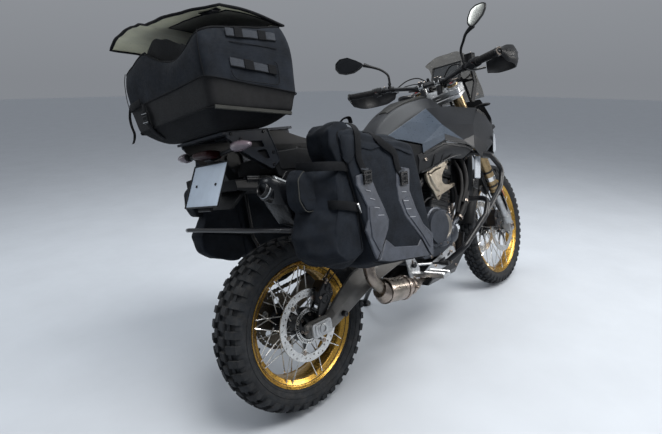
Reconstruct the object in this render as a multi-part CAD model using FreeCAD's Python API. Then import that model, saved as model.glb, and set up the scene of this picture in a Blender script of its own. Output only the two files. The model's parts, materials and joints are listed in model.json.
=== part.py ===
import FreeCAD, Part
import math
import os

# Adventure motorcycle with soft luggage, parked on its side stand.
# Everything is drawn on an upright motorcycle: X forward, Y left, Z up, mm,
# origin on the ground under the rear axle.  At the end the steered pieces are
# turned, the whole machine is leaned and moved to its row frame.

os.makedirs("parts", exist_ok=True)
V = FreeCAD.Vector

# ---------------------------------------------------------------- main sizes
WHEELBASE = 1593.0
REAR_R = 326.0            # outer radius of the rear tyre
FRONT_R = 350.0           # outer radius of the front tyre
RAKE = 28.0               # degrees from vertical
TRAIL = 126.0
LEAN = 13.17              # degrees, to the left
STEER = 3.73              # degrees, to the left
SHIFT = V(-795.2, -228.8, 3.3)   # moves the leaned machine to the row frame

SR, CR = math.sin(math.radians(RAKE)), math.cos(math.radians(RAKE))
AXIS_X0 = WHEELBASE + TRAIL
S_DIR = V(-SR, 0, CR)
S_FWD = V(CR, 0, SR)
AX = V(0, 0, REAR_R)                  # rear axle centre
FRONT_DROP = 1.7                       # sets the leaned front tyre on the ground
FX = V(WHEELBASE, 0, FRONT_R - FRONT_DROP)         # front axle centre
FORK_Y = 104.0
FORK_S = 55.0                          # fork tubes ahead of the steering axis


def sp(t, s, y):
    """Point at t along the steering axis, s ahead of it, y to the left."""
    return V(AXIS_X0, y, 0) + S_DIR * t + S_FWD * s


NODE = {}
BODY = {}


def add(name, body, *shapes):
    flat = []
    for s in shapes:
        flat += list(s) if isinstance(s, (list, tuple)) else [s]
    sh = flat[0] if len(flat) == 1 else Part.makeCompound(flat)
    NODE[name] = sh
    BODY[name] = body


# ---------------------------------------------------------------- helpers
def mir(s):
    return s.mirror(V(0, 0, 0), V(0, 1, 0))


def both(s):
    return [s, mir(s)]


def fuse(*shapes):
    flat = []
    for s in shapes:
        flat += list(s) if isinstance(s, (list, tuple)) else [s]
    out = flat[0].fuse(flat[1:]) if len(flat) > 1 else flat[0]
    try:
        r = out.removeSplitter()
        if r.isValid():
            out = r
    except Exception:
        pass
    return out


def solids(s):
    """The solids of a boolean result, without its wrapper."""
    return s.Solids if len(s.Solids) else [s]


def box(x0, x1, y0, y1, z0, z1):
    return Part.makeBox(x1 - x0, y1 - y0, z1 - z0, V(x0, y0, z0))


def cyl(a, b, r):
    a, b = V(*a) if isinstance(a, tuple) else a, V(*b) if isinstance(b, tuple) else b
    d = b - a
    return Part.makeCylinder(r, d.Length, a, d)


def cone(a, b, r0, r1):
    a, b = V(*a) if isinstance(a, tuple) else a, V(*b) if isinstance(b, tuple) else b
    d = b - a
    return Part.makeCone(r0, r1, d.Length, a, d)


def ycyl(x, z, r, y0, y1):
    return Part.makeCylinder(r, y1 - y0, V(x, y0, z), V(0, 1, 0))


def yring(x, z, r0, r1, y0, y1):
    return ycyl(x, z, r1, y0, y1).cut(ycyl(x, z, r0, y0 - 1, y1 + 1))


def corner(p, v, n, r):
    """Tangent points, middle and centre of a round of radius r at corner v."""
    a, b = (p - v), (n - v)
    la, lb = a.Length, b.Length
    a, b = a * (1 / la), b * (1 / lb)
    th = math.acos(max(-1, min(1, a.dot(b))))
    if th > math.pi - 0.01:
        return None
    d = r / math.tan(th / 2)
    lim = 0.49 * min(la, lb)
    if d > lim:
        d = lim
        r = d * math.tan(th / 2)
    bis = a + b
    bis = bis * (1 / bis.Length)
    c = v + bis * (r / math.sin(th / 2))
    return v + a * d, c - bis * r, v + b * d


def rpoly(pts, r):
    """Closed wire through 3-D points with every corner rounded."""
    n = len(pts)
    rr = list(r) if isinstance(r, (list, tuple)) else [r] * n
    cs = [corner(pts[i - 1], pts[i], pts[(i + 1) % n], rr[i]) if rr[i] > 0 else None for i in range(n)]
    edges = []
    for i in range(n):
        j = (i + 1) % n
        s = cs[i][2] if cs[i] else pts[i]
        e = cs[j][0] if cs[j] else pts[j]
        if (e - s).Length > 1e-4:
            edges.append(Part.makeLine(s, e))
        if cs[j]:
            edges.append(Part.Arc(*cs[j]).toShape())
    return Part.Wire(edges)


def xz(pts, y, r=0.0):
    return rpoly([V(p[0], y, p[1]) for p in pts], r)


def yz(pts, x, r=0.0):
    return rpoly([V(x, p[0], p[1]) for p in pts], r)


def xy(pts, z, r=0.0):
    return rpoly([V(p[0], p[1], z) for p in pts], r)


def slab_y(pts, y0, y1, r=0.0):
    return Part.Face(xz(pts, y0, r)).extrude(V(0, y1 - y0, 0))


def slab_x(pts, x0, x1, r=0.0):
    return Part.Face(yz(pts, x0, r)).extrude(V(x1 - x0, 0, 0))


def slab_z(pts, z0, z1, r=0.0):
    return Part.Face(xy(pts, z0, r)).extrude(V(0, 0, z1 - z0))


def path(pts, bend):
    pts = [V(*p) if isinstance(p, tuple) else p for p in pts]
    edges, cur = [], pts[0]
    for i in range(1, len(pts) - 1):
        c = corner(pts[i - 1], pts[i], pts[i + 1], bend)
        if c is None:
            continue
        if (c[0] - cur).Length > 1e-3:
            edges.append(Part.makeLine(cur, c[0]))
        edges.append(Part.Arc(*c).toShape())
        cur = c[2]
    edges.append(Part.makeLine(cur, pts[-1]))
    return edges


def tube(pts, r, bend=40.0):
    """Round bar along straight runs joined by tangent arcs."""
    edges = path(pts, bend)
    length = sum(e.Length for e in edges)
    want = math.pi * r * r * length
    p0 = edges[0].valueAt(edges[0].FirstParameter)
    d0 = edges[0].tangentAt(edges[0].FirstParameter)
    prof = Part.Wire([Part.Circle(p0, d0, r).toShape()])
    try:
        s = Part.Wire(edges).makePipeShell([prof], True, False)
        if s.isValid() and abs(s.Volume - want) < 0.01 * want and s.Volume > 0:
            return s
        if s.Volume < 0:
            s.reverse()
            if s.isValid() and abs(s.Volume - want) < 0.01 * want:
                return s
    except Exception:
        pass
    bits = []
    for e in edges:
        a, b = e.valueAt(e.FirstParameter), e.valueAt(e.LastParameter)
        if e.Curve.TypeId == 'Part::GeomLine':
            bits.append(cyl(a, b, r))
        else:
            t = e.tangentAt(e.FirstParameter)
            f = Part.Face(Part.Wire([Part.Circle(a, t, r).toShape()]))
            c = e.Curve.Center
            nrm = (a - c).cross(t)
            ang = math.degrees(e.Length / e.Curve.Radius)
            bits.append(f.revolve(c, nrm, ang))
    return fuse(bits)


def loft(wires, ruled=False):
    s = Part.makeLoft(wires, True, ruled)
    if s.Volume < 0:
        s.reverse()
    return s


def trap(x, hb, zb, ht, zt, rb, rt):
    """Symmetric rounded trapezoid across the machine at station x."""
    return yz([(-hb, zb), (hb, zb), (ht, zt), (-ht, zt)], x, [rb, rb, rt, rt])


def six(x, hb, zb, hm, zm, ht, zt, r):
    """Symmetric rounded hexagon across the machine at station x."""
    return yz([(-hb, zb), (hb, zb), (hm, zm), (ht, zt), (-ht, zt), (-hm, zm)], x, r)


def turned(prof, centre):
    """Revolve a closed list of (radius, y) or ('arc', via, end) about the wheel axis."""
    def P(q):
        return V(centre.x, q[1], centre.z + q[0])
    edges, cur = [], prof[0]
    for q in prof[1:] + [prof[0]]:
        if q[0] == 'arc':
            edges.append(Part.Arc(P(cur), P(q[1]), P(q[2])).toShape())
            cur = q[2]
        else:
            if abs(q[0] - cur[0]) + abs(q[1] - cur[1]) > 1e-6:
                edges.append(Part.makeLine(P(cur), P(q)))
            cur = q
    f = Part.Face(Part.Wire(edges))
    s = f.revolve(centre, V(0, 1, 0), 360)
    if s.Volume < 0:
        s.reverse()
    return s


def polar(c, rho, deg, y):
    a = math.radians(deg)
    return V(c.x + rho * math.cos(a), y, c.z + rho * math.sin(a))


def spokes(c, n, rho_h, y_h, rho_r, y_r, sweep, r):
    """Crossed spokes, n pairs on each side of the hub."""
    out = []
    for side in (-1, 1):
        for k in range(n):
            base = 360.0 * k / n + (180.0 / n if side > 0 else 0)
            for lead in (-1, 1):
                off = 3.2 * lead
                a = polar(c, rho_h, base + lead * 5, side * y_h + off)
                b = polar(c, rho_r, base + lead * sweep, side * y_r)
                out.append(cyl(a, b, r))
    return out


def belt(c1, r1, c2, r2, y0, y1):
    """Solid stadium round two circles in the XZ plane."""
    dx, dz = c2[0] - c1[0], c2[1] - c1[1]
    d = math.hypot(dx, dz)
    base = math.atan2(dz, dx)
    al = math.acos((r1 - r2) / d)
    def at(c, r, a):
        return V(c[0] + r * math.cos(a), y0, c[1] + r * math.sin(a))
    a1, a2 = at(c1, r1, base + al), at(c2, r2, base + al)
    b1, b2 = at(c1, r1, base - al), at(c2, r2, base - al)
    edges = [Part.makeLine(a1, a2),
             Part.Arc(a2, at(c2, r2, base), b2).toShape(),
             Part.makeLine(b2, b1),
             Part.Arc(b1, at(c1, r1, base + math.pi), a1).toShape()]
    return Part.Face(Part.Wire(edges)).extrude(V(0, y1 - y0, 0))


# ================================================================ rear wheel
rear_tyre = turned([(218, -56), (234, -56), ('arc', (272, -77), (306, -68)),
                    ('arc', (326, 0), (306, 68)), ('arc', (272, 77), (234, 56)),
                    (218, 56), (218, 44), (236, 46), ('arc', (270, 65), (298, 58)),
                    ('arc', (313, 0), (298, -58)), ('arc', (270, -65), (236, -46)),
                    (218, -44)], AX)
add('rear_tyre', 'rear_wheel', rear_tyre)

rear_rim = turned([(232, -61.5), (232, -56.5), (218, -56), (217.5, -40), (203, -30),
                   (203, 30), (217.5, 40), (218, 56), (232, 56.5), (232, 61.5),
                   (214, 60), (208, 54), (208, 42), (198, 30), (196, 0), (198, -30),
                   (208, -42), (208, -54), (214, -60)], AX)
add('rear_rim', 'rear_wheel', rear_rim)

AXLE_R, BORE_R = 12.5, 12.55
rear_hub = fuse(ycyl(0, REAR_R, 32, -58, 60), ycyl(0, REAR_R, 62, -53, -47), ycyl(0, REAR_R, 62, 47, 53),
                yring(0, REAR_R, 44, 62, -79.5, -53),
                yring(0, REAR_R, 30, 52, 53, 84),
                spokes(AX, 9, 56, 50, 212, 50, 36, 2.0))
rear_hub = rear_hub.cut(ycyl(0, REAR_R, BORE_R, -100, 100)).cut(rear_rim)
rear_hub = max(rear_hub.Solids, key=lambda q: q.Volume)
add('rear_hub', 'rear_wheel', rear_hub)


def brake_disc(c, r_out, r_in, r_tab, y0, y1, tabs, holes, hole_r):
    ring = yring(c.x, c.z, r_in, r_out, y0, y1)
    carrier = yring(c.x, c.z, r_tab - 17, r_tab, y0, y1)
    arms = []
    for k in range(tabs):
        a = polar(c, r_tab - 4, 360.0 * k / tabs, 0)
        b = polar(c, r_in + 3, 360.0 * k / tabs + 8, 0)
        d = b - a
        n = V(-d.z, 0, d.x)
        n = n * (8 / n.Length)
        arms.append(Part.Face(Part.makePolygon([V(q.x, y0, q.z) for q in (a + n, b + n, b - n, a - n, a + n)])).extrude(V(0, y1 - y0, 0)))
    s = fuse(ring, carrier, arms)
    cutters = []
    for k in range(holes):
        rho = (r_in + (r_out - r_in) * (0.28 + 0.22 * (k % 3)))
        p = polar(c, rho, 360.0 * k / holes, y0 - 1)
        cutters.append(Part.makeCylinder(hole_r, y1 - y0 + 2, p, V(0, 1, 0)))
    return s.cut(cutters)


add('rear_disc', 'rear_wheel', brake_disc(AX, 132.5, 104, 62, -84.5, -79.5, 6, 36, 3.6))
SPROCKET_Y = 92.0
sprocket = yring(0, REAR_R, 30, 100, SPROCKET_Y - 3.5, SPROCKET_Y + 3.5)
sprocket = sprocket.fuse(yring(0, REAR_R, 30, 52, 84, SPROCKET_Y - 3.5))
sprocket = sprocket.cut([Part.makeCylinder(14, 20, polar(AX, 74, 60 * k + 30, SPROCKET_Y - 10), V(0, 1, 0)) for k in range(6)])
add('rear_sprocket', 'rear_wheel', fuse(sprocket))

# rear axle with its spacers, on the chassis
axle = ycyl(0, REAR_R, AXLE_R, -157, 157)
axle = fuse(axle, ycyl(0, REAR_R, 18, -118, -62), ycyl(0, REAR_R, 18, 66, 118),
            ycyl(0, REAR_R, 19, -157, -151), ycyl(0, REAR_R, 17, 151, 157),
            slab_y([(-40, 303), (42, 303), (42, 349), (-40, 349)], -155, -150, 10),
            slab_y([(-40, 303), (42, 303), (42, 349), (-40, 349)], 150, 155, 10))
AXLE_BORE = 8.5
axle = axle.cut(ycyl(0, REAR_R, AXLE_BORE, -170, 170))
add('rear_axle', 'chassis', axle)

# ================================================================ swingarm
PIVOT = (560.0, 462.0)
FS = (648.0, 452.0)       # front sprocket centre
ARM = [(-52, 300), (70, 300), (210, 352), (330, 392), (470, 420), (590, 428), (600, 470),
       (570, 500), (470, 500), (330, 488), (215, 462), (100, 392), (60, 356), (-52, 352)]
arm_r = slab_y(ARM, -150, -118, 12)
arm_l = slab_y(ARM, 118, 150, 12)
cross = slab_y([(365, 400), (455, 414), (470, 470), (380, 482)], -120, 120, 10)
pivot_tube = ycyl(PIVOT[0], PIVOT[1], 30, -120, 120)
swing = fuse(arm_r, arm_l, cross, pivot_tube)
swing = swing.cut([ycyl(0, REAR_R, BORE_R, -200, 200), ycyl(PIVOT[0], PIVOT[1], 15, -200, 200)])
spools = [ycyl(118, 338, 11, 150, 166), ycyl(118, 338, 11, -166, -150)]
swing = swing.cut(belt((0, REAR_R), 124, FS, 56, SPROCKET_Y - 14, SPROCKET_Y + 14).cut(
    belt((0, REAR_R), 99.5, FS, 31.5, SPROCKET_Y - 20, SPROCKET_Y + 20)))
swing = fuse(swing, spools)
SPOOL_R = 5.0
swing = swing.cut([ycyl(118, 338, SPOOL_R, 140, 170), ycyl(118, 338, SPOOL_R, -170, -140)])
add('swingarm', 'chassis', swing)

# shock absorber behind the engine, between the arms' cross member and the frame
add('shock_absorber', 'chassis', fuse(cyl((440, 0, 500), (520, 0, 800), 16), cyl((452, 0, 545), (502, 0, 732), 33),
                                      ycyl(437, 489, 15, -20, 20), ycyl(522, 808, 16, -22, 22)))

# rear caliper over the disc, carried by a bracket on the axle spacer
cal_c = polar(AX, 122, 52, 0)
caliper = slab_y([(38, 396), (70, 372), (118, 410), (112, 452), (84, 474), (48, 440)], -112, -66, 8)
caliper = caliper.cut(yring(0, REAR_R, 60, 138, -88.5, -75.5))
bracket = slab_y([(-22, 318), (18, 304), (60, 350), (104, 404), (60, 430), (20, 352)], -116, -106, 6)
bracket = bracket.cut(ycyl(0, REAR_R, 18, -130, -90))
add('rear_caliper', 'chassis', fuse(caliper, bracket))

# drive chain and the front sprocket's place
chain = belt((0, REAR_R), 118, FS, 50, SPROCKET_Y - 8.5, SPROCKET_Y + 8.5).cut(
    belt((0, REAR_R), 105.5, FS, 37.5, SPROCKET_Y - 20, SPROCKET_Y + 20))
add('chain', 'chassis', chain)
guard = slab_y([(60, 470), (130, 492), (420, 530), (420, 538), (120, 502), (40, 486), (-40, 470), (-40, 462)], 84, 122, 2)
add('chain_guard', 'chassis', guard)

# ================================================================ engine
CASE = [(600, 372), (870, 342), (955, 400), (965, 545), (820, 610), (690, 610), (600, 540)]
case = slab_y(CASE, -120, 120, 22)
barrel = slab_y([(800, 590), (955, 545), (1005, 740), (855, 790)], -128, 128, 12)
head = slab_y([(848, 782), (1010, 738), (1034, 812), (1010, 846), (890, 872), (856, 850)], -140, 140, 12)
engine = fuse(case, barrel, head)
engine = engine.cut([ycyl(PIVOT[0], PIVOT[1], 66, -200, 200)])
engine = engine.cut(belt((0, REAR_R), 124, FS, 56, SPROCKET_Y - 14, SPROCKET_Y + 60))
add('engine', 'chassis', engine)

CLUTCH = (746.0, 528.0)
clutch = fuse(slab_y([(640, 400), (860, 380), (912, 440), (905, 560), (800, 600), (690, 596), (636, 520)], -158, -120, 24),
              ycyl(CLUTCH[0], CLUTCH[1], 92, -178, -120), ycyl(CLUTCH[0], CLUTCH[1], 74, -196, -120),
              ycyl(868, 470, 44, -182, -120))
alternator = fuse(slab_y([(690, 400), (900, 384), (935, 450), (905, 560), (780, 590), (700, 540)], 120, 150, 24),
                  ycyl(838, 476, 82, 120, 188), ycyl(FS[0], FS[1], 56, 136, 150))
add('engine_covers', 'chassis', clutch, alternator)

radiator = fuse(slab_y([(1062, 620), (1098, 612), (1140, 860), (1104, 868)], -150, 150, 5),
                slab_y([(1058, 618), (1100, 608), (1144, 864), (1100, 874)], 150, 178, 8),
                slab_y([(1058, 618), (1100, 608), (1144, 864), (1100, 874)], -178, -150, 8))
add('radiator', 'chassis', radiator)

# ================================================================ exhaust
hdr_r = tube([(1012, -48, 792), (1058, -48, 762), (1030, -56, 560), (992, -84, 350), (900, -100, 306), (660, -108, 304), (520, -190, 322), (430, -203, 345)], 20, 46)
hdr_l = tube([(1012, 48, 792), (1058, 48, 762), (1034, 36, 560), (996, -20, 350), (900, -84, 306)], 20, 46)
cat = fuse(cyl((470, -198, 336), (430, -203, 345), 32), cone((430, -203, 345), (405, -205, 350), 32, 47),
           cyl((405, -205, 350), (300, -206, 370), 47), cone((300, -206, 370), (272, -206, 386), 47, 32))
riser = tube([(290, -206, 375), (235, -206, 440), (235, -200, 540), (180, -196, 650)], 23, 52)
exhaust = fuse(hdr_r, hdr_l, cat, riser)
add('exhaust_pipe', 'chassis', exhaust)


def oct_at(c, d, hw, hh, ch):
    """Chamfered rectangle normal to direction d (in the XZ plane) centred at c."""
    up = V(-d.z, 0, d.x)
    if up.z < 0:
        up = up * -1
    y = V(0, 1, 0)
    pts = [(-hw + ch, -hh), (hw - ch, -hh), (hw, -hh + ch), (hw, hh - ch), (hw - ch, hh), (-hw + ch, hh), (-hw, hh - ch), (-hw, -hh + ch)]
    return rpoly([c + y * p[0] + up * p[1] for p in pts], 6)


SIL = [(-164, 886), (-63, 838), (100, 748), (214, 672), (196, 622), (140, 606), (30, 650), (-72, 708), (-116, 726), (-156, 800), (-172, 868)]
sx, sz = sum(p[0] for p in SIL) / len(SIL), sum(p[1] for p in SIL) / len(SIL)


def sil(y, k, r):
    return xz([(sx + (p[0] - sx) * k, sz + (p[1] - sz) * k) for p in SIL], y, r)


can = loft([sil(-146, 0.86, 8), sil(-168, 1.0, 10), sil(-224, 1.0, 10), sil(-246, 0.86, 8)], True)
TIP = V(-160, -196, 842)
td = V(-0.88, 0, 0.47)
can = can.cut(cyl(TIP - td * 60, TIP + td * 60, 21))
tip = cyl(TIP - td * 40, TIP + td * 22, 26).cut(cyl(TIP - td * 60, TIP + td * 60, 21))
hang = slab_y([(-70, 856), (-10, 822), (22, 868), (-30, 892)], -146, -138, 4)
add('silencer', 'chassis', fuse(can, tip, hang))

# ================================================================ frame
head_tube = cyl(sp(1092, 0, 0), sp(1252, 0, 0), 33).cut(cyl(sp(1080, 0, 0), sp(1270, 0, 0), 20.05))
spars = [tube([(1173, 37, 1009), (1074, 124, 949), (880, 150, 890), (660, 132, 680), (565, 128, 500)], 19, 60),
         tube([(1196, 34, 975), (1090, 150, 900), (1052, 160, 700), (1040, 130, 560), (970, 132, 500)], 13, 50)]
plate = slab_y([(520, 420), (600, 410), (640, 470), (640, 560), (590, 600), (530, 540)], 121, 133, 14)
sub = [tube([(700, 112, 770), (560, 112, 842), (240, 112, 850), (-60, 104, 872), (-150, 80, 884)], 13, 60),
       tube([(575, 127, 560), (420, 112, 700), (110, 112, 838)], 11, 60)]
frame_l = fuse(spars + [plate] + sub)
bridges = [tube([(-150, -80, 884), (-150, 80, 884)], 13), ycyl(522, 808, 12, -112, 112), ycyl(560, 846, 11, -112, 112), ycyl(240, 850, 11, -112, 112)]
frame = fuse([head_tube, frame_l, mir(frame_l)] + bridges + [ycyl(PIVOT[0], PIVOT[1], 14.95, -133, 133)])
frame = frame.cut(cyl(sp(1080, 0, 0), sp(1270, 0, 0), 20.05))
add('frame', 'chassis', frame)

# ================================================================ tank and bodywork
tank = loft([trap(548, 88, 872, 58, 962, 22, 30),
             six(640, 118, 872, 150, 930, 74, 1058, 26),
             six(790, 150, 872, 218, 960, 96, 1126, 34),
             six(940, 150, 880, 222, 985, 98, 1154, 36),
             six(1039, 120, 930, 180, 1030, 84, 1146, 30)])
add('fuel_tank', 'chassis', tank)
cap = cyl((905, 0, 1150), (905, 0, 1166), 42)
add('fuel_cap', 'chassis', cap)


def plate_pair(outer, inner, y_out, y_in, wall, r):
    """Hollow side panel: open on its inner side."""
    a = loft([xz(inner, -y_in, r), xz(outer, -y_out, r)], True)
    cx = sum(p[0] for p in inner) / len(inner)
    cz = sum(p[1] for p in inner) / len(inner)
    def shrink(pts, k):
        return [(cx + (p[0] - cx) * k, cz + (p[1] - cz) * k) for p in pts]
    b = loft([xz(shrink(inner, 0.965), -y_in + 1, r), xz(shrink(outer, 0.955), -y_out + wall, r)], True)
    return a.cut(b)


SH_IN = [(700, 900), (790, 1010), (1010, 1090), (1180, 1075), (1345, 960), (1345, 850), (1240, 790), (1070, 690), (960, 676), (880, 800)]
SH_OUT = [(800, 930), (850, 990), (1010, 1045), (1150, 1030), (1255, 940), (1250, 875), (1185, 835), (1065, 760), (990, 735), (930, 830)]
shroud_r = plate_pair(SH_OUT, SH_IN, 258, 182, 5, 18)
add('side_fairings', 'chassis', shroud_r, mir(shroud_r))

NOSE = [six(1398, 150, 905, 172, 985, 120, 1095, 20), six(1470, 118, 900, 136, 960, 92, 1070, 20),
        six(1545, 72, 915, 82, 940, 50, 1010, 12)]
NOSE_IN = [six(1390, 144, 911, 166, 985, 114, 1088, 18), six(1465, 112, 906, 130, 960, 87, 1064, 18),
           six(1538, 66, 921, 76, 940, 44, 1002, 10)]
nose = loft(NOSE, True).cut(loft(NOSE_IN, True))
beak = loft([trap(1440, 96, 886, 84, 900, 3, 3), trap(1560, 78, 908, 66, 926, 3, 3), trap(1690, 42, 930, 32, 950, 3, 3),
             trap(1748, 14, 934, 10, 950, 2, 2)], True)
wing = loft([xz([(1240, 1010), (1240, 1082), (1400, 1090), (1400, 960), (1340, 950)], 182, 10),
             xz([(1240, 1010), (1240, 1082), (1400, 1090), (1400, 960), (1340, 950)], 173, 10)], True)
front_fairing = fuse(nose, beak, wing, mir(wing))
lamp_cut = box(1490, 1600, -64, 64, 930, 985)
front_fairing = front_fairing.cut(lamp_cut)
add('front_fairing', 'chassis', front_fairing)
lamp = loft([yz([(-56, 934), (56, 934), (50, 982), (-50, 982)], 1462, 8), yz([(-52, 936), (52, 936), (44, 976), (-44, 976)], 1536, 8)], True)
add('headlight', 'chassis', lamp)


def bowed(x_mid, x_edge, hw, z, th):
    a, m, b = V(x_edge, -hw, z), V(x_mid, 0, z), V(x_edge, hw, z)
    a2, m2, b2 = V(x_edge - th, -hw, z), V(x_mid - th, 0, z), V(x_edge - th, hw, z)
    return Part.Wire([Part.Arc(a, m, b).toShape(), Part.makeLine(b, b2), Part.Arc(b2, m2, a2).toShape(), Part.makeLine(a2, a)])


screen = loft([bowed(1452, 1388, 150, 1098, 5), bowed(1400, 1340, 138, 1220, 5), bowed(1322, 1284, 100, 1352, 5)], True)
add('windscreen', 'chassis', screen)
stay = slab_y([(1262, 1080), (1300, 1080), (1352, 1190), (1318, 1262), (1304, 1262), (1318, 1180)], 132, 140, 6)
display = loft([yz([(-84, 1201), (84, 1201), (84, 1297), (-84, 1297)], 1283, 10), yz([(-76, 1205), (76, 1205), (76, 1297), (-76, 1297)], 1309, 10)], True)
display.rotate(V(1296, 0, 1249), V(0, 1, 0), 20)
brk = [tube([(1304, 60, 1244), (1352, 60, 1200), (1420, 60, 1062)], 7, 30), tube([(1304, -60, 1244), (1352, -60, 1200), (1420, -60, 1062)], 7, 30),
       tube([(1342, -136, 1198), (1342, 136, 1198)], 6)]
add('instrument_display', 'chassis', fuse(display, brk, stay, mir(stay)))

# seat
seat = loft([trap(-70, 104, 886, 84, 950, 12, 24), trap(60, 136, 880, 116, 950, 12, 30), trap(215, 146, 874, 124, 938, 12, 30),
             trap(262, 148, 870, 128, 902, 10, 18), trap(440, 128, 866, 96, 905, 12, 20), trap(540, 80, 870, 52, 924, 10, 20)], True)
add('seat', 'chassis', seat)

tail = loft([trap(-190, 84, 856, 74, 892, 8, 8), trap(-30, 130, 826, 122, 866, 8, 8), trap(250, 146, 806, 140, 861, 8, 8),
             trap(520, 124, 820, 112, 862, 8, 8)], True)
tail_in = loft([trap(-180, 78, 862, 68, 920, 6, 6), trap(-30, 124, 832, 116, 900, 6, 6), trap(250, 140, 812, 134, 900, 6, 6),
                trap(530, 118, 826, 106, 900, 6, 6)], True)
tail = tail.cut(tail_in)
fender = loft([xy([(-130, -70), (-130, 70), (-150, 70), (-150, -70)], 862, 3), xy([(-205, -62), (-205, 62), (-222, 62), (-222, -62)], 800, 3)], True)
holder = slab_y([(-150, 868), (-150, 890), (-196, 958), (-212, 958), (-280, 806), (-272, 802), (-206, 930), (-186, 880)], -40, 40, 3)
tail_side = slab_y([(-78, 984), (60, 978), (190, 958), (300, 890), (290, 850), (40, 850), (-60, 880), (-74, 930)], 131, 141, 14)
add('tail_cover', 'chassis', fuse(tail, fender, holder, tail_side, mir(tail_side)))

PL_TOP, PL_BOT = (-219.6, 950.8), (-284, 822)
pd = V(PL_BOT[0] - PL_TOP[0], 0, PL_BOT[1] - PL_TOP[1])
pd.normalize()
pn = V(pd.z, 0, -pd.x)
pc = V(PL_TOP[0], 0, PL_TOP[1])
plate_face = Part.Face(rpoly([pc + V(0, -105, 0), pc + V(0, 105, 0), pc + V(0, 105, 0) + pd * 144, pc + V(0, -105, 0) + pd * 144], 6))
plate = plate_face.extrude(pn * 2)
if plate.BoundBox.XMin > plate_face.BoundBox.XMin - 0.1:
    plate = plate_face.extrude(pn * -2)
if plate.Volume < 0:
    plate.reverse()
add('number_plate', 'chassis', plate)

rear_ind = fuse(loft([xz([(-240, 986), (-214, 972), (-192, 982), (-196, 1000), (-220, 1006)], 140, 8), xz([(-246, 986), (-214, 968), (-186, 980), (-192, 1004), (-222, 1010)], 172, 10),
                      xz([(-230, 986), (-214, 978), (-200, 984), (-204, 996), (-218, 998)], 224, 6)], True), cyl((-206, 30, 978), (-212, 142, 986), 7))
tail_lamp = loft([xz([(-262, 974), (-190, 960), (-190, 992), (-256, 1000)], -50, 6), xz([(-262, 974), (-190, 960), (-190, 992), (-256, 1000)], 50, 6)], True)
front_ind = fuse(cyl((1296, 174, 1040), (1302, 206, 1048), 7), loft([xz([(1280, 1034), (1324, 1032), (1330, 1052), (1286, 1062)], 198, 6), xz([(1288, 1038), (1318, 1036), (1322, 1050), (1290, 1056)], 252, 5)], True))
add('signal_lamps', 'chassis', fuse(rear_ind, mir(rear_ind), tail_lamp), front_ind, mir(front_ind))

# ================================================================ racks
side = slab_y([(-236, 1038), (-84, 1038), (-62, 970), (-56, 930), (-86, 906), (-150, 946), (-190, 974), (-236, 1022)], 142, 150, 7)
side = side.cut([slab_y([(-166, 1004), (-112, 1000), (-104, 980), (-156, 984)], 130, 160, 4), slab_y([(-142, 972), (-100, 972), (-90, 940), (-110, 944)], 130, 160, 4)])
top_bars = [box(-250, 20, 100, 150, 1030, 1038), box(-250, -206, -150, 150, 1030, 1038), box(-20, 20, -150, 150, 1030, 1038), box(-130, -86, -150, 150, 1030, 1038)]
legs = [slab_y([(-20, 1038), (20, 1038), (30, 940), (50, 900), (20, 900), (-10, 940)], 122, 130, 4), ycyl(-86, 920, 8, 88, 146), ycyl(36, 912, 8, 104, 128), box(-20, 20, 122, 150, 1030, 1038)]
rack = fuse([side, mir(side)] + top_bars + [mir(top_bars[0])] + legs + [mir(q) for q in legs])
add('luggage_rack', 'chassis', rack)

PR_Y = 258.0
def side_loop(k):
    return [tube([(300, k * PR_Y, 940), (350, k * PR_Y, 880), (330, k * PR_Y, 560), (90, k * PR_Y, 560), (56, k * PR_Y, 640), (60, k * PR_Y, 940)], 8, 35),
            tube([(48, k * PR_Y, 934), (312, k * PR_Y, 934)], 8),
            tube([(120, k * PR_Y, 934), (110, k * 190, 900), (110, k * 116, 856)], 8, 30),
            tube([(346, k * PR_Y, 820), (360, k * 190, 700), (420, k * 121, 702)], 8, 30)]


cross_bar = [tube([(-190, 322, 722), (-200, 290, 725), (-200, -290, 725), (-190, -322, 722)], 8, 20),
             tube([(-200, PR_Y, 725), (-60, PR_Y, 690), (66, PR_Y, 655)], 8, 45), tube([(-200, -PR_Y, 725), (-60, -PR_Y, 690), (66, -PR_Y, 655)], 8, 45)]
pannier_rack = fuse(side_loop(1) + side_loop(-1) + cross_bar)
add('pannier_rack', 'chassis', pannier_rack)

# ================================================================ soft luggage
P_IN = [(20, 560), (8, 1000), (120, 1030), (340, 950), (372, 590), (330, 515), (90, 520)]
P_OUT = [(52, 570), (30, 930), (120, 990), (310, 915), (344, 600), (308, 540), (100, 545)]
main_bag = loft([xz(P_IN, -268, 26), xz(P_IN, -345, 30), xz(P_OUT, -418, 30)], True)
K_IN = [(-30, 566), (-128, 592), (-174, 640), (-170, 690), (-130, 760), (-128, 868), (-100, 900), (-20, 905), (34, 760), (34, 580)]
K_OUT = [(-24, 606), (-108, 626), (-146, 658), (-142, 702), (-106, 764), (-104, 850), (-80, 876), (-20, 878), (12, 760), (12, 616)]
pouch = loft([xz(K_IN, -276, 20), xz(K_IN, -350, 22), xz(K_OUT, -408, 18)], True)
main_bag = fuse(main_bag, pouch)
add('pannier_right', 'chassis', main_bag)
add('pannier_left', 'chassis', mir(main_bag))


def bag_sec(z, x0, x1, hy, r):
    return xy([(x0, -hy), (x1, -hy), (x1, hy), (x0, hy)], z, r)


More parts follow.
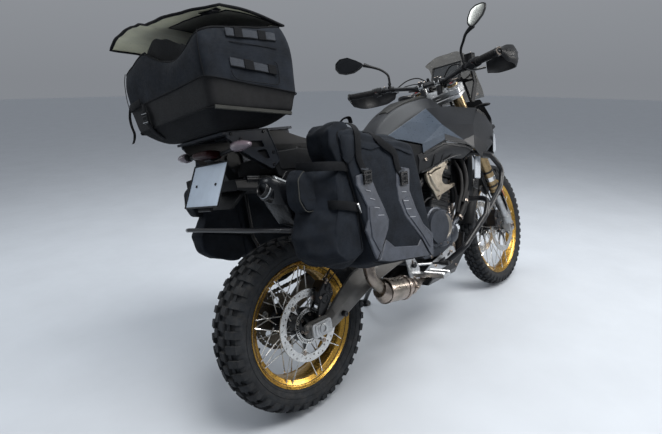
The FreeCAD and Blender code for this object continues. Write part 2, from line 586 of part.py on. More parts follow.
BAG = [(1041, -276, -86, 172, 30), (1082, -318, -46, 232, 30), (1118, -334, -20, 256, 26), (1180, -342, -2, 268, 26), (1332, -336, -38, 258, 26)]
bag_o = loft([bag_sec(*q) for q in BAG], True)
BAG_IN = [(1051, -266, -98, 162, 24), (1084, -306, -58, 220, 24), (1119, -324, -30, 246, 20), (1180, -332, -12, 258, 20), (1340, -327, -48, 248, 20)]
bag_i = loft([bag_sec(*q) for q in BAG_IN], True)
tail_bag = bag_o.cut(bag_i)
add('tail_bag', 'chassis', tail_bag)
# soft lid, hinged at its front edge, as it lies: left rear corner lifted
LID_HINGE = V(-42, 0, 1338)
lid = loft([yz([(-290 * 0 - 272, 1352), (292, 1402), (292, 1408), (-272, 1358)], -352), yz([(-262, 1338), (262, 1338), (262, 1344), (-262, 1344)], -42)], True)
add('tail_bag_lid', 'tail_bag_lid', lid)

# ================================================================ guards, pegs, stands
cb = fuse(tube([(790, 180, 352), (838, 256, 416), (1010, 284, 532), (1186, 282, 636), (1246, 272, 716), (1168, 258, 800), (1085, 196, 830), (1062, 160, 800)], 12.5, 45),
          tube([(1008, 283, 532), (1060, 276, 590), (1078, 230, 600), (1045, 140, 596)], 12.5, 40))
add('crash_bars', 'chassis', cb, mir(cb))

bottom = slab_y([(690, 262), (925, 262), (1014, 330), (1058, 430), (1050, 434), (1006, 336), (921, 268), (690, 268)], -128, 128, 3)
cheek = loft([xz([(690, 262), (925, 262), (1014, 330), (1036, 390), (910, 336), (690, 318)], 128, 8), xz([(690, 290), (908, 294), (992, 348), (1010, 396), (900, 356), (690, 338)], 154, 8)], True)
cheek = cheek.cut(loft([xz([(680, 268), (920, 268), (1006, 336), (1060, 440), (900, 350), (680, 340)], 126, 6), xz([(680, 296), (902, 300), (984, 352), (1040, 440), (900, 366), (680, 350)], 148, 6)], True))
alu = slab_y([(640, 318), (850, 330), (900, 352), (890, 400), (860, 410), (690, 372), (640, 352)], 158, 163, 8)
alu = fuse(alu, [cyl((720, 119, 352), (720, 160, 352), 9), cyl((862, 119, 382), (862, 160, 382), 9)])
skid = fuse(bottom, cheek, mir(cheek), alu, mir(alu))
add('skid_plate', 'chassis', skid)

peg = fuse(box(560, 612, 205, 306, 350, 366), slab_y([(540, 330), (600, 330), (604, 376), (552, 470), (520, 470), (528, 380)], 151, 159, 8),
           box(566, 600, 155, 208, 344, 360), tube([(560, 158, 400), (690, 172, 372), (700, 200, 372)], 6, 20))
ped_r = fuse(peg.mirror(V(0, 0, 0), V(0, 1, 0)), tube([(700, -200, 372), (706, -245, 372)], 8))
ped_l = fuse(peg, tube([(700, 200, 372), (706, 245, 372)], 8))
add('footpegs', 'chassis', solids(ped_l), solids(ped_r))
stay_b = slab_y([(520, 470), (552, 470), (330, 520), (300, 560), (292, 552)], 151, 157, 2)

# side stand
ST_P = V(642, 150, 296)
sl, cl = math.sin(math.radians(LEAN)), math.cos(math.radians(LEAN))
G_UP = V(0, -sl, cl)                     # ground normal on the upright machine
FOOT_Y = 378.0
FOOT_LOW = -3.3                          # tyres touch this much below zero when leaned
foot = V(776, FOOT_Y, (FOOT_LOW + FOOT_Y * sl) / cl)
knee = foot + G_UP * 14
ST_AXIS = V(0.0265, 0.651, 0.758)
ST_AXIS.normalize()
out = (knee - ST_P)
out = out - ST_AXIS * out.dot(ST_AXIS)
out.normalize()
eye = Part.makeCylinder(24, 18, ST_P - ST_AXIS * 9, ST_AXIS)
leg = cyl(ST_P + out * 12, knee, 11).fuse([eye, Part.makeCylinder(30, 12, foot, G_UP), Part.makeSphere(14.3, knee)])
leg = leg.cut(Part.makeCylinder(8.05, 80, ST_P - ST_AXIS * 40, ST_AXIS))
leg = leg.cut([Part.makeCylinder(21, 30, ST_P + ST_AXIS * 9, ST_AXIS), Part.makeCylinder(21, 30, ST_P - ST_AXIS * 39, ST_AXIS)])
add('side_stand', 'side_stand', max(leg.Solids, key=lambda q: q.Volume))
pin = Part.makeCylinder(8, 38, ST_P - ST_AXIS * 23, ST_AXIS)
lug = fuse(pin, Part.makeCylinder(19, 13, ST_P - ST_AXIS * 23, ST_AXIS), Part.makeCylinder(13, 5, ST_P + ST_AXIS * 10.5, ST_AXIS),
           tube([ST_P - ST_AXIS * 21, ST_P - ST_AXIS * 21 + V(-12, -35, 30.5), V(608, 130, 432)], 10, 20))
add('stand_bracket', 'chassis', lug)

# ================================================================ fork (steered)
low_t, top_t = 1050.0, 1262.0
ft0 = 612.0
tubes = [cyl(sp(ft0, FORK_S, FORK_Y), sp(1306, FORK_S, FORK_Y), 28)]
add('fork_upper_tubes', 'fork', tubes[0], mir(tubes[0]))
axle_t = (FX - V(AXIS_X0, 0, 0)).dot(S_DIR)
axle_s = (FX - V(AXIS_X0, 0, 0)).dot(S_FWD)
legl = fuse(cyl(sp(ft0, FORK_S, FORK_Y), sp(axle_t + 30, FORK_S, FORK_Y), 21.5), cyl(sp(axle_t + 70, FORK_S, FORK_Y), sp(axle_t - 20, FORK_S, FORK_Y), 25),
            ycyl(FX.x, FX.z, 27, 80, 124),
            Part.Face(Part.makePolygon([sp(axle_t + 120, FORK_S + 24, FORK_Y - 12), sp(axle_t + 235, FORK_S + 27, FORK_Y - 12), sp(axle_t + 235, FORK_S + 27, FORK_Y + 24), sp(axle_t + 120, FORK_S + 24, FORK_Y + 24), sp(axle_t + 120, FORK_S + 24, FORK_Y - 12)])).extrude(S_FWD * 4))
legl = legl.cut(ycyl(FX.x, FX.z, 12.5, 60, 140))
add('fork_lower_legs', 'fork', solids(legl), solids(mir(legl)))


def clamp_plate(t0, t1):
    pts = [sp(t0, -34, -20), sp(t0, -34, 20), sp(t0, 16, 146), sp(t0, 86, 146), sp(t0, 98, 104), sp(t0, 54, 44), sp(t0, 54, -44), sp(t0, 98, -104), sp(t0, 86, -146), sp(t0, 16, -146)]
    f = Part.Face(rpoly(pts, 12))
    s = f.extrude(S_DIR * (t1 - t0))
    if s.Volume < 0:
        s.reverse()
    return s


bore_cut = [cyl(sp(900, FORK_S, y), sp(1400, FORK_S, y), 28) for y in (FORK_Y, -FORK_Y)]
STEM_R = 20.0
BAR = V(1124, 0, 1200)
bt = (BAR - V(AXIS_X0, 0, 0)).dot(S_DIR)
bs = (BAR - V(AXIS_X0, 0, 0)).dot(S_FWD)
risers = [cyl(sp(1288, bs, y), sp(bt - 4, bs, y), 15) for y in (48, -48)]
caps = [Part.makeCylinder(22, 26, sp(bt, bs, y - 13), V(0, 1, 0)) for y in (48, -48)]
clamps = fuse(clamp_plate(1046, 1082), clamp_plate(1262, 1288), cyl(sp(1046, 0, 0), sp(1290, 0, 0), STEM_R), risers, caps)
STEM_BORE = 9.0
clamps = clamps.cut(bore_cut + [cyl(sp(1000, 0, 0), sp(1110, 0, 0), STEM_BORE), cyl(BAR - V(0, 300, 0), BAR + V(0, 300, 0), 14.0)])
add('triple_clamps', 'fork', clamps)

half = [(1124, 0, 1200), (1124, 92, 1200), (1086, 218, 1226), (985, 426, 1234)]
bar_l = fuse(tube(half, 11, 55), cyl((1124, 0, 1200), (1124, 74, 1200), 14), cone((1124, 74, 1200), (1124, 90, 1200), 14, 11))
add('handlebar', 'fork', fuse(bar_l, mir(bar_l)))
gd = V(985 - 1086, 426 - 218, 1234 - 1226)
gd.normalize()
g0 = V(1086, 218, 1226)
grip = cyl(g0 + gd * 96, g0 + gd * 224, 16.5)
pod = fuse(cyl(g0 + gd * 52, g0 + gd * 92, 23), cyl(g0 + gd * 60 + V(10, 0, 4), g0 + gd * 60 + V(52, -6, 12), 13),
           cyl(g0 + gd * 70 + V(-8, 0, -12), g0 + gd * 70 + V(-34, 0, -20), 13))
lever = tube([g0 + gd * 64 + V(40, 0, 8), g0 + gd * 110 + V(52, 0, 2), g0 + gd * 226 + V(46, 0, 0)], 5.5, 20)
ctl = fuse(grip, pod, lever, cyl(g0 + gd * 88, g0 + gd * 98, 18))
ctl = ctl.cut([cyl(g0 - gd * 10, g0 + gd * 240, 11)])
res = fuse(box(1102, 1140, -252, -214, 1246, 1284), cyl((1110, -232, 1248), (1110, -232, 1236), 9))
add('hand_controls', 'fork', solids(ctl), solids(fuse(mir(ctl), res)))

endc = g0 + gd * 226
plug = cyl(endc, endc + gd * 14, 20)
gw = loft([xy([(1004, 440), (1080, 452), (1150, 432), (1196, 380), (1206, 300), (1200, 262), (1194, 262), (1199, 300), (1189, 377), (1147, 424), (1080, 444), (1006, 433)], 1172, 2),
           xy([(982, 444), (1060, 462), (1150, 440), (1202, 384), (1212, 300), (1208, 262), (1202, 262), (1205, 300), (1195, 381), (1147, 432), (1060, 454), (985, 437)], 1262, 2)], True)
gw = fuse(gw, plug, tube([(1202, 268, 1216), (1150, 222, 1216), (1092, 212, 1224)], 7, 30), cyl(endc + gd * 4 + V(0, 0, 0), V(1010, 446, 1222), 7))
add('hand_guards', 'fork', solids(gw), solids(mir(gw)))

stem = tube([(1082, 222, 1232), (1074, 214, 1320), (1020, 300, 1372), (988, 336, 1392)], 6, 40)
mh = loft([yz([(300, 1352), (440, 1362), (452, 1400), (436, 1440), (330, 1446), (296, 1410)], 972, 18), yz([(316, 1366), (420, 1374), (428, 1400), (420, 1424), (344, 1428), (314, 1404)], 1000, 14)], True)
mh.rotate(V(985, 340, 1398), V(0, 0, 1), 20)
mirror_l = fuse(stem, mh)
add('mirrors', 'fork', solids(mirror_l), solids(mir(mirror_l)))

# front fender close to the tyre, on the fork
def arc_plate(c, r0, r1, a0, a1, y0, y1):
    def P(r, a):
        return V(c.x + r * math.cos(math.radians(a)), y0, c.z + r * math.sin(math.radians(a)))
    m = (a0 + a1) / 2
    w = Part.Wire([Part.Arc(P(r1, a0), P(r1, m), P(r1, a1)).toShape(), Part.makeLine(P(r1, a1), P(r0, a1)),
                   Part.Arc(P(r0, a1), P(r0, m), P(r0, a0)).toShape(), Part.makeLine(P(r0, a0), P(r1, a0))])
    return Part.Face(w).extrude(V(0, y1 - y0, 0))


fen = fuse(arc_plate(FX, 366, 370, 58, 166, -60, 60), arc_plate(FX, 340, 370, 66, 160, 56, 60), arc_plate(FX, 340, 370, 66, 160, -60, -56),
           arc_plate(FX, 250, 345, 104, 132, 62, 66), arc_plate(FX, 250, 345, 104, 132, -66, -62),
           arc_plate(FX, 335, 345, 104, 132, 56, 66), arc_plate(FX, 335, 345, 104, 132, -66, -56))
add('front_fender', 'fork', fen)

fc = polar(FX, 128, 152, 0)
fcal = slab_y([(fc.x - 46, fc.z - 34), (fc.x + 8, fc.z - 50), (fc.x + 44, fc.z - 10), (fc.x + 40, fc.z + 44), (fc.x - 10, fc.z + 58), (fc.x - 40, fc.z + 30)], 46, 96, 10)
fcal = fcal.cut([yring(FX.x, FX.z, 70, 159, 56.5, 68), ycyl(FX.x, FX.z, 96, 40, 57)])
add('front_calipers', 'fork', solids(fcal), solids(mir(fcal)))

fax = fuse(ycyl(FX.x, FX.z, AXLE_R, -128, 128), ycyl(FX.x, FX.z, 17, 59, 80), ycyl(FX.x, FX.z, 17, -80, -59))
FBORE = 9.0
fax = fax.cut(ycyl(FX.x, FX.z, FBORE, -140, 140))
fax = fax.cut([ycyl(FX.x, FX.z, 60, -200, -74.9).cut(ycyl(FX.x, FX.z, AXLE_R, -200, -70)), ycyl(FX.x, FX.z, 60, 74.9, 200).cut(ycyl(FX.x, FX.z, AXLE_R, 70, 200))])
add('front_axle', 'fork', fax)

# ================================================================ front wheel
front_tyre = turned([(268, -27), (283, -28.5), ('arc', (312, -47), (338, -37)), ('arc', (350, 0), (338, 37)), ('arc', (312, 47), (283, 28.5)),
                     (268, 27), (268, 20), (284, 21), ('arc', (311, 38), (332, 30)), ('arc', (340, 0), (332, -30)), ('arc', (311, -38), (284, -21)), (268, -20)], FX)
add('front_tyre', 'front_wheel', front_tyre)
front_rim = turned([(281, -33.5), (281, -29), (267.5, -27.5), (267, -18), (254, -12), (254, 12), (267, 18), (267.5, 27.5), (281, 29), (281, 33.5),
                    (266, 32.5), (260, 27), (260, 20), (249, 13), (247, 0), (249, -13), (260, -20), (260, -27), (266, -32.5)], FX)
add('front_rim', 'front_wheel', front_rim)
front_hub = fuse(ycyl(FX.x, FX.z, 24, -54, 54), ycyl(FX.x, FX.z, 44, -43, -37), ycyl(FX.x, FX.z, 44, 37, 43),
                 yring(FX.x, FX.z, 22, 44, 43, 60), yring(FX.x, FX.z, 22, 44, -60, -43),
                 spokes(FX, 9, 39, 40, 264, 23, 32, 2.0))
front_hub = front_hub.cut([ycyl(FX.x, FX.z, BORE_R, -100, 100)]).cut(front_rim)
front_hub = max(front_hub.Solids, key=lambda q: q.Volume)
add('front_hub', 'front_wheel', front_hub)
fd = brake_disc(FX, 152.5, 122, 58, 60, 64.5, 8, 40, 3.6)
add('front_discs', 'front_wheel', fd, mir(fd))

# ================================================================ clear one piece from another
CUTS = [
    # piece cut back, pieces it gives way to
    ('shock_absorber', ['swingarm']),
    ('engine', ['swingarm', 'frame']),
    ('frame', ['shock_absorber', 'swingarm']),
    ('engine_covers', ['engine', 'frame', 'swingarm']),
    ('exhaust_pipe', ['engine', 'silencer']),
    ('radiator', ['frame', 'exhaust_pipe', 'engine']),
    ('fuel_tank', ['frame', 'engine']),
    ('fuel_cap', ['fuel_tank']),
    ('stand_bracket', ['frame', 'engine', 'engine_covers', 'swingarm']),
    ('crash_bars', ['frame', 'engine', 'engine_covers', 'radiator']),
    ('skid_plate', ['engine', 'engine_covers', 'crash_bars', 'exhaust_pipe']),
    ('footpegs', ['frame', 'engine_covers', 'skid_plate', 'swingarm', 'exhaust_pipe']),
    ('side_fairings', ['fuel_tank', 'crash_bars', 'frame', 'radiator']),
    ('front_fairing', ['side_fairings']),
    ('windscreen', ['front_fairing']),
    ('instrument_display', ['front_fairing', 'windscreen']),
    ('headlight', ['front_fairing']),
    ('tail_cover', ['frame', 'shock_absorber']),
    ('seat', ['frame', 'tail_cover', 'fuel_tank']),
    ('luggage_rack', ['frame', 'tail_cover', 'seat']),
    ('silencer', ['luggage_rack', 'frame', 'tail_cover']),
    ('pannier_rack', ['frame', 'silencer', 'tail_cover']),
    ('signal_lamps', ['tail_cover', 'front_fairing', 'side_fairings', 'luggage_rack']),
    ('number_plate', ['tail_cover']),
    ('pannier_right', ['pannier_rack', 'silencer']),
    ('pannier_left', ['pannier_rack']),
    ('front_calipers', ['fork_lower_legs']),
    ('front_axle', ['fork_lower_legs']),
    ('hand_guards', ['handlebar', 'hand_controls']),
    ('mirrors', ['handlebar', 'hand_controls']),
    ('front_fender', ['fork_lower_legs', 'front_calipers']),
]
for name, others in CUTS:
    s = NODE[name]
    for o in others:
        if s.BoundBox.intersect(NODE[o].BoundBox):
            s = s.cut(NODE[o])
    big = max(q.Volume for q in s.Solids)
    keep = [q for q in s.Solids if q.Volume > 0.02 * big]
    NODE[name] = keep[0] if len(keep) == 1 else Part.makeCompound(keep)

# ================================================================ place and write
steer = FreeCAD.Placement(V(0, 0, 0), FreeCAD.Rotation(S_DIR, STEER), V(AXIS_X0, 0, 0))
lean = FreeCAD.Placement(V(0, 0, 0), FreeCAD.Rotation(V(1, 0, 0), -LEAN))
shift = FreeCAD.Placement(SHIFT, FreeCAD.Rotation())
total = FreeCAD.BoundBox()
for name, s in NODE.items():
    pl = shift.multiply(lean)
    if BODY[name] in ('fork', 'front_wheel'):
        pl = pl.multiply(steer)
    q = s.copy()
    q.Placement = pl.multiply(q.Placement)
    q.exportStep("parts/%s.step" % name)
    bb = q.optimalBoundingBox(False) if hasattr(q, 'optimalBoundingBox') else q.BoundBox
    total.add(bb)
    vol = sum(t.Volume for t in q.Solids)
    print("%-20s %-13s solids %d valid %s vol %9.1f cm3" % (name, BODY[name], len(q.Solids), q.isValid(), vol / 1000))
print("box", [round(t, 2) for t in (total.XMin, total.XMax, total.YMin, total.YMax, total.ZMin, total.ZMax)],
      "centre", round((total.XMin + total.XMax) / 2, 2), round((total.YMin + total.YMax) / 2, 2))
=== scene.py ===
import bpy
import bmesh
import math
import json
import random
from mathutils import Vector, Matrix, noise

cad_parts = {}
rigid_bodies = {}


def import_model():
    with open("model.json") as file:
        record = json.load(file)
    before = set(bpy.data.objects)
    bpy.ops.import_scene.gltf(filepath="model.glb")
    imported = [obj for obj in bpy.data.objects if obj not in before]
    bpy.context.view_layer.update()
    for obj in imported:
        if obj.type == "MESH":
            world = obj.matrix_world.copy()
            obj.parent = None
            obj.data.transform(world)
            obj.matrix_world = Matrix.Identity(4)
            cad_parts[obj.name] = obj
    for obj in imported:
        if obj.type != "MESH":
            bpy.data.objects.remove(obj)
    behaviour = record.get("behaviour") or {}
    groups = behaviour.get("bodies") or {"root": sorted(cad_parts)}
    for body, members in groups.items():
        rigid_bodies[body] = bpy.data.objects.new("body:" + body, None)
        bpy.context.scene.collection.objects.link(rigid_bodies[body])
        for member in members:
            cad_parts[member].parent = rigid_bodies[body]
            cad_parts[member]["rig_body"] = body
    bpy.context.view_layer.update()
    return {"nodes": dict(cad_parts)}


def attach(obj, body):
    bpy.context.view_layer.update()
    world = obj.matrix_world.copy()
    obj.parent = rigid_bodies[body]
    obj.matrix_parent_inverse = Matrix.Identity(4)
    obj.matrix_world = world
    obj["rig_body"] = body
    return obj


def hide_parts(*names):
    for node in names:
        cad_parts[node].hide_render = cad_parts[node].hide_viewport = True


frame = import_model()
NODES = frame["nodes"]
rnd = random.Random(11)

# Everything below is drawn on the upright motorcycle in millimetres: X forward,
# Y left, Z up, origin on the ground under the rear axle.  These two matrices
# carry it to the leaned row frame, the second one with the bars turned.
SH = Vector((-0.7952, -0.2288, 0.0033))
MR = Matrix.Translation(SH) @ Matrix.Rotation(math.radians(-13.17), 4, 'X')
S_DIR = Vector((-math.sin(math.radians(28)), 0, math.cos(math.radians(28))))
S_FWD = Vector((math.cos(math.radians(28)), 0, math.sin(math.radians(28))))
PIV = Vector((1.719, 0, 0))
MF = MR @ Matrix.Translation(PIV) @ Matrix.Rotation(math.radians(3.73), 4, S_DIR) @ Matrix.Translation(-PIV)
REAR_R, FRONT_R = 326.0, 350.0
AX = Vector((0, 0, REAR_R))
FX = Vector((1593.0, 0, FRONT_R - 1.7))
UP = Vector((0, 0, 1))


def sp(t, s, y):
    return Vector((1719.0, y, 0)) + S_DIR * t + S_FWD * s


def V(*a):
    return Vector(a[0]) if len(a) == 1 else Vector(a)


def lerp(a, b, t):
    return a + (b - a) * t


def catmull(pts, k):
    """Smooth line through pts with k pieces between neighbours."""
    if k <= 1 or len(pts) < 3:
        return list(pts)
    out = []
    n = len(pts)
    for i in range(n - 1):
        p0, p1, p2, p3 = pts[max(i - 1, 0)], pts[i], pts[i + 1], pts[min(i + 2, n - 1)]
        for j in range(k):
            t = j / k
            out.append(0.5 * ((2 * p1) + (p2 - p0) * t + (2 * p0 - 5 * p1 + 4 * p2 - p3) * t * t + (3 * p1 - p0 - 3 * p2 + p3) * t ** 3))
    out.append(pts[-1])
    return out


def catmull_loop(pts, k):
    n = len(pts)
    out = []
    for i in range(n):
        p0, p1, p2, p3 = pts[i - 1], pts[i], pts[(i + 1) % n], pts[(i + 2) % n]
        for j in range(k):
            t = j / k
            out.append(0.5 * ((2 * p1) + (p2 - p0) * t + (2 * p0 - 5 * p1 + 4 * p2 - p3) * t * t + (3 * p1 - p0 - 3 * p2 + p3) * t ** 3))
    return out


def side_dirs(d):
    d = d.normalized()
    ref = Vector((0, 1, 0)) if abs(d.y) < 0.9 else Vector((1, 0, 0))
    u = d.cross(ref).normalized()
    return u, d.cross(u).normalized()


def round_loop(pts, r, seg=4):
    """Closed loop of points with every corner rounded; r may be a list."""
    n = len(pts)
    rr = list(r) if isinstance(r, (list, tuple)) else [r] * n
    out = []
    for i in range(n):
        p, v, q = Vector(pts[i - 1]), Vector(pts[i]), Vector(pts[(i + 1) % n])
        a, b = p - v, q - v
        la, lb = a.length, b.length
        if rr[i] <= 0 or la < 1e-6 or lb < 1e-6:
            out.append(v)
            continue
        a /= la
        b /= lb
        th = math.acos(max(-1.0, min(1.0, a.dot(b))))
        if th > math.pi - 0.02:
            out.append(v)
            continue
        d = min(rr[i] / math.tan(th / 2), 0.48 * min(la, lb))
        for j in range(seg + 1):
            t = j / seg
            p0, p2 = v + a * d, v + b * d
            out.append(p0 * (1 - t) ** 2 + v * 2 * t * (1 - t) + p2 * t * t)
    return out


class G:
    """Vertices, faces and material numbers of one piece."""

    def __init__(self):
        self.v, self.f, self.m = [], [], []

    def add(self, verts, faces, mat=0):
        n = len(self.v)
        self.v += [Vector(p) for p in verts]
        self.f += [tuple(i + n for i in f) for f in faces]
        self.m += list(mat) if isinstance(mat, (list, tuple)) else [mat] * len(faces)
        return n

    def rings(self, loops, mat=0, caps=(True, True), closed=True, around=False):
        """Skin through loops of equal length."""
        n = len(loops[0])
        verts = [p for lp in loops for p in lp]
        faces, k = [], len(loops)
        span = n if closed else n - 1
        for i in range(k if around else k - 1):
            a, b = i * n, ((i + 1) % k) * n
            for j in range(span):
                q = (j + 1) % n
                faces.append((a + j, a + q, b + q, b + j))
        if not around and closed:
            if caps[0]:
                faces.append(tuple(reversed(range(n))))
            if caps[1]:
                faces.append(tuple(range((k - 1) * n, k * n)))
        return self.add(verts, faces, mat)

    def tube(self, pts, r, n=10, mat=0, smooth=0, caps=(True, True), flat=1.0):
        pts = [Vector(p) for p in pts]
        rad = list(r) if isinstance(r, (list, tuple)) else [r] * len(pts)
        if smooth > 1:
            k = len(pts)
            pts = catmull(pts, smooth)
            rad = [lerp(rad[min(int(i / smooth), k - 1)], rad[min(int(i / smooth) + 1, k - 1)], (i % smooth) / smooth) for i in range(len(pts))]
        loops = []
        d = (pts[1] - pts[0]).normalized()
        u, w = side_dirs(d)
        for i, p in enumerate(pts):
            e = (pts[min(i + 1, len(pts) - 1)] - pts[max(i - 1, 0)]).normalized()
            u = (u - e * u.dot(e)).normalized()
            w = e.cross(u).normalized()
            loops.append([p + (u * math.cos(2 * math.pi * j / n) + w * flat * math.sin(2 * math.pi * j / n)) * rad[i] for j in range(n)])
        self.rings(loops, mat, caps)

    def cyl(self, a, b, r, n=24, mat=0, bev=0.8, r2=None):
        a, b = Vector(a), Vector(b)
        r2 = r if r2 is None else r2
        d = (b - a).normalized()
        u, w = side_dirs(d)
        h = (b - a).length
        bev = min(bev, h * 0.4, r * 0.4, r2 * 0.4)
        prof = [(r - bev, 0), (r, bev), (r2, h - bev), (r2 - bev, h)] if bev > 0 else [(r, 0), (r2, h)]
        self.rings([[a + d * z + (u * math.cos(2 * math.pi * j / n) + w * math.sin(2 * math.pi * j / n)) * q for j in range(n)] for q, z in prof], mat)

    def lathe(self, prof, c, d, n=48, mat=0, closed=True):
        """prof of (radius, along) turned about the line through c; closed makes a ring."""
        c, d = Vector(c), Vector(d).normalized()
        u, w = side_dirs(d)
        loops = []
        for j in range(n):
            a = 2 * math.pi * j / n
            e = u * math.cos(a) + w * math.sin(a)
            loops.append([c + d * z + e * q for q, z in prof])
        mats = mat
        if isinstance(mat, (list, tuple)):
            seg = len(prof) if closed else len(prof) - 1
            mats = [mat[i % len(mat)] for _ in range(n) for i in range(seg)]
        self.rings(loops, mats, caps=(False, False), closed=closed, around=True)

    def prism(self, pts, d, mat=0, bev=0.0, mat_side=None):
        """Closed outline pushed along d, its two rims chamfered by bev."""
        pts = [Vector(p) for p in pts]
        d = Vector(d)
        n = len(pts)
        if bev > 0:
            nz = d.normalized()
            ins = []
            area = Vector()
            for i in range(n):
                area += pts[i - 1].cross(pts[i])
            sgn = 1 if area.dot(nz) > 0 else -1
            for i in range(n):
                e1 = (pts[i] - pts[i - 1])
                e2 = (pts[(i + 1) % n] - pts[i])
                if e1.length < 1e-6 or e2.length < 1e-6:
                    ins.append(pts[i])
                    continue
                e1.normalize()
                e2.normalize()
                n1, n2 = nz.cross(e1) * sgn, nz.cross(e2) * sgn
                bis = n1 + n2
                if bis.length < 1e-3:
                    ins.append(pts[i])
                    continue
                bis.normalize()
                ins.append(pts[i] + bis * min(bev / max(bis.dot(n1), 0.35), bev * 2.2))
            loops = [ins, [p + nz * bev for p in pts], [p + d - nz * bev for p in pts], [p + d for p in ins]]
        else:
            loops = [pts, [p + d for p in pts]]
        k = len(loops) - 1
        ms = mat if mat_side is None else mat_side
        self.rings(loops, [ms] * (k * n) + [mat, mat], (True, True))

    def box(self, c, sx, sy, sz, mat=0, ux=None, uy=None, uz=None, bev=0.0):
        c = Vector(c)
        ux = Vector(ux).normalized() if ux is not None else Vector((1, 0, 0))
        uy = Vector(uy).normalized() if uy is not None else Vector((0, 1, 0))
        uz = Vector(uz).normalized() if uz is not None else ux.cross(uy).normalized()
        a = c - uz * sz / 2
        q = [a - ux * sx / 2 - uy * sy / 2, a + ux * sx / 2 - uy * sy / 2, a + ux * sx / 2 + uy * sy / 2, a - ux * sx / 2 + uy * sy / 2]
        self.prism(q, uz * sz, mat, bev)

    def strap(self, pts, nrm, w, t=1.6, mat=0, smooth=0, lift=0.0):
        """Flat band along pts; nrm is the outward direction, one or one per point."""
        pts = [Vector(p) for p in pts]
        nn = [Vector(q).normalized() for q in nrm] if isinstance(nrm, list) else [Vector(nrm).normalized()] * len(pts)
        if smooth > 1:
            k = len(pts)
            p2 = catmull(pts, smooth)
            nn = [lerp(nn[min(int(i / smooth), k - 1)], nn[min(int(i / smooth) + 1, k - 1)], (i % smooth) / smooth).normalized() for i in range(len(p2))]
            pts = p2
        loops = []
        for i, p in enumerate(pts):
            e = (pts[min(i + 1, len(pts) - 1)] - pts[max(i - 1, 0)]).normalized()
            q = e.cross(nn[i]).normalized()
            u = q.cross(e).normalized()
            p = p + u * lift
            loops.append([p - q * w / 2, p - q * w / 2 + u * t * 0.7, p - q * (w / 2 - t * 0.5) + u * t, p + q * (w / 2 - t * 0.5) + u * t, p + q * w / 2 + u * t * 0.7, p + q * w / 2])
        self.rings(loops, mat)

    def bolt(self, p, d, r=5.0, h=3.5, mat=0, dark=None, hexed=False):
        """Socket or hexagon screw head standing on p."""
        p, d = Vector(p), Vector(d).normalized()
        if hexed:
            u, w = side_dirs(d)
            pts = [p + (u * math.cos(math.pi * j / 3) + w * math.sin(math.pi * j / 3)) * r for j in range(6)]
            self.prism(pts, d * h, mat, 0.5)
            self.cyl(p - d * 0.2, p + d * h * 1.15, r * 0.55, 12, mat, 0.3)
            return
        dk = mat if dark is None else dark
        self.lathe([(r, 0), (r, h * 0.55), (r * 0.82, h), (r * 0.5, h), (r * 0.44, h * 0.45), (0.05, h * 0.45), (0.05, 0)], p, d, 14, [mat, mat, mat, dk, dk, dk, mat])

    def blob(self, c, rx, ry, rz, n=16, mat=0, axes=None):
        c = Vector(c)
        ax = axes or (Vector((1, 0, 0)), Vector((0, 1, 0)), Vector((0, 0, 1)))
        loops = []
        k = max(6, n // 2)
        for i in range(1, k):
            a = math.pi * i / k
            loops.append([c + ax[2] * rz * math.cos(a) + (ax[0] * rx * math.cos(2 * math.pi * j / n) + ax[1] * ry * math.sin(2 * math.pi * j / n)) * math.sin(a) for j in range(n)])
        self.rings(loops, mat)


def obj(name, g, body, mats, replaces=(), sharp=32, bevel=0.0, segs=2, sub=0, thick=0.0, steer=None, weld=0.0, push=None):
    """Mesh object in the row frame from a G in bike millimetres."""
    m = MF if (body in ('fork', 'front_wheel') if steer is None else steer) else MR
    me = bpy.data.meshes.new(name)
    me.from_pydata([m @ (p * 0.001) for p in g.v], [], g.f)
    for i, poly in enumerate(me.polygons):
        poly.material_index = g.m[i]
    bm = bmesh.new()
    bm.from_mesh(me)
    if weld > 0:
        bmesh.ops.remove_doubles(bm, verts=bm.verts, dist=weld * 0.001)
    bmesh.ops.recalc_face_normals(bm, faces=bm.faces)
    bm.to_mesh(me)
    bm.free()
    me.shade_smooth()
    me.set_sharp_from_angle(angle=math.radians(sharp))
    o = bpy.data.objects.new(name, me)
    bpy.context.scene.collection.objects.link(o)
    for q in mats:
        me.materials.append(q)
    if thick:
        s = o.modifiers.new('thick', 'SOLIDIFY')
        s.thickness = thick * 0.001
        s.offset = 0
    if bevel:
        b = o.modifiers.new('edge', 'BEVEL')
        b.width = bevel * 0.001
        b.segments = segs
        b.limit_method = 'ANGLE'
        b.angle_limit = math.radians(sharp)
        b.harden_normals = True
        b.use_clamp_overlap = True
    if sub:
        s = o.modifiers.new('round', 'SUBSURF')
        s.levels = s.render_levels = sub
    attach(o, body)
    if replaces:
        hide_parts(*replaces)
    return o


def mir(p):
    return Vector((p[0], -p[1], p[2]))


def mirrored(g):
    """The same piece on the other side of the machine."""
    h = G()
    h.v = [mir(p) for p in g.v]
    h.f = [tuple(reversed(f)) for f in g.f]
    h.m = list(g.m)
    return h


def merge(*gs):
    h = G()
    for g in gs:
        h.add(g.v, g.f, g.m)
    return h


def jitter(p, scale, amp, seed=0.0):
    """Smooth random vector at p, for cloth folds; scale in mm."""
    q = Vector(p) / scale + Vector((seed, seed * 1.7, seed * 0.6))
    return noise.noise_vector(q) * amp


def spline1(pts, x):
    """Smooth value through (x, value) points."""
    if x <= pts[0][0]:
        return pts[0][1]
    for (a, va), (b, vb) in zip(pts, pts[1:]):
        if x <= b:
            t = (x - a) / (b - a)
            t = t * t * (3 - 2 * t)
            return lerp(va, vb, t)
    return pts[-1][1]


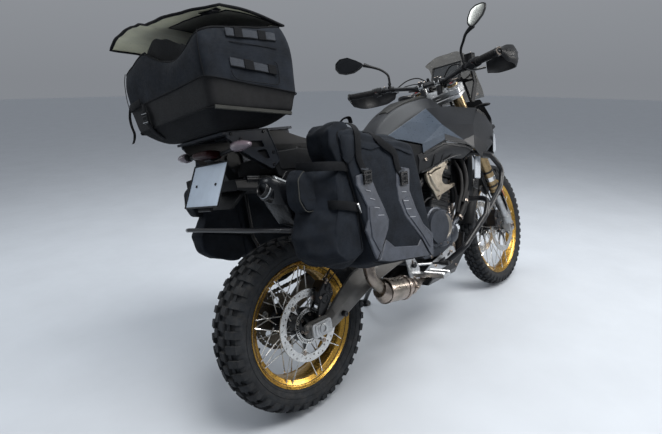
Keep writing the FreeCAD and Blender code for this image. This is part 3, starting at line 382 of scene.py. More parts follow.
def dense(pts, r, seg, k):
    """Rounded closed loop with k extra points on every straight run."""
    lp = round_loop(pts, r, seg)
    out, n = [], len(lp)
    for i, p in enumerate(lp):
        out.append(p)
        if i % (seg + 1) == seg:
            q = lp[(i + 1) % n]
            out += [p.lerp(q, j / (k + 1)) for j in range(1, k + 1)]
    return out


# ---------------------------------------------------------------- materials
MATS = {}
DUST = (0.30, 0.27, 0.23)


def mat(name, col, rough=0.5, metal=0.0, var=0.18, vscale=45.0, grain=0.12, gscale=1400.0, depth=0.0004,
        rvar=0.12, dust=0.0, coat=0.0, coat_rough=0.12, weave=None, tint=None, trans=0.0, ior=1.5,
        sheen=0.0, spec=None, scratch=0.0, wear=0.0, wear_col=(0.35, 0.35, 0.35), lines=None, bump=0.6):
    m = bpy.data.materials.new(name)
    m.use_nodes = True
    nt = m.node_tree
    nt.nodes.clear()
    N, L = nt.nodes.new, nt.links.new
    out = N('ShaderNodeOutputMaterial')
    b = N('ShaderNodeBsdfPrincipled')
    L(b.outputs[0], out.inputs[0])
    tc = N('ShaderNodeTexCoord')

    def tex(scale, detail=3.0, rough_=0.55):
        t = N('ShaderNodeTexNoise')
        t.inputs['Scale'].default_value = scale
        t.inputs['Detail'].default_value = detail
        t.inputs['Roughness'].default_value = rough_
        L(tc.outputs['Object'], t.inputs['Vector'])
        return t

    def math_(op, a, c=None, clamp=False):
        t = N('ShaderNodeMath')
        t.operation = op
        t.use_clamp = clamp
        for i, q in enumerate((a, c)):
            if q is None:
                continue
            if isinstance(q, (int, float)):
                t.inputs[i].default_value = q
            else:
                L(q, t.inputs[i])
        return t.outputs[0]

    def remap(s, a, c, lo, hi):
        t = N('ShaderNodeMapRange')
        t.inputs['From Min'].default_value = a
        t.inputs['From Max'].default_value = c
        t.inputs['To Min'].default_value = lo
        t.inputs['To Max'].default_value = hi
        L(s, t.inputs['Value'])
        return t.outputs[0]

    def mix(f, a, c):
        t = N('ShaderNodeMix')
        t.data_type = 'RGBA'
        if isinstance(f, (int, float)):
            t.inputs[0].default_value = f
        else:
            L(f, t.inputs[0])
        for i, q in ((6, a), (7, c)):
            if isinstance(q, tuple):
                t.inputs[i].default_value = (*q, 1)
            else:
                L(q, t.inputs[i])
        return t.outputs[2]

    big = tex(vscale, 5.0)
    fine = tex(gscale, 2.0)
    dark = tuple(c * (1 - var) for c in col)
    lite = tuple(min(1, c * (1 + var)) for c in (tint or col))
    c = mix(remap(big.outputs['Fac'], 0.32, 0.68, 0, 1), dark, lite)
    r = remap(fine.outputs['Fac'], 0.3, 0.7, rough - rvar / 2, rough + rvar / 2)
    mid = tex(vscale * 5.3, 3.0)
    r = math_('ADD', r, remap(mid.outputs['Fac'], 0.35, 0.65, -rvar * 0.6, rvar * 0.6), True)
    h = math_('MULTIPLY', fine.outputs['Fac'], grain)
    if weave:
        per, amt = weave
        ws = []
        for ax in ('X', 'Y', 'Z'):
            w = N('ShaderNodeTexWave')
            w.bands_direction = ax
            w.inputs['Scale'].default_value = 0.314 / (per * 0.001)
            w.inputs['Distortion'].default_value = 0.6
            w.inputs['Detail'].default_value = 1.0
            w.inputs['Detail Scale'].default_value = 0.4
            L(tc.outputs['Object'], w.inputs['Vector'])
            ws.append(w.outputs['Fac'])
        s = math_('MULTIPLY', math_('ADD', math_('ADD', ws[0], ws[1]), ws[2]), amt / 3)
        h = math_('ADD', h, s)
        c = mix(math_('MULTIPLY', s, 0.35, True), c, tuple(min(1, q * 1.9 + 0.004) for q in col))
    if lines:
        ax, per, amt = lines
        w = N('ShaderNodeTexWave')
        w.bands_direction = ax
        w.inputs['Scale'].default_value = 0.314 / (per * 0.001)
        L(tc.outputs['Object'], w.inputs['Vector'])
        h = math_('ADD', h, math_('MULTIPLY', w.outputs['Fac'], amt))
    if scratch:
        mp = N('ShaderNodeMapping')
        mp.inputs['Scale'].default_value = (1.0, 14.0, 9.0)
        L(tc.outputs['Object'], mp.inputs['Vector'])
        st = N('ShaderNodeTexNoise')
        st.inputs['Scale'].default_value = 130
        st.inputs['Detail'].default_value = 4
        L(mp.outputs[0], st.inputs['Vector'])
        k = remap(st.outputs['Fac'], 0.62, 0.70, 0, scratch)
        c = mix(k, c, tuple(min(1, q * 2.2 + 0.03) for q in col))
        r = math_('ADD', r, math_('MULTIPLY', k, 0.25), True)
    if wear:
        ge = N('ShaderNodeNewGeometry')
        k = remap(ge.outputs['Pointiness'], 0.505, 0.56, 0, wear)
        k = math_('MULTIPLY', k, remap(mid.outputs['Fac'], 0.4, 0.6, 0.2, 1), True)
        c = mix(k, c, wear_col)
    if dust:
        no = N('ShaderNodeSeparateXYZ')
        L(tc.outputs['Normal'], no.inputs[0])
        k = remap(no.outputs['Z'], -0.2, 0.9, 0.25, 1.0)
        k2 = remap(tex(vscale * 1.7, 6.0, 0.65).outputs['Fac'], 0.40, 0.66, 0.1, 1.0)
        k = math_('MULTIPLY', math_('MULTIPLY', k, k2), dust * 0.5, True)
        c = mix(k, c, DUST)
        r = math_('ADD', r, math_('MULTIPLY', k, 0.5), True)
    L(c, b.inputs['Base Color'])
    L(r, b.inputs['Roughness'])
    bp = N('ShaderNodeBump')
    bp.inputs['Strength'].default_value = bump
    bp.inputs['Distance'].default_value = depth
    L(h, bp.inputs['Height'])
    L(bp.outputs[0], b.inputs['Normal'])
    b.inputs['Metallic'].default_value = metal
    b.inputs['IOR'].default_value = ior
    if coat:
        b.inputs['Coat Weight'].default_value = coat
        b.inputs['Coat Roughness'].default_value = coat_rough
    if trans:
        b.inputs['Transmission Weight'].default_value = trans
    if sheen:
        b.inputs['Sheen Weight'].default_value = sheen
        b.inputs['Sheen Roughness'].default_value = 0.4
    if spec is not None:
        b.inputs['Specular IOR Level'].default_value = spec
    MATS[name] = m
    return m


BLACK_METAL = mat('m_black_metal', (0.0055, 0.0060, 0.0075), 0.34, 0.0, 0.3, coat=0.10, coat_rough=0.25, dust=0.006, grain=0.2, spec=0.30)
ENGINE_DARK = mat('m_engine_dark', (0.018, 0.019, 0.021), 0.50, 0.30, 0.3, 30, grain=0.8, gscale=1100, depth=0.0005, dust=0.10, spec=0.3)
ENGINE_GREY = mat('m_engine_grey', (0.050, 0.052, 0.056), 0.45, 0.5, 0.25, 30, grain=0.7, gscale=1100, depth=0.0004, dust=0.10)
COVER_GREY = mat('m_cover_grey', (0.034, 0.040, 0.052), 0.36, 0.6, 0.18, 28, grain=0.3, gscale=1500, coat=0.1, dust=0.06)
COVER_BRONZE = mat('m_cover_bronze', (0.20, 0.185, 0.165), 0.38, 0.75, 0.15, 28, grain=0.25, dust=0.05)
STEEL = mat('m_exhaust_steel', (0.26, 0.235, 0.20), 0.30, 1.0, 0.3, 12, tint=(0.30, 0.25, 0.22), grain=0.2, scratch=0.3, dust=0.08)
SILENCER = mat('m_silencer', (0.0060, 0.0072, 0.0095), 0.34, 0.25, 0.25, 20, grain=0.3, coat=0.15, coat_rough=0.22, dust=0.0, spec=0.30)
STRIP = mat('m_silencer_strip', (0.34, 0.36, 0.38), 0.35, 0.6, 0.15, 25, grain=0.3, dust=0.05)
ARM_GREY = mat('m_swingarm', (0.115, 0.112, 0.107), 0.40, 0.35, 0.2, 25, grain=0.5, coat=0.15, coat_rough=0.3, dust=0.08)
CHAIN = mat('m_chain', (0.09, 0.08, 0.065), 0.42, 0.95, 0.4, 160, grain=0.5, dust=0.08)
CHAIN_DARK = mat('m_chain_dark', (0.05, 0.045, 0.04), 0.5, 0.8, 0.4, 160, grain=0.5, dust=0.1)
PLASTIC = mat('m_black_plastic', (0.0050, 0.0056, 0.0068), 0.46, 0.0, 0.25, 40, grain=0.8, gscale=1700, depth=0.0002, dust=0.005, spec=0.20)
PLASTIC_GLOSS = mat('m_gloss_plastic', (0.006, 0.0065, 0.0075), 0.28, 0.0, 0.25, 40, grain=0.1, coat=0.25, coat_rough=0.10, dust=0.03, spec=0.3)
ALLOY = mat('m_bare_alloy', (0.50, 0.51, 0.52), 0.34, 1.0, 0.14, 35, grain=0.35, scratch=0.35, dust=0.1)
CAST_ALLOY = mat('m_cast_alloy', (0.40, 0.41, 0.42), 0.42, 0.9, 0.16, 35, grain=0.9, gscale=1000, depth=0.0004, dust=0.16)
# lighter blue-grey copy of the black tank paint: a painted sky reflection, used on the side panels' rear facets
TANK_PAINTED_SKY_REFLECTION = mat('m_tank_painted_sky_reflection', (0.032, 0.043, 0.060), 0.30, 0.0, 0.12, 18, grain=0.02, gscale=300, rvar=0.04, bump=0.0, coat=0.20, coat_rough=0.22, dust=0.0, spec=0.45)
TANK_DARK = mat('m_tank_dark', (0.0085, 0.0095, 0.0115), 0.36, 0.0, 0.12, 18, grain=0.02, gscale=300, rvar=0.04, bump=0.0, coat=0.06, coat_rough=0.25, dust=0.0, spec=0.22)
TANK_TOP = mat('m_tank_top', (0.0100, 0.0102, 0.0090), 0.44, 0.0, 0.15, 24, grain=0.05, gscale=600, rvar=0.05, bump=0.05, coat=0.0, dust=0.0, spec=0.16)
TANK_SOFT = mat('m_tank_panel', (0.0110, 0.0118, 0.0135), 0.40, 0.0, 0.2, 30, grain=0.3, coat=0.05, coat_rough=0.25, dust=0.0, spec=0.25)
SEAT = mat('m_seat_cover', (0.0080, 0.0082, 0.0090), 0.66, 0.0, 0.25, 40, grain=1.0, gscale=900, depth=0.0005, sheen=0.03, dust=0.03, spec=0.25)
# white number plate darkened and tinted blue: painted shade
PLATE_PAINTED_SHADE = mat('m_white_plate_painted_shade', (0.42, 0.50, 0.60), 0.38, 0.0, 0.05, 30, grain=0.15, coat=0.2, dust=0.03)
RACK = mat('m_rack_grey', (0.016, 0.019, 0.025), 0.45, 0.3, 0.2, 40, grain=0.5, scratch=0.05, dust=0.01, spec=0.25)
FABRIC = mat('m_bag_fabric', (0.0070, 0.0092, 0.0132), 0.82, 0.0, 0.35, 22, grain=0.4, gscale=1500, depth=0.0006, weave=(1.7, 0.6), sheen=0.015, dust=0.015, spec=0.10)
FABRIC_LITE = mat('m_bag_webbing', (0.022, 0.026, 0.033), 0.75, 0.0, 0.2, 60, grain=0.3, depth=0.0008, weave=(1.3, 1.0), sheen=0.05, dust=0.04, spec=0.2)
STRAP = mat('m_strap', (0.0040, 0.0046, 0.0058), 0.78, 0.0, 0.25, 60, grain=0.3, depth=0.0007, weave=(1.1, 0.7), sheen=0.01, dust=0.004, spec=0.10)
ARMOUR = mat('m_bag_armour', (0.038, 0.044, 0.058), 0.50, 0.0, 0.25, 40, grain=0.6, gscale=1200, depth=0.0003, dust=0.03, spec=0.35)
BOOT = mat('m_bag_boot', (0.0085, 0.0088, 0.0098), 0.60, 0.0, 0.25, 40, grain=0.7, gscale=1200, depth=0.0004, dust=0.005, spec=0.16)
PIPING = mat('m_bag_piping', (0.036, 0.037, 0.034), 0.6, 0.0, 0.15, 60, grain=0.4, dust=0.04, spec=0.2)
THREAD = mat('m_stitching', (0.30, 0.31, 0.34), 0.6, 0.0, 0.1, 90, grain=0.5, weave=(0.8, 0.8))
LINING = mat('m_lid_lining', (0.52, 0.51, 0.37), 0.68, 0.0, 0.16, 14, grain=0.3, gscale=1300, depth=0.0007, weave=(1.5, 0.9), sheen=0.2)
MESH_FABRIC = mat('m_mesh_pocket', (0.10, 0.10, 0.085), 0.8, 0.0, 0.25, 60, grain=0.4, depth=0.001, weave=(2.4, 1.8))
RUBBER = mat('m_tyre_rubber', (0.0100, 0.0120, 0.0150), 0.74, 0.0, 0.3, 26, grain=0.8, gscale=1300, depth=0.0005, dust=0.16, spec=0.25)
BLACK_RUBBER = mat('m_black_rubber', (0.0070, 0.0070, 0.0078), 0.55, 0.0, 0.25, 60, grain=0.6, gscale=1300, depth=0.0003, dust=0.03, spec=0.25)
GRIP = mat('m_grip_rubber', (0.0070, 0.0070, 0.0078), 0.68, 0.0, 0.25, 60, grain=0.5, depth=0.0012, lines=('X', 3.0, 1.2), dust=0.03, spec=0.2)
GOLD_RIM = mat('m_rim_gold', (0.46, 0.27, 0.055), 0.30, 1.0, 0.10, 20, grain=0.05, coat=0.1, dust=0.0, bump=0.2)
GOLD_FORK = mat('m_fork_gold', (0.30, 0.22, 0.12), 0.32, 0.9, 0.12, 30, grain=0.12, coat=0.1, dust=0.04)
DISC = mat('m_disc_steel', (0.55, 0.55, 0.54), 0.28, 1.0, 0.12, 30, grain=0.3, gscale=900, scratch=0.5, dust=0.04)
SPOKE = mat('m_spoke', (0.55, 0.55, 0.54), 0.3, 1.0, 0.15, 60, grain=0.2, dust=0.1)
CHROME = mat('m_chrome', (0.70, 0.70, 0.69), 0.12, 1.0, 0.06, 60, grain=0.1)
MIRROR = mat('m_mirror_glass', (0.46, 0.47, 0.44), 0.20, 0.9, 0.03, 30, grain=0.02, rvar=0.03)
LENS = mat('m_lens_clear', (0.13, 0.105, 0.125), 0.22, 0.0, 0.1, 60, grain=0.2, coat=0.5, ior=1.49, lines=('Z', 4.0, 1.5), depth=0.0008)
LENS_RED = mat('m_lens_red', (0.016, 0.0016, 0.0020), 0.40, 0.0, 0.2, 60, grain=0.2, coat=0.0, lines=('Y', 5.0, 1.5), depth=0.0008, spec=0.12)
LENS_LAMP = mat('m_lamp_lens', (0.75, 0.78, 0.80), 0.08, 0.0, 0.1, 60, grain=0.1, coat=0.8, trans=0.6, ior=1.49)
ORANGE = mat('m_reflector', (0.40, 0.10, 0.015), 0.2, 0.0, 0.1, 60, grain=0.2, coat=0.6, lines=('Z', 3.0, 1.0), depth=0.0006)
SCREEN = mat('m_screen_smoke', (0.50, 0.48, 0.44), 0.06, 0.0, 0.05, 20, grain=0.05, trans=0.97, ior=1.06, coat=0.3, coat_rough=0.03, dust=0.0, spec=0.5, bump=0.05)
# near-black mirror glass, used only on the left mirror: a painted dark reflection
MIRROR_PAINTED_DARK_REFLECTION = mat('m_mirror_painted_dark_reflection', (0.030, 0.032, 0.036), 0.10, 0.9, 0.1, 30, grain=0.02, rvar=0.03)
FORK_RED = mat('m_fork_red', (0.16, 0.012, 0.016), 0.30, 0.8, 0.1, 30, grain=0.1)
DISPLAY = mat('m_display', (0.010, 0.012, 0.014), 0.16, 0.0, 0.2, 60, grain=0.1, coat=1.0, coat_rough=0.03)
# pale blue-white: the accent plate toward the front of each shroud, and on the radiator side panel a painted reflection
DECAL_AND_PAINTED_REFLECTION = mat('m_decal_and_painted_reflection_white', (0.40, 0.43, 0.47), 0.32, 0.0, 0.08, 30, grain=0.1, coat=0.4, coat_rough=0.1, dust=0.03)
ACCENT_BLUE = mat('m_accent_blue', (0.018, 0.06, 0.26), 0.28, 0.0, 0.12, 30, grain=0.1, coat=0.9, coat_rough=0.05, dust=0.05)
BEIGE = mat('m_cast_beige', (0.30, 0.265, 0.215), 0.36, 0.92, 0.2, 40, grain=0.5, gscale=1000, dust=0.06)
FIN = mat('m_radiator_fins', (0.06, 0.06, 0.062), 0.5, 0.7, 0.2, 60, grain=0.3, depth=0.0012, lines=('Z', 2.4, 2.0), dust=0.2)

NODE_MAT = {
    'frame': BLACK_METAL, 'engine': ENGINE_DARK, 'engine_covers': COVER_GREY, 'radiator': PLASTIC, 'exhaust_pipe': STEEL,
    'silencer': SILENCER, 'swingarm': ARM_GREY, 'shock_absorber': CAST_ALLOY, 'rear_caliper': BLACK_METAL, 'chain': CHAIN,
    'chain_guard': PLASTIC, 'rear_axle': CAST_ALLOY, 'fuel_tank': TANK_DARK, 'fuel_cap': CAST_ALLOY, 'side_fairings': TANK_PAINTED_SKY_REFLECTION,
    'front_fairing': PLASTIC, 'headlight': LENS_LAMP, 'windscreen': SCREEN, 'instrument_display': PLASTIC, 'seat': SEAT,
    'tail_cover': PLASTIC, 'signal_lamps': PLASTIC, 'number_plate': PLATE_PAINTED_SHADE, 'luggage_rack': RACK, 'pannier_rack': BLACK_METAL,
    'pannier_right': FABRIC, 'pannier_left': FABRIC, 'tail_bag': FABRIC, 'crash_bars': BLACK_METAL, 'skid_plate': ALLOY,
    'footpegs': ALLOY, 'stand_bracket': BLACK_METAL, 'rear_tyre': RUBBER, 'rear_rim': GOLD_RIM, 'rear_hub': SPOKE,
    'rear_disc': DISC, 'rear_sprocket': CHAIN, 'fork_upper_tubes': GOLD_FORK, 'fork_lower_legs': CAST_ALLOY,
    'triple_clamps': BLACK_METAL, 'handlebar': BLACK_METAL, 'hand_controls': PLASTIC, 'hand_guards': PLASTIC,
    'mirrors': PLASTIC, 'front_fender': PLASTIC, 'front_calipers': BLACK_METAL, 'front_axle': ALLOY, 'front_tyre': RUBBER,
    'front_rim': GOLD_RIM, 'front_hub': SPOKE, 'front_discs': DISC, 'side_stand': BLACK_METAL, 'tail_bag_lid': FABRIC,
}


def paint(node, mats, choose=None):
    """Materials of a CAD node; choose(face centre in bike mm, normal) gives the number."""
    o = NODES[node]
    o.data.materials.clear()
    for q in mats:
        o.data.materials.append(q)
    inv = (MF if o.get('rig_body') in ('fork', 'front_wheel') else MR).inverted()
    rot = inv.to_3x3()
    for p in o.data.polygons:
        p.material_index = choose((inv @ p.center) * 1000, rot @ p.normal) if choose else 0
    return o


for _n, _m in NODE_MAT.items():
    paint(_n, [_m])
    if not NODES[_n].data.polygons[0].use_smooth:
        NODES[_n].data.shade_smooth()
        NODES[_n].data.set_sharp_from_angle(angle=math.radians(30))


def from_axis(p, c):
    return math.hypot(p.x - c.x, p.z - c.z)


paint('rear_hub', [BLACK_METAL, SPOKE], lambda p, n: 1 if from_axis(p, AX) > 64 else 0)
paint('front_hub', [BLACK_METAL, SPOKE], lambda p, n: 1 if from_axis(p, FX) > 46 else 0)
paint('rear_disc', [BLACK_METAL, DISC], lambda p, n: 1 if from_axis(p, AX) > 80 else 0)
paint('front_discs', [BLACK_METAL, DISC], lambda p, n: 1 if from_axis(p, FX) > 96 else 0)
paint('fork_upper_tubes', [GOLD_FORK, BLACK_METAL, CHROME], lambda p, n: 0 if (p - sp(0, 55, 0)).dot(S_DIR) < 1286 else 1)
paint('skid_plate', [BLACK_METAL, ALLOY], lambda p, n: 1 if abs(p.y) > 157 else 0)
paint('instrument_display', [PLASTIC, DISPLAY], lambda p, n: 1 if (n.x < -0.5 and p.x < 1312 and abs(p.y) < 80 and p.z > 1196) else 0)
paint('headlight', [LENS_LAMP, PLASTIC], lambda p, n: 0 if n.x > 0.3 else 1)
paint('footpegs', [ALLOY, BLACK_METAL], lambda p, n: 1 if p.x > 640 else 0)
paint('triple_clamps', [BLACK_METAL, ALLOY], lambda p, n: 1 if (p - sp(0, 0, 0)).dot(S_DIR) > 1150 else 0)


# ---------------------------------------------------------------- tyres
def wheel_pt(c, rho, y, a):
    return Vector((c.x + rho * math.cos(a), y, c.z + rho * math.sin(a)))


def tyre(name, c, body, crown_c, crown_r, depth, side, pitches, cols, lug_to, bead, slot_):
    """Carcass turned from its section, with separate raised knobs."""
    g = G()
    half = []
    for i in range(9):
        th = math.asin(side[0][1] / crown_r) * i / 8
        half.append((crown_c + crown_r * math.cos(th), crown_r * math.sin(th)))
    half += side[1:]
    prof = [(r, -y) for r, y in reversed(half)] + half[1:]
    inner = [(r - 6 if r > bead + 12 else r, y * 0.9 if abs(y) > 20 else y) for r, y in reversed(prof)]
    prof = prof + inner
    g.lathe(prof, c, (0, 1, 0), 168, 0)
    # the side curve that the shoulder lugs follow: (rho, y, outward normal)
    def crown(y, h):
        th = math.asin(min(0.999, y / crown_r))
        return crown_c + (crown_r + h) * math.cos(th), (crown_r + h) * math.sin(th)

    def knob(rows, a0, a1, sgn, skew=0.0, taper=0.9):
        """rows: (rho_low, y_low, rho_top, y_top) across the block."""
        top, low = [], []
        k = len(rows)
        am = (a0 + a1) / 2
        for i, (rl, yl, rt, yt) in enumerate(rows):
            sk = skew * (i / max(1, k - 1) - 0.5)
            tl = [wheel_pt(c, rl, sgn * yl, am + sk + (a - am) * 1.0) for a in (a0, (a0 * 2 + a1) / 3, (a0 + a1 * 2) / 3, a1)]
            tt = [wheel_pt(c, rt, sgn * yt, am + sk + (a - am) * taper) for a in (a0, (a0 * 2 + a1) / 3, (a0 + a1 * 2) / 3, a1)]
            low.append(tl)
            top.append(tt)
        n0 = g.add([p for q in low for p in q] + [p for q in top for p in q], [])
        f = []
        off = 4 * k
        for i in range(k - 1):
            for j in range(3):
                p = i * 4 + j
                f.append((n0 + p, n0 + p + 1, n0 + p + 5, n0 + p + 4))
                f.append((n0 + off + p, n0 + off + p + 4, n0 + off + p + 5, n0 + off + p + 1))
        edge = [(i * 4, (i + 1) * 4) for i in range(k - 1)] + [((k - 1) * 4 + j, (k - 1) * 4 + j + 1) for j in range(3)]
        edge += [((k - 1 - i) * 4 + 3, (k - 2 - i) * 4 + 3) for i in range(k - 1)] + [(3 - j, 2 - j) for j in range(3)]
        for p, q in edge:
            f.append((n0 + p, n0 + off + p, n0 + off + q, n0 + q))
        g.f += f
        g.m += [0] * len(f)

    step = 2 * math.pi / pitches
    for i in range(pitches):
        for sgn in (-1, 1):
            a = i * step + (step / 2 if sgn > 0 else 0)
            y0, y1, ln = cols[0]
            rows = []
            for t in (0, 0.5, 1):
                y = lerp(y0, y1, t)
                (rl, yl), (rt, yt) = crown(y, -2.5), crown(y, depth)
                rows.append((rl, yl, rt, lerp((y0 + y1) / 2, y, 0.93) if t != 0.5 else yt))
            knob(rows, a - step * ln / 2, a + step * ln / 2, sgn, 0.10 * step)
            y0, y1, ln = cols[1]
            a2 = a + step * 0.5
            rows = []
            for t in (0, 0.34, 0.68, 1):
                y = lerp(y0, y1, t)
                (rl, yl), (rt, yt) = crown(y, -2.5), crown(y, depth)
                rows.append((rl, yl, rt, yt + (0.6 if t == 0 else 0)))
            for rho, y, out in lug_to:
                rows.append((rho - 1, y - 2.5, rho, y + out))
            w = step * ln / 2 * (1.0 if i % 2 else 0.9)
            knob(rows, a2 - w, a2 + w, sgn, 0.0, 0.92)
            # small tie bar between neighbouring shoulder lugs
            (rl, yl), (rt, yt) = crown(y0 + 3, -2.5), crown(y0 + 3, depth * 0.45)
            (rl2, yl2), (rt2, yt2) = crown(y0 + 13, -2.5), crown(y0 + 13, depth * 0.45)
            knob([(rl, yl, rt, yt), (rl2, yl2, rt2, yt2)], a2 + w * 0.9, a2 + step - w * 0.9, sgn, 0, 1.0)
    # raised bands low on each sidewall
    for rho, y, w in bead_rings[name]:
        for sgn in (-1, 1):
            g.lathe([(rho - w, sgn * (y - 1.5)), (rho - w * 0.5, sgn * (y + 1.1)), (rho + w * 0.5, sgn * (y + 1.1)), (rho + w, sgn * (y - 1.5))], c, (0, 1, 0), 120, 0)
    return obj('tyre_' + slot_, g, body, [RUBBER], [name], sharp=38, bevel=1.1, segs=1)


bead_rings = {'rear_tyre': [(243, 65.5, 2.2), (262, 75.0, 1.6)], 'front_tyre': [(292, 34.5, 1.8), (302, 40.5, 1.4)]}
tyre('rear_tyre', AX, 'rear_wheel', 200.4, 113.4, 12.2,
     [(0, 60), (301, 65), (295, 70.5), (285, 74.5), (272, 76), (258, 73.5), (246, 67), (236, 60), (228, 57), (219, 54)],
     40, [(3.5, 25.5, 0.64), (32.0, 62.5, 0.60)], [(306, 67.0, 5.5), (297, 72.0, 4.5), (285, 75.0, 2.6)], 219, 'rear')
tyre('front_tyre', FX, 'front_wheel', 279.5, 60.0, 10.5,
     [(0, 36), (323, 40.0), (318, 44.5), (310, 46.5), (302, 45), (294, 40), (288, 34), (283, 29), (276, 28), (269, 26)],
     50, [(2.8, 16.5, 0.62), (21.0, 37.5, 0.58)], [(327, 40.5, 5.0), (319, 44.0, 3.6), (311, 46.0, 2.0)], 269, 'front')


# ---------------------------------------------------------------- spoke nipples, valve, hub and disc trim
def nipples(c, n, rho_h, y_h, rho_r, y_r, sweep, body, name):
    g = G()
    for side in (-1, 1):
        for k in range(n):
            base = 360.0 * k / n + (180.0 / n if side > 0 else 0)
            for lead in (-1, 1):
                a1 = math.radians(base + lead * 5)
                b1 = math.radians(base + lead * sweep)
                a = wheel_pt(c, rho_h, side * y_h + 3.2 * lead, a1)
                b = wheel_pt(c, rho_r, side * y_r, b1)
                d = (a - b).normalized()
                g.cyl(b - d * 3, b + d * 13, 3.1, 8, 0, 0.5)
                g.cyl(a - d * 2, a + d * 5, 3.4, 8, 0, 0.8)
                g.cyl(b + d * 13, b + d * 22, 2.5, 8, 0, 0.3)
    return obj(name, g, body, [CHROME])


nipples(AX, 9, 56, 50, 212, 50, 36, 'rear_wheel', 'rear_nipples')
nipples(FX, 9, 39, 40, 264, 23, 32, 'front_wheel', 'front_nipples')

g = G()
for c, side, rho, body in ((AX, -1, 206, 'rear_wheel'),):
    p = wheel_pt(c, 203, 18, math.radians(200))
    q = wheel_pt(c, 165, 34, math.radians(200))
    g.cyl(p, q, 3.2, 10, 0, 0.4)
    g.cyl(q, q + (q - p).normalized() * 9, 4.0, 10, 0, 0.8)
obj('rear_valve', g, 'rear_wheel', [BLACK_RUBBER])
g = G()
p, q = wheel_pt(FX, 254, 6, math.radians(200)), wheel_pt(FX, 218, 12, math.radians(200))
g.cyl(p, q, 3.2, 10, 0, 0.4)
g.cyl(q, q + (q - p).normalized() * 9, 4.0, 10, 0, 0.8)
obj('front_valve', g, 'front_wheel', [BLACK_RUBBER])


def hub_trim(c, body, name, r_fl, ys, nb, y_disc, r_bolt, ring):
    """Turned hub barrel, bolts on the disc carrier and a slotted sensor ring."""
    g = G()
    for s in (-1, 1):
        g.lathe([(r_fl, s * (ys - 1)), (r_fl, s * (ys + 7)), (r_fl - 4, s * (ys + 8.5)), (r_fl - 16, s * (ys + 8.5)), (r_fl - 18, s * (ys + 5)), (r_fl - 26, s * (ys + 5)), (r_fl - 26, s * (ys - 1))], c, (0, 1, 0), 48, 0)
    for k in range(nb):
        a = 2 * math.pi * k / nb + 0.3
        for s, y in y_disc:
            g.bolt(wheel_pt(c, r_bolt, y, a), (0, s, 0), 6.0, 4.5, 1, 0)
    if ring:
        r0, r1, y0, y1, m = ring
        for k in range(m):
            a0 = 2 * math.pi * k / m
            a1 = a0 + 2 * math.pi / m * 0.52
            loops = []
            for y in (y0, y1):
                loops.append([wheel_pt(c, r, y, a) for r, a in ((r0, a0), (r1, a0), (r1, a1), (r0, a1))])
            g.rings(loops, 2)
        for r in (r0, r1):
            g.lathe([(r - 2, y0), (r + 2, y0), (r + 2, y1), (r - 2, y1)], c, (0, 1, 0), 72, 2)
    return obj(name, g, body, [BLACK_METAL, STEEL, DISC], bevel=0.5, segs=1)


hub_trim(AX, 'rear_wheel', 'rear_hub_trim', 60, 46, 6, [(-1, -84.5)], 40, (52, 64, -89.6, -87.2, 48))
hub_trim(FX, 'front_wheel', 'front_hub_trim', 42, 36, 6, [(-1, -64.5), (1, 64.5)], 49, (28, 42, -67.8, -65.6, 36))

# floating buttons between the discs' rings and carriers
g = G()
for k in range(6):
    a = math.radians(60.0 * k + 6.5)
    p = wheel_pt(AX, 101, -84.5, a)
    g.lathe([(8.5, 0.0), (8.5, 1.8), (6.8, 2.6), (4.4, 2.6), (4.0, 1.2), (0.1, 1.2), (0.1, 0)], p, (0, -1, 0), 16, 0)
obj('rear_disc_buttons', g, 'rear_wheel', [STEEL])
g = G()
for k in range(8):
    a = math.radians(45.0 * k + 6.5)
    for s in (-1, 1):
        p = wheel_pt(FX, 119, s * 64.5, a)
        g.lathe([(8.0, 0.0), (8.0, 1.8), (6.4, 2.6), (4.2, 2.6), (3.8, 1.2), (0.1, 1.2), (0.1, 0)], p, (0, s, 0), 16, 0)
obj('front_disc_buttons', g, 'front_wheel', [STEEL])

# ---------------------------------------------------------------- chain and sprocket teeth
FS = Vector((648.0, 0, 452.0))
CH_Y = 92.0


def belt_path(r1, r2):
    """Points, by length, round both sprockets at the chain's pitch line."""
    dx, dz = FS.x - 0, FS.z - REAR_R
    d = math.hypot(dx, dz)
    base = math.atan2(dz, dx)
    al = math.acos((r1 - r2) / d)
    seg = []
    a1, a2 = base + al, base + 2 * math.pi - al
    run = math.sqrt(d * d - (r1 - r2) ** 2)
    seg.append(('arc', Vector((0, 0, REAR_R)), r1, a1, a2))
    p1 = Vector((r1 * math.cos(a2), 0, REAR_R + r1 * math.sin(a2)))
    q1 = Vector((FS.x + r2 * math.cos(a2), 0, FS.z + r2 * math.sin(a2)))
    seg.append(('line', p1, q1))
    seg.append(('arc', Vector((FS.x, 0, FS.z)), r2, base - al, base + al))
    p2 = Vector((FS.x + r2 * math.cos(a1), 0, FS.z + r2 * math.sin(a1)))
    q2 = Vector((r1 * math.cos(a1), 0, REAR_R + r1 * math.sin(a1)))
    seg.append(('line', p2, q2))
    total = r1 * (a2 - a1) + run * 2 + r2 * 2 * al

    def at(s):
        s %= total
        for q in seg:
            ln = (q[2] - q[1]).length if q[0] == 'line' else q[2] * (q[4] - q[3])
            if s <= ln:
                if q[0] == 'line':
                    return q[1].lerp(q[2], s / ln)
                a = q[3] + s / q[2]
                return q[1] + Vector((q[2] * math.cos(a), 0, q[2] * math.sin(a)))
            s -= ln
        return seg[0][1] + Vector((r1 * math.cos(a1), 0, r1 * math.sin(a1)))
    return at, total


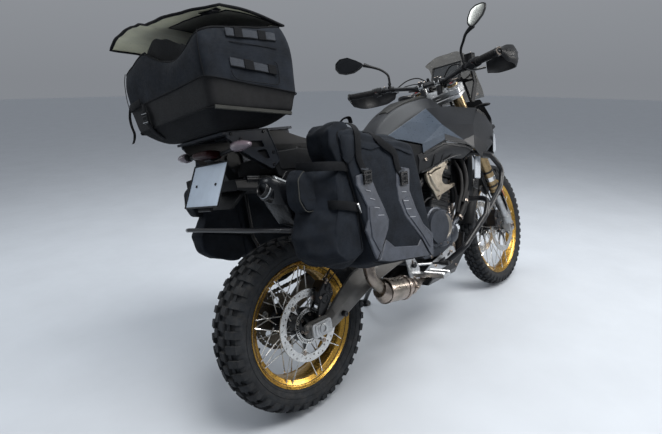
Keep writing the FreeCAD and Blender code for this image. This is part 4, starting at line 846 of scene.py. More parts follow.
at, total = belt_path(111.75, 43.75)
links = int(round(total / 15.875 / 2)) * 2
g = G()
for i in range(links):
    a, b = at(total * i / links), at(total * (i + 1) / links)
    e = (b - a).normalized()
    w = Vector((-e.z, 0, e.x))
    outer = i % 2
    out = []
    for j in range(9):
        t = math.pi / 2 + math.pi * j / 8
        out.append(a + (e * math.cos(t) + w * math.sin(t)) * 6.1)
    out.append(a.lerp(b, 0.5) - w * 4.3)
    for j in range(9):
        t = -math.pi / 2 + math.pi * j / 8
        out.append(b + (e * math.cos(t) + w * math.sin(t)) * 6.1)
    out.append(a.lerp(b, 0.5) + w * 4.3)
    y = 7.2 if outer else 4.9
    for s in (-1, 1):
        y0 = CH_Y + s * y
        g.prism([Vector((p.x, y0 - 0.9, p.z)) for p in out], (0, 1.8, 0), 0 if outer else 1, 0.35)
    g.cyl((a.x, CH_Y - 4.2, a.z), (a.x, CH_Y + 4.2, a.z), 4.6, 10, 1, 0.4)
    if outer:
        for q in (a, b):
            for s in (-1, 1):
                g.cyl((q.x, CH_Y + s * 7.9, q.z), (q.x, CH_Y + s * 8.9, q.z), 2.4, 8, 0, 0.4)
obj('chain_links', g, 'chassis', [CHAIN, CHAIN_DARK], ['chain'])

g = G()
for k in range(44):
    a = 2 * math.pi * k / 44
    pts = []
    for da, r in ((-0.050, 98.5), (-0.032, 101), (-0.014, 107.5), (0.014, 107.5), (0.032, 101), (0.050, 98.5)):
        pts.append(wheel_pt(AX, r, CH_Y - 2.6, a + da))
    g.prism(pts, (0, 5.2, 0), 0, 0.8)
for k in range(6):
    a = math.radians(60 * k)
    g.bolt(wheel_pt(AX, 44, 95.5, a), (0, 1, 0), 7.0, 5.0, 1, hexed=True)
obj('sprocket_teeth', g, 'rear_wheel', [CHAIN, STEEL])


def rim(name, c, body, half, hidden):
    g = G()
    prof = [(r, -y) for r, y in half] + [(r, y) for r, y in reversed(half)] + [(r, y) for r, y in hidden]
    g.lathe(prof, c, (0, 1, 0), 180, 0)
    return obj(name, g, body, [GOLD_RIM], [name.replace('_shell', '')], sharp=50)


rim('rear_rim_shell', AX, 'rear_wheel',
    [(232.5, 57.5), (233.6, 59.6), (232.8, 61.4), (230.6, 62.0), (228.6, 60.6), (226.5, 57.8), (219.5, 53.6), (211.5, 49.6), (206.6, 46.8), (204.0, 46.0),
     (202.2, 44.2), (202.4, 41.6), (203.8, 38.5), (202.0, 31), (198.8, 22), (197.2, 10), (197.0, 0.5)],
    [(229, 55), (219, 53), (215, 40), (206, 28), (206, -28), (215, -40), (219, -53), (229, -55)])
rim('front_rim_shell', FX, 'front_wheel',
    [(281.2, 29.8), (282.2, 31.4), (281.4, 33.2), (279.4, 33.6), (277.6, 32.4), (276, 30.4), (270.0, 27.2), (263.5, 23.6), (258.5, 22.4), (256.0, 22.0),
     (254.6, 20.6), (254.6, 18.6), (255.4, 16.8), (252.0, 12), (249.0, 7), (248.2, 0.5)],
    [(279, 28), (270, 26.5), (265, 20), (257, 12), (257, -12), (265, -20), (270, -26.5), (279, -28)])

# cast tabs on the inside edge of each disc
for nm, c, body, sides, n, r_in, ph in (('rear_disc_tabs', AX, 'rear_wheel', ((-1, -79.3, -84.7),), 6, 105, 6.5), ('front_disc_tabs', FX, 'front_wheel', ((-1, -59.8, -64.7), (1, 59.8, 64.7)), 8, 123, 6.5)):
    g = G()
    for sd, ya, yb in sides:
        for k in range(n):
            a0 = math.radians(360.0 * k / n + ph)
            pts = []
            for da, r in ((-0.15, r_in + 1.5), (-0.105, r_in - 2.5), (-0.085, r_in - 8), (-0.090, r_in - 15), (-0.055, r_in - 19.5), (0.0, r_in - 19.5), (0.045, r_in - 15),
                          (0.050, r_in - 8), (0.085, r_in - 3), (0.14, r_in + 1.5)):
                pts.append(wheel_pt(c, r, ya, a0 + da))
            g.prism(pts, (0, yb - ya, 0), 0, 0.5)
            p = wheel_pt(c, r_in - 11, yb, a0 - 0.02)
            g.lathe([(4.6, 0.0), (4.6, 0.9), (3.6, 1.3), (3.2, 0.2), (0.1, 0.2), (0.1, 0)], p, (0, sd, 0), 14, [1, 1, 1, 2, 2, 2])
    obj(nm, g, body, [DISC, STEEL, BLACK_METAL])

# cast end of the right and left arm: raised rounded squares round the axle nut
g = G()
for s in (-1, 1):
    for hw, hh, y0, y1, r, m in ((46, 27, 150, 158.5, 14, 0), (35, 21.5, 158, 161.5, 12, 0), (25, 17, 161, 163.0, 10, 0)):
        pts = round_loop([Vector((-hw + 1, s * y0, 326 - hh)), Vector((hw + 1, s * y0, 326 - hh)), Vector((hw + 1, s * y0, 326 + hh)), Vector((-hw + 1, s * y0, 326 + hh))], r, 5)
        g.prism(pts, (0, s * (y1 - y0), 0), m, 1.2)
    g.lathe([(17.5, 0), (17.5, 2.6), (15.0, 3.6), (11.0, 3.6), (9.6, 1.5), (9.6, -6), (0.1, -6), (0.1, -7), (14, -7)], (0, s * 162.8, REAR_R), (0, s, 0), 32, [0, 0, 0, 0, 1, 1, 1, 1, 0])
    for x in (-58, ):
        g.cyl((x, s * 134, 326), (x + 14, s * 134, 326), 4.0, 10, 2, 0.5)
        g.bolt((x, s * 134, 326), (-1, 0, 0), 6.5, 5, 2, hexed=True)
    for z in (337, 315):
        g.bolt((35, s * 158.3, z), (0, s, 0), 3.4, 1.8, 2, 1)
obj('axle_blocks', g, 'chassis', [CAST_ALLOY, BLACK_METAL, STEEL], ['rear_axle'])


# ---------------------------------------------------------------- swingarm
def poly_y(pts, y, s=1):
    return [Vector((p[0], s * y, p[1])) for p in pts]


ARM = [(-52, 300), (70, 300), (210, 352), (330, 392), (470, 420), (590, 428), (600, 470),
       (570, 500), (470, 500), (330, 488), (215, 462), (100, 392), (60, 356), (-52, 352)]
g = G()
for s in (-1, 1):
    # section by section: bottom, lower face, crease, upper bevel, top
    st = [(-50, 304, 330, 349), (-30, 300, 330, 353), (50, 300, 330, 353), (80, 304, 346, 372), (130, 322, 372, 409), (210, 352, 412, 459), (270, 373, 438, 476),
          (330, 392, 452, 487), (400, 407, 463, 496), (470, 420, 468, 500), (540, 425, 470, 500), (590, 430, 468, 486)]
    loops = []
    for x, zb, zc, zt in st:
        k = 1.0 if x > -40 else 0.9
        loops.append([Vector((x, s * 118, zb + 4)), Vector((x, s * 122, zb)), Vector((x, s * (150 - 6) * k, zb)), Vector((x, s * 150 * k, zb + 6)),
                      Vector((x, s * 150 * k, zc - 2)), Vector((x, s * 149.0 * k, zc + 2)), Vector((x, s * 131, zt - 2)), Vector((x, s * 127, zt)), Vector((x, s * 120, zt)), Vector((x, s * 118, zt - 4))])
    g.rings(loops, 0)
    # end plate slots and adjuster scale marks
    for x in (-44, -38, -32):
        g.box((x, s * 150.2, 356), 1.2, 1.2, 6, 1)
    g.cyl((560, s * 118, 462), (560, s * 134, 462), 30, 32, 0, 2)
    g.cyl((118, s * 148, 338), (118, s * 165, 338), 11.2, 24, 1, 1.2)
    g.lathe([(10.5, 0), (10.5, 1.2), (7, 1.4), (4.9, 0.3), (4.9, -6), (0.1, -6), (0.1, -8), (9, -8)], (118, s * 165, 338), (0, s, 0), 24, 1)
g.prism(poly_y([(365, 400), (455, 414), (470, 470), (380, 482)], -120), (0, 240, 0), 0, 6)
g.cyl((560, -120, 462), (560, 120, 462), 30, 32, 0, 2)
sw = obj('swingarm_body', g, 'chassis', [ARM_GREY, BLACK_METAL], ['swingarm'], sharp=24, bevel=1.6)

# brake hose guide and hose on the right arm
g = G()
g.tube([(92, -104, 468), (150, -112, 520), (250, -124, 524), (360, -132, 506), (470, -134, 520), (560, -136, 540)], 3.4, 10, 0, 8)
g.tube([(84, -118, 452), (140, -126, 492), (240, -130, 500), (350, -134, 496), (470, -136, 506)], 2.2, 8, 0, 8)
for p in ((250, -127, 512), (360, -133, 501)):
    g.box(p, 10, 10, 26, 1, bev=2)
obj('rear_brake_hose', g, 'chassis', [BLACK_RUBBER, BLACK_METAL])

# ---------------------------------------------------------------- rear caliper detail
g = G()
cal = [(40, 398), (70, 376), (117, 412), (111, 451), (84, 473), (50, 440)]
g.prism(round_loop(poly_y(cal, -104), 9, 4), (0, -11, 0), 0, 3)
for p, r in (((70, 408), 19), ((92, 440), 15)):
    g.lathe([(r, -2), (r, 3), (r - 3, 5.5), (r - 8, 5.5), (r - 9, 3.2), (0.1, 3.2), (0.1, -2)], (p[0], -114, p[1]), (0, -1, 0), 28, 0)
for p in ((48, 418), (104, 424), (84, 464)):
    g.bolt((p[0], -115, p[1]), (0, -1, 0), 5.5, 5, 1, 0)
g.cyl((92, -100, 462), (100, -100, 478), 6, 12, 0, 1)
g.bolt((98, -106, 470), (0, -1, 0), 7, 5, 1, hexed=True)
g.prism(round_loop(poly_y([(-22, 318), (16, 306), (60, 352), (104, 404), (62, 430), (20, 352)], -106), 8, 4), (0, -9, 0), 0, 2)
g.cyl((30, -110, 352), (30, -118, 352), 5, 12, 1, 1)
g.cyl((6, -104, 392), (34, -104, 366), 5, 10, 0, 1)
obj('rear_caliper_body', g, 'chassis', [BLACK_METAL, STEEL], bevel=0.8)

# ---------------------------------------------------------------- engine
g = G()
CASE = [(604, 376), (868, 346), (950, 402), (960, 542), (820, 606), (692, 606), (604, 538)]
g.prism(round_loop(poly_y(CASE, -116), 26, 4), (0, 232, 0), 0, 6)
for s in (-1, 1):
    # split line flange and ribs on the crankcase
    g.prism(round_loop(poly_y([(612, 452), (940, 452), (952, 470), (612, 470)], s * 112, 1), 4, 2), (0, s * 9, 0), 1, 1)
    for x in (640, 700, 900, 930):
        g.box((x, s * 112, 415), 5, 20, 60, 0, bev=1.5)
        g.bolt((x + 10, s * 120.5, 461), (0, s, 0), 5, 4, 3, 2)
# cylinder block with its base flange, water jacket ribs
d = Vector((50, 0, 195)).normalized()
e = Vector((155, 0, -45)).normalized()
o0 = Vector((878, 0, 568))
def blk(t0, t1, u0, u1, y, m, bev, r=10):
    pts = [o0 + d * t0 + e * u0, o0 + d * t0 + e * u1, o0 + d * t1 + e * u1, o0 + d * t1 + e * u0]
    g.prism(round_loop([p + Vector((0, -y, 0)) for p in pts], r, 3), (0, 2 * y, 0), m, bev)
blk(-22, 0, -88, 84, 124, 1, 3)
blk(0, 176, -76, 76, 116, 1, 6)
for t in range(8):
    blk(20 + t * 17, 25 + t * 17, -80, 80, 120, 1, 1.2, 6)
blk(176, 190, -82, 82, 124, 2, 2)
blk(190, 246, -84, 84, 128, 1, 6)
blk(244, 250, -88, 88, 134, 2, 1)
# cam cover, plug wells
hp = [(862, 812), (1010, 772), (1030, 812), (1008, 846), (892, 870), (860, 850)]
g.prism(round_loop(poly_y(hp, -134), 16, 4), (0, 268, 0), 0, 8)
for s in (-1, 1):
    for p in ((884, 826), (996, 794), (1012, 826), (900, 856)):
        g.bolt((p[0], s * 134, p[1]), (0, s, 0), 7, 5, 3, 2)
    for t in (12, 60, 110, 160, 214):
        for u in (-70, 70):
            p = o0 + d * t + e * u
            g.bolt((p.x, s * 118, p.z), (0, s, 0), 6, 6, 3, 2)
    # cast boss and cooling stub on the head's side
    p = o0 + d * 218 + e * 10
    g.cyl((p.x, s * 126, p.z), (p.x, s * 140, p.z), 22, 28, 1, 3)
    g.bolt((p.x, s * 140, p.z), (0, s, 0), 11, 5, 3, hexed=True)
# starter, oil filter and sump
g.cyl((700, -70, 628), (700, 70, 628), 30, 28, 1, 4)
g.cyl((958, 0, 470), (1010, 0, 464), 34, 32, 2, 5)
for k in range(12):
    a = math.radians(30 * k)
    g.box(Vector((1000, 34.5 * math.cos(a), 465 + 34.5 * math.sin(a))), 18, 3, 3, 2, uy=(0, math.cos(a), math.sin(a)))
g.prism(round_loop(poly_y([(700, 348), (860, 336), (880, 372), (690, 380)], -70), 12, 3), (0, 140, 0), 0, 5)
obj('engine_body', g, 'chassis', [ENGINE_DARK, ENGINE_GREY, BLACK_METAL, STEEL], ['engine'], bevel=1.2)

# clutch cover and generator cover details
g = G()
C1 = Vector((746, 0, 528))
C2 = Vector((788, 0, 514))
g.lathe([(90, 0), (91, 2.5), (88, 4), (78, 4), (76, 1), (76, -2), (90, -2)], (C1.x, -177, C1.z), (0, -1, 0), 64, 0)
g.lathe([(86, -24), (88, -18), (87, 4), (82, 9), (64, 11), (62, 8), (0.1, 8), (0.1, -24)], (C2.x, -178, C2.z), (0, -1, 0), 64, 0)
g.lathe([(60, -4), (60, 1.5), (56, 4.2), (50, 5), (46, 4.4), (44, 2.8), (34, 2.8), (30, 5.0), (0.1, 6.0), (0.1, -4)], (C2.x + 6, -190, C2.z + 6), (0, -1, 0), 64, [1, 0, 1, 1, 1, 1, 1, 1, 1, 1])
for k in range(8):
    a = math.radians(45 * k + 12)
    g.bolt((C2.x + 75 * math.cos(a), -188, C2.z + 75 * math.sin(a)), (0, -1, 0), 4.5, 4, 2, 3)
for p in ((652, 420), (700, 398), (780, 390), (850, 388), (900, 446), (903, 500), (896, 552), (850, 582), (800, 592), (700, 588), (650, 548), (644, 480)):
    g.cyl((p[0], -150, p[1]), (p[0], -161, p[1]), 9, 16, 0, 2)
    g.bolt((p[0], -161, p[1]), (0, -1, 0), 5.5, 4.5, 2, 3)
# water pump housing and its spout
g.lathe([(43, -6), (43, 0), (38, 5), (30, 8), (16, 10), (0.1, 10.5), (0.1, -6)], (868, -182, 470), (0, -1, 0), 40, 0)
for k in range(3):
    a = math.radians(120 * k + 40)
    g.bolt((868 + 38 * math.cos(a), -181, 470 + 38 * math.sin(a)), (0, -1, 0), 5, 6, 2, 3)
g.tube([(880, -176, 500), (905, -178, 520), (930, -176, 528)], 11, 16, 0, 5)
# generator side
g.lathe([(81, -2), (82, 1), (76, 5), (60, 7), (56, 4.5), (30, 4.5), (26, 8), (0.1, 8.5), (0.1, -2)], (838, 187.5, 476), (0, 1, 0), 64, 0)
for k in range(9):
    a = math.radians(40 * k)
    g.cyl((838 + 86 * math.cos(a), 145, 476 + 86 * math.sin(a)), (838 + 86 * math.cos(a), 160, 476 + 86 * math.sin(a)), 8, 14, 0, 2)
    g.bolt((838 + 86 * math.cos(a), 160, 476 + 86 * math.sin(a)), (0, 1, 0), 5, 4.5, 2, 3)
g.bolt((838, 196, 476), (0, 1, 0), 14, 4, 1, 3)
# sprocket cover on the left
cv = [(600, 400), (690, 396), (704, 470), (690, 516), (630, 520), (594, 480)]
g.prism(round_loop(poly_y(cv, 151), 14, 4), (0, 12, 0), 3, 4)
for p in ((612, 414), (684, 410), (682, 504), (628, 508)):
    g.bolt((p[0], 163, p[1]), (0, 1, 0), 5.5, 4.5, 2, 3)
obj('engine_cover_parts', g, 'chassis', [COVER_GREY, COVER_BRONZE, STEEL, BLACK_METAL], bevel=0.7)

# beige cast hanger between cylinder head and frame, right and left
g = G()
for s in (-1, 1):
    tri = [(722, 778), (770, 790), (830, 806), (912, 822), (914, 806), (880, 778), (850, 750), (842, 724), (862, 706), (900, 700), (948, 700), (944, 684), (880, 672), (826, 662), (800, 640), (786, 650), (766, 690), (744, 716), (728, 744)]
    g.prism(round_loop(poly_y(tri, 160, s), 8, 3), (0, s * 16, 0), 0, 3)
    g.prism(round_loop(poly_y([(738, 766), (800, 786), (850, 790), (836, 762), (824, 730), (836, 700), (808, 676), (784, 690), (756, 724)], 172, s), 16, 4), (0, s * 11, 0), 0, 6)
    for p in ((742, 770), (896, 806), (796, 660), (930, 692)):
        g.bolt((p[0], s * 176, p[1]), (0, s, 0), 6.5, 5, 2, 1)
    # fuel rail, throttle bodies and air duct behind it
    g.cyl((800, s * 44, 770), (740, s * 44, 800), 27, 28, 1, 3)
    g.cyl((740, s * 44, 800), (712, s * 44, 812), 33, 28, 1, 4)
    g.tube([(880, s * 130, 870), (820, s * 148, 880), (760, s * 140, 862), (700, s * 120, 850)], 9, 12, 1, 6)
g.cyl((770, -90, 812), (770, 90, 812), 8, 14, 2, 1)
obj('head_hangers', g, 'chassis', [BEIGE, BLACK_RUBBER, STEEL], bevel=0.8)

# radiator core and hoses
g = G()
for k in range(46):
    t = k / 45
    x, z = lerp(1066, 1106, t), lerp(624, 862, t)
    g.box((x - 3, 0, z), 4, 292, 2.2, 1)
for y in range(-140, 141, 20):
    g.box((1083, y, 742), 2, 4, 236, 0, uz=(0.17, 0, 0.985), ux=(0.985, 0, -0.17))
obj('radiator_core', g, 'chassis', [FIN, FIN])
g = G()
g.tube([(1068, -160, 640), (1030, -170, 600), (985, -178, 560), (940, -178, 528)], 16, 16, 0, 6)
g.tube([(1100, 150, 850), (1060, 158, 860), (1030, 140, 838), (1006, 120, 820)], 15, 16, 0, 6)
g.tube([(1034, -146, 830), (1046, -172, 780), (1040, -184, 700), (1010, -186, 640), (985, -180, 600)], 11, 14, 0, 6)
g.tube([(1000, -150, 800), (1006, -176, 740), (985, -186, 660), (950, -184, 600), (930, -180, 560)], 8, 12, 1, 6)
for p, q in (((1030, -170, 600), (1020, -172, 590)), ((950, -178, 534), (940, -178, 527)), ((1056, 158, 858), (1046, 154, 852))):
    g.cyl(p, q, 17.5, 20, 2, 0.5)
obj('coolant_hoses', g, 'chassis', [BLACK_RUBBER, BLACK_RUBBER, STEEL])


# ---------------------------------------------------------------- fuel tank and side panels
def creased_loft(name, secs, body, mats, replaces, crease, levels=2, mat_of=None, sharp=40, ends=0.8):
    """Loft of equal sections; crease maps a point's number to its edge sharpness along the loft."""
    g = G()
    n = len(secs[0])
    g.rings([[Vector(p) for p in s] for s in secs], 0)
    if mat_of:
        for i, f in enumerate(g.f):
            c = Vector()
            for q in f:
                c += g.v[q]
            g.m[i] = mat_of(c / len(f))
    o = obj(name, g, body, mats, replaces, sharp=180)
    me = o.data
    at_ = me.attributes.new('crease_edge', 'FLOAT', 'EDGE')
    for e in me.edges:
        a, b = e.vertices
        if a % n == b % n and a % n in crease:
            at_.data[e.index].value = crease[a % n]
        elif a // n == b // n and a // n in (0, len(secs) - 1):
            at_.data[e.index].value = ends
    s = o.modifiers.new('round', 'SUBSURF')
    s.levels = s.render_levels = levels
    return o


TS = [  # x, top centre z, panel edge, shoulder, widest, lower edge, underside
    (536, 946, (34, 943), (96, 938), (114, 903), (96, 880), (50, 873)),
    (576, 992, (42, 988), (100, 960), (122, 914), (108, 880), (60, 873)),
    (640, 1040, (50, 1035), (112, 992), (134, 922), (122, 877), (70, 873)),
    (720, 1084, (56, 1078), (122, 1022), (158, 928), (136, 875), (80, 873)),
    (800, 1108, (62, 1102), (128, 1044), (176, 940), (150, 875), (90, 873)),
    (866, 1120, (66, 1114), (130, 1056), (184, 948), (150, 877), (90, 874)),
    (940, 1127, (66, 1121), (130, 1060), (188, 958), (150, 881), (90, 880)),
    (1000, 1126, (62, 1120), (126, 1060), (180, 978), (134, 908), (80, 900)),
    (1036, 1120, (56, 1114), (112, 1056), (164, 1000), (118, 932), (70, 926))]
secs = []
for x, z, a, b, c, d, e in TS:
    half = [a, b, c, d, e]
    secs.append([(x, 0, z)] + [(x, -p[0], p[1]) for p in half] + [(x, 0, e[1])] + [(x, p[0], p[1]) for p in reversed(half)])
tank = creased_loft('fuel_tank_shell', secs, 'chassis', [TANK_DARK, TANK_TOP], ['fuel_tank'], {1: 0.55, 11: 0.55, 2: 0.85, 10: 0.85, 3: 0.8, 9: 0.8, 4: 0.7, 8: 0.7}, 3)

# raised top cover with its shut lines, cap and hinge
g = G()
secs = []
for x, z, hw in ((700, 1068, 26), (760, 1092, 46), (830, 1113, 56), (900, 1124, 58), (970, 1129, 52), (1020, 1124, 36)):
    secs.append([Vector((x, -hw, z - 4)), Vector((x, -hw, z + 2)), Vector((x, -hw + 7, z + 6)), Vector((x, 0, z + 8)), Vector((x, hw - 7, z + 6)), Vector((x, hw, z + 2)), Vector((x, hw, z - 4))])
g.rings(secs, 0)
for s in (-1, 1):
    g.tube([(690, s * 30, 1066), (760, s * 52, 1089), (830, s * 62, 1107), (900, s * 64, 1118), (970, s * 58, 1123), (1026, s * 40, 1120)], 1.8, 6, 1, 5)
obj('tank_top_cover', g, 'chassis', [TANK_TOP, PLASTIC], sharp=28, bevel=1.2)
g = G()
g.lathe([(44, -4), (45, 4), (42, 10), (36, 12.5), (30, 12.5), (28, 9.5), (12, 9.5), (10, 12), (0.1, 12.5), (0.1, -4)], (905, 0, 1132), (0, 0, 1), 56, [1, 1, 1, 0, 0, 0, 0, 0, 0, 0])
for k in range(6):
    a = math.radians(60 * k + 15)
    g.bolt((905 + 36 * math.cos(a), 36 * math.sin(a), 1144), (0, 0, 1), 4, 2.2, 2, 1)
g.box((905, 0, 1145), 16, 5, 3, 2, bev=1)
g.box((870, 0, 1142), 14, 26, 6, 1, bev=2)
obj('fuel_cap_parts', g, 'chassis', [CAST_ALLOY, BLACK_METAL, STEEL], ['fuel_cap'])


def panel(name, pts, faces, body, mats, replaces=(), th=4.0, bev=2.2, mats_of=None, sharp=10):
    """Faceted panel from corner points on the right side, and its mirror image."""
    out = []
    for s in (1, -1):
        g = G()
        vs = [Vector((p[0], p[1] * s, p[2])) for p in pts]
        g.add(vs, faces, mats_of or 0)
        o = obj(name + ('_right' if s > 0 else '_left'), g, body, mats, replaces if s > 0 else (), sharp=sharp)
        # the corner points lie on the outside, so the thickness goes inward
        sd = o.modifiers.new('thick', 'SOLIDIFY')
        sd.thickness = th * 0.001
        sd.offset = 0.0
        b = o.modifiers.new('edge', 'BEVEL')
        b.width = bev * 0.001
        b.segments = 3
        b.limit_method = 'ANGLE'
        b.angle_limit = math.radians(9)
        b.harden_normals = True
        out.append(o)
    return out


SHP = [(526, -128, 955), (690, -136, 1012), (845, -134, 1062), (1010, -138, 1066), (1190, -148, 1050), (1262, -160, 1044), (1326, -168, 1010), (1384, -172, 946), (1376, -180, 866),
       (616, -152, 936), (704, -190, 906), (867, -196, 978), (838, -220, 934), (960, -240, 893), (1055, -244, 908), (1093, -226, 958),
       (824, -228, 908), (700, -190, 868), (983, -246, 874), (1036, -248, 848), (1180, -244, 842), (1262, -232, 856), (1120, -238, 790)]
SHF = [(0, 9, 1), (9, 10, 1), (1, 10, 11), (1, 11, 2), (2, 11, 15, 3), (3, 15, 4), (11, 12, 13), (11, 13, 15), (13, 14, 15), (4, 15, 5), (5, 15, 6), (6, 15, 21), (15, 14, 20), (15, 20, 21), (6, 21, 7), (7, 21, 8),
       (10, 17, 16, 12), (10, 12, 11), (12, 16, 18, 13), (13, 18, 19, 14), (14, 19, 22, 20), (20, 22, 21)]
# the rear facets, material 0, take the lighter blue-grey copy of the paint as a painted sky reflection; the other
# facets take the black paint
panel('side_panel', SHP, SHF, 'chassis', [TANK_PAINTED_SKY_REFLECTION, TANK_DARK], ['side_fairings'], mats_of=[0, 0, 0, 0, 1, 1, 0, 1, 1, 1, 1, 1, 1, 1, 1, 1, 0, 0, 1, 1, 1, 1])
# black cover under the rear corner of each panel
panel('side_cover', [(524, -122, 948), (616, -146, 930), (706, -184, 900), (702, -184, 862), (676, -178, 782), (606, -150, 788), (552, -118, 850), (620, -152, 862)],
      [(0, 1, 7), (1, 2, 7), (2, 3, 7), (3, 4, 7), (4, 5, 7), (5, 6, 7), (6, 0, 7)], 'chassis', [PLASTIC], th=4, bev=1.5)

# lower trim with raised double line and ribs under each side panel
for s in (-1, 1):
    g = G()
    for pts, r in (([(700, s * 192, 866), (824, s * 230, 904), (983, s * 248, 871), (1036, s * 250, 846)], 2.8),
                   ([(700, s * 191, 853), (824, s * 228, 890), (980, s * 246, 857), (1030, s * 248, 832)], 2.2)):
        g.tube(pts, r, 8, 1)
    # the ribbed plastic between trim and head
    rib = [[Vector((676, s * 180, 862)), Vector((672, s * 182, 820)), Vector((668, s * 178, 782))], [Vector((736, s * 200, 876)), Vector((720, s * 196, 828)), Vector((712, s * 188, 786))],
           [Vector((824, s * 226, 898)), Vector((800, s * 212, 846)), Vector((790, s * 202, 806))], [Vector((945, s * 240, 878)), Vector((885, s * 222, 840)), Vector((878, s * 208, 822))],
           [Vector((1034, s * 246, 846)), Vector((990, s * 226, 822)), Vector((985, s * 210, 806))]]
    loops = []
    for q in rib:
        a, b, c = q
        loops.append([a, a.lerp(b, 0.5) + Vector((0, s * 5, 0)), b, c, c - Vector((0, s * 6, 0)), b - Vector((0, s * 8, 0)), a.lerp(b, 0.5) - Vector((0, s * 6, 0)), a - Vector((0, s * 8, 0))])
    g.rings(loops, 0)
    for t in (0.06, 0.34, 0.62):
        a = Vector((lerp(756, 980, t), s * lerp(204, 234, t), lerp(862, 850, t) + 18 * math.sin(math.pi * t)))
        b = Vector((lerp(736, 940, t), s * lerp(192, 214, t), lerp(800, 822, t)))
        g.strap([a + Vector((0, s * 2, 0)), a.lerp(b, 0.5) + Vector((0, s * 4, 0)), b + Vector((0, s * 3, 0))], (0, s, 0), 13, 4, 1, 3)
    g.bolt((706, s * 194, 838), (0, s, 0.1), 8, 5, 2, 1)
    g.tube([(676, s * 184, 786), (760, s * 202, 800), (880, s * 214, 826), (960, s * 220, 826)], 4.5, 8, 1, 5)
    obj('side_trim_' + ('right' if s < 0 else 'left'), g, 'chassis', [TANK_SOFT, PLASTIC_GLOSS, STEEL], sharp=30, bevel=1.0)

    # radiator side panel in the pale material, a painted reflection on the glossy black shroud, dark intake and light
    # accent plates toward the front
    g = G()
    g.prism(round_loop(poly_y([(1078, 700), (1106, 806), (1154, 800), (1128, 690)], 205, s), 6, 2), (0, s * 9, 0), 0, 3)
    g.prism(round_loop(poly_y([(1062, 660), (1082, 700), (1130, 688), (1108, 640)], 196, s), 6, 2), (0, s * 8, 0), 1, 3)
    g.prism(round_loop(poly_y([(1150, 838), (1236, 905), (1330, 862), (1322, 800), (1262, 776), (1180, 790)], 190, s), 10, 3), (0, s * 18, 0), 1, 4)
    obj('radiator_side_' + ('right' if s < 0 else 'left'), g, 'chassis', [DECAL_AND_PAINTED_REFLECTION, PLASTIC_GLOSS], sharp=30)
    g = G()
    for pts, m, off in (([(1262, -238, 896), (1300, -224, 894), (1326, -212, 868), (1320, -211, 812), (1296, -213, 800), (1262, -226, 812)], 0, 3.0),):
        q = [Vector((p[0], s * -p[1], p[2])) for p in pts]
        n_ = (q[1] - q[0]).cross(q[-1] - q[0]).normalized()
        if n_.y * s < 0:
            n_ = -n_
        g.prism([p + n_ * (off - 3) for p in q], n_ * 3, m, 0.8)
    obj('accent_plates_' + ('right' if s < 0 else 'left'), g, 'chassis', [DECAL_AND_PAINTED_REFLECTION, ACCENT_BLUE], sharp=20)

# ---------------------------------------------------------------- seat
secs = []
for x, hb, zb, hm, zm, ht, zt in ((-66, 92, 890, 98, 912, 76, 944), (-20, 122, 886, 130, 916, 92, 950), (60, 134, 883, 140, 914, 100, 951), (150, 140, 880, 146, 912, 104, 947), (210, 142, 878, 148, 908, 104, 938),
                                   (236, 143, 876, 150, 902, 112, 920), (262, 144, 874, 151, 894, 114, 904), (340, 138, 872, 145, 890, 108, 899), (440, 124, 870, 130, 892, 88, 904), (500, 98, 872, 104, 898, 62, 915), (536, 74, 874, 80, 902, 44, 925)):
    pr = [(0, zt + 3), (ht * 0.55, zt + 2), (ht, zt - 2), (hm, zm), (hb, zb), (hb * 0.5, zb - 1)]
    secs.append([(x, 0, pr[0][1])] + [(x, -p[0], p[1]) for p in pr[1:]] + [(x, 0, zb - 1)] + [(x, p[0], p[1]) for p in reversed(pr[1:])])
seat = creased_loft('seat_pad', secs, 'chassis', [SEAT], ['seat'], {3: 0.2, 9: 0.2, 2: 0.15, 10: 0.15, 4: 0.8, 8: 0.8}, 3)
g = G()
for s in (-1, 1):
    g.tube([(-50, s * 106, 940), (60, s * 122, 939), (150, s * 127, 936), (215, s * 128, 926), (262, s * 134, 902), (340, s * 128, 897), (440, s * 110, 901), (520, s * 70, 914)], 1.8, 6, 0, 6)
g.tube([(214, -118, 932), (228, -70, 930), (232, 0, 931), (228, 70, 930), (214, 118, 932)], 1.8, 6, 0, 6)
for s in (-1, 1):
    g.tube([(-66, s * 93, 888), (60, s * 135, 881), (262, s * 146, 873), (440, s * 126, 869), (538, s * 76, 873)], 2.6, 6, 0, 6)
obj('seat_seams', g, 'chassis', [STRAP])

# ---------------------------------------------------------------- silencer
SIL = [(-164, 886), (-63, 838), (100, 748), (214, 672), (196, 622), (140, 606), (30, 650), (-72, 708), (-116, 726), (-156, 800), (-172, 868)]
scx, scz = sum(p[0] for p in SIL) / 11, sum(p[1] for p in SIL) / 11
base = dense([Vector((x, 0, z)) for x, z in SIL], 16, 4, 3)
g = G()
loops = []
for y, k in ((-148, 0.62), (-148, 0.84), (-151, 0.88), (-158, 0.945), (-167, 0.985), (-176, 1.0), (-216, 1.0), (-225, 0.985), (-234, 0.945), (-241, 0.89), (-245, 0.83), (-246.5, 0.7), (-247, 0.4), (-247, 0.15)):
    loops.append([Vector((scx + (p.x - scx) * k, y, scz + (p.z - scz) * k)) for p in base])
g.rings(loops, 0)
tip, td = Vector((-160, -196, 842)), Vector((-0.88, 0, 0.47)).normalized()
g.lathe([(21, -40), (26.5, -40), (26.5, 18), (25, 22), (22.5, 22), (21, 19)], tip, td, 40, 3)
g.lathe([(27, -30), (33, -24), (34, 2), (30.5, 7), (26.6, 7), (26.6, -30)], tip, td, 40, 0)
g.lathe([(28.0, 6), (29.6, 7), (29.6, 9.5), (28.0, 10.5), (26.6, 9.5), (26.6, 6)], tip, td, 40, 1)
g.lathe([(21, -60), (24.5, -60), (24.5, 18), (21, 18)], tip, td, 40, 3)
g.lathe([(20.8, -36), (0.1, -36), (0.1, -40), (20.8, -40)], tip, td, 30, 3)
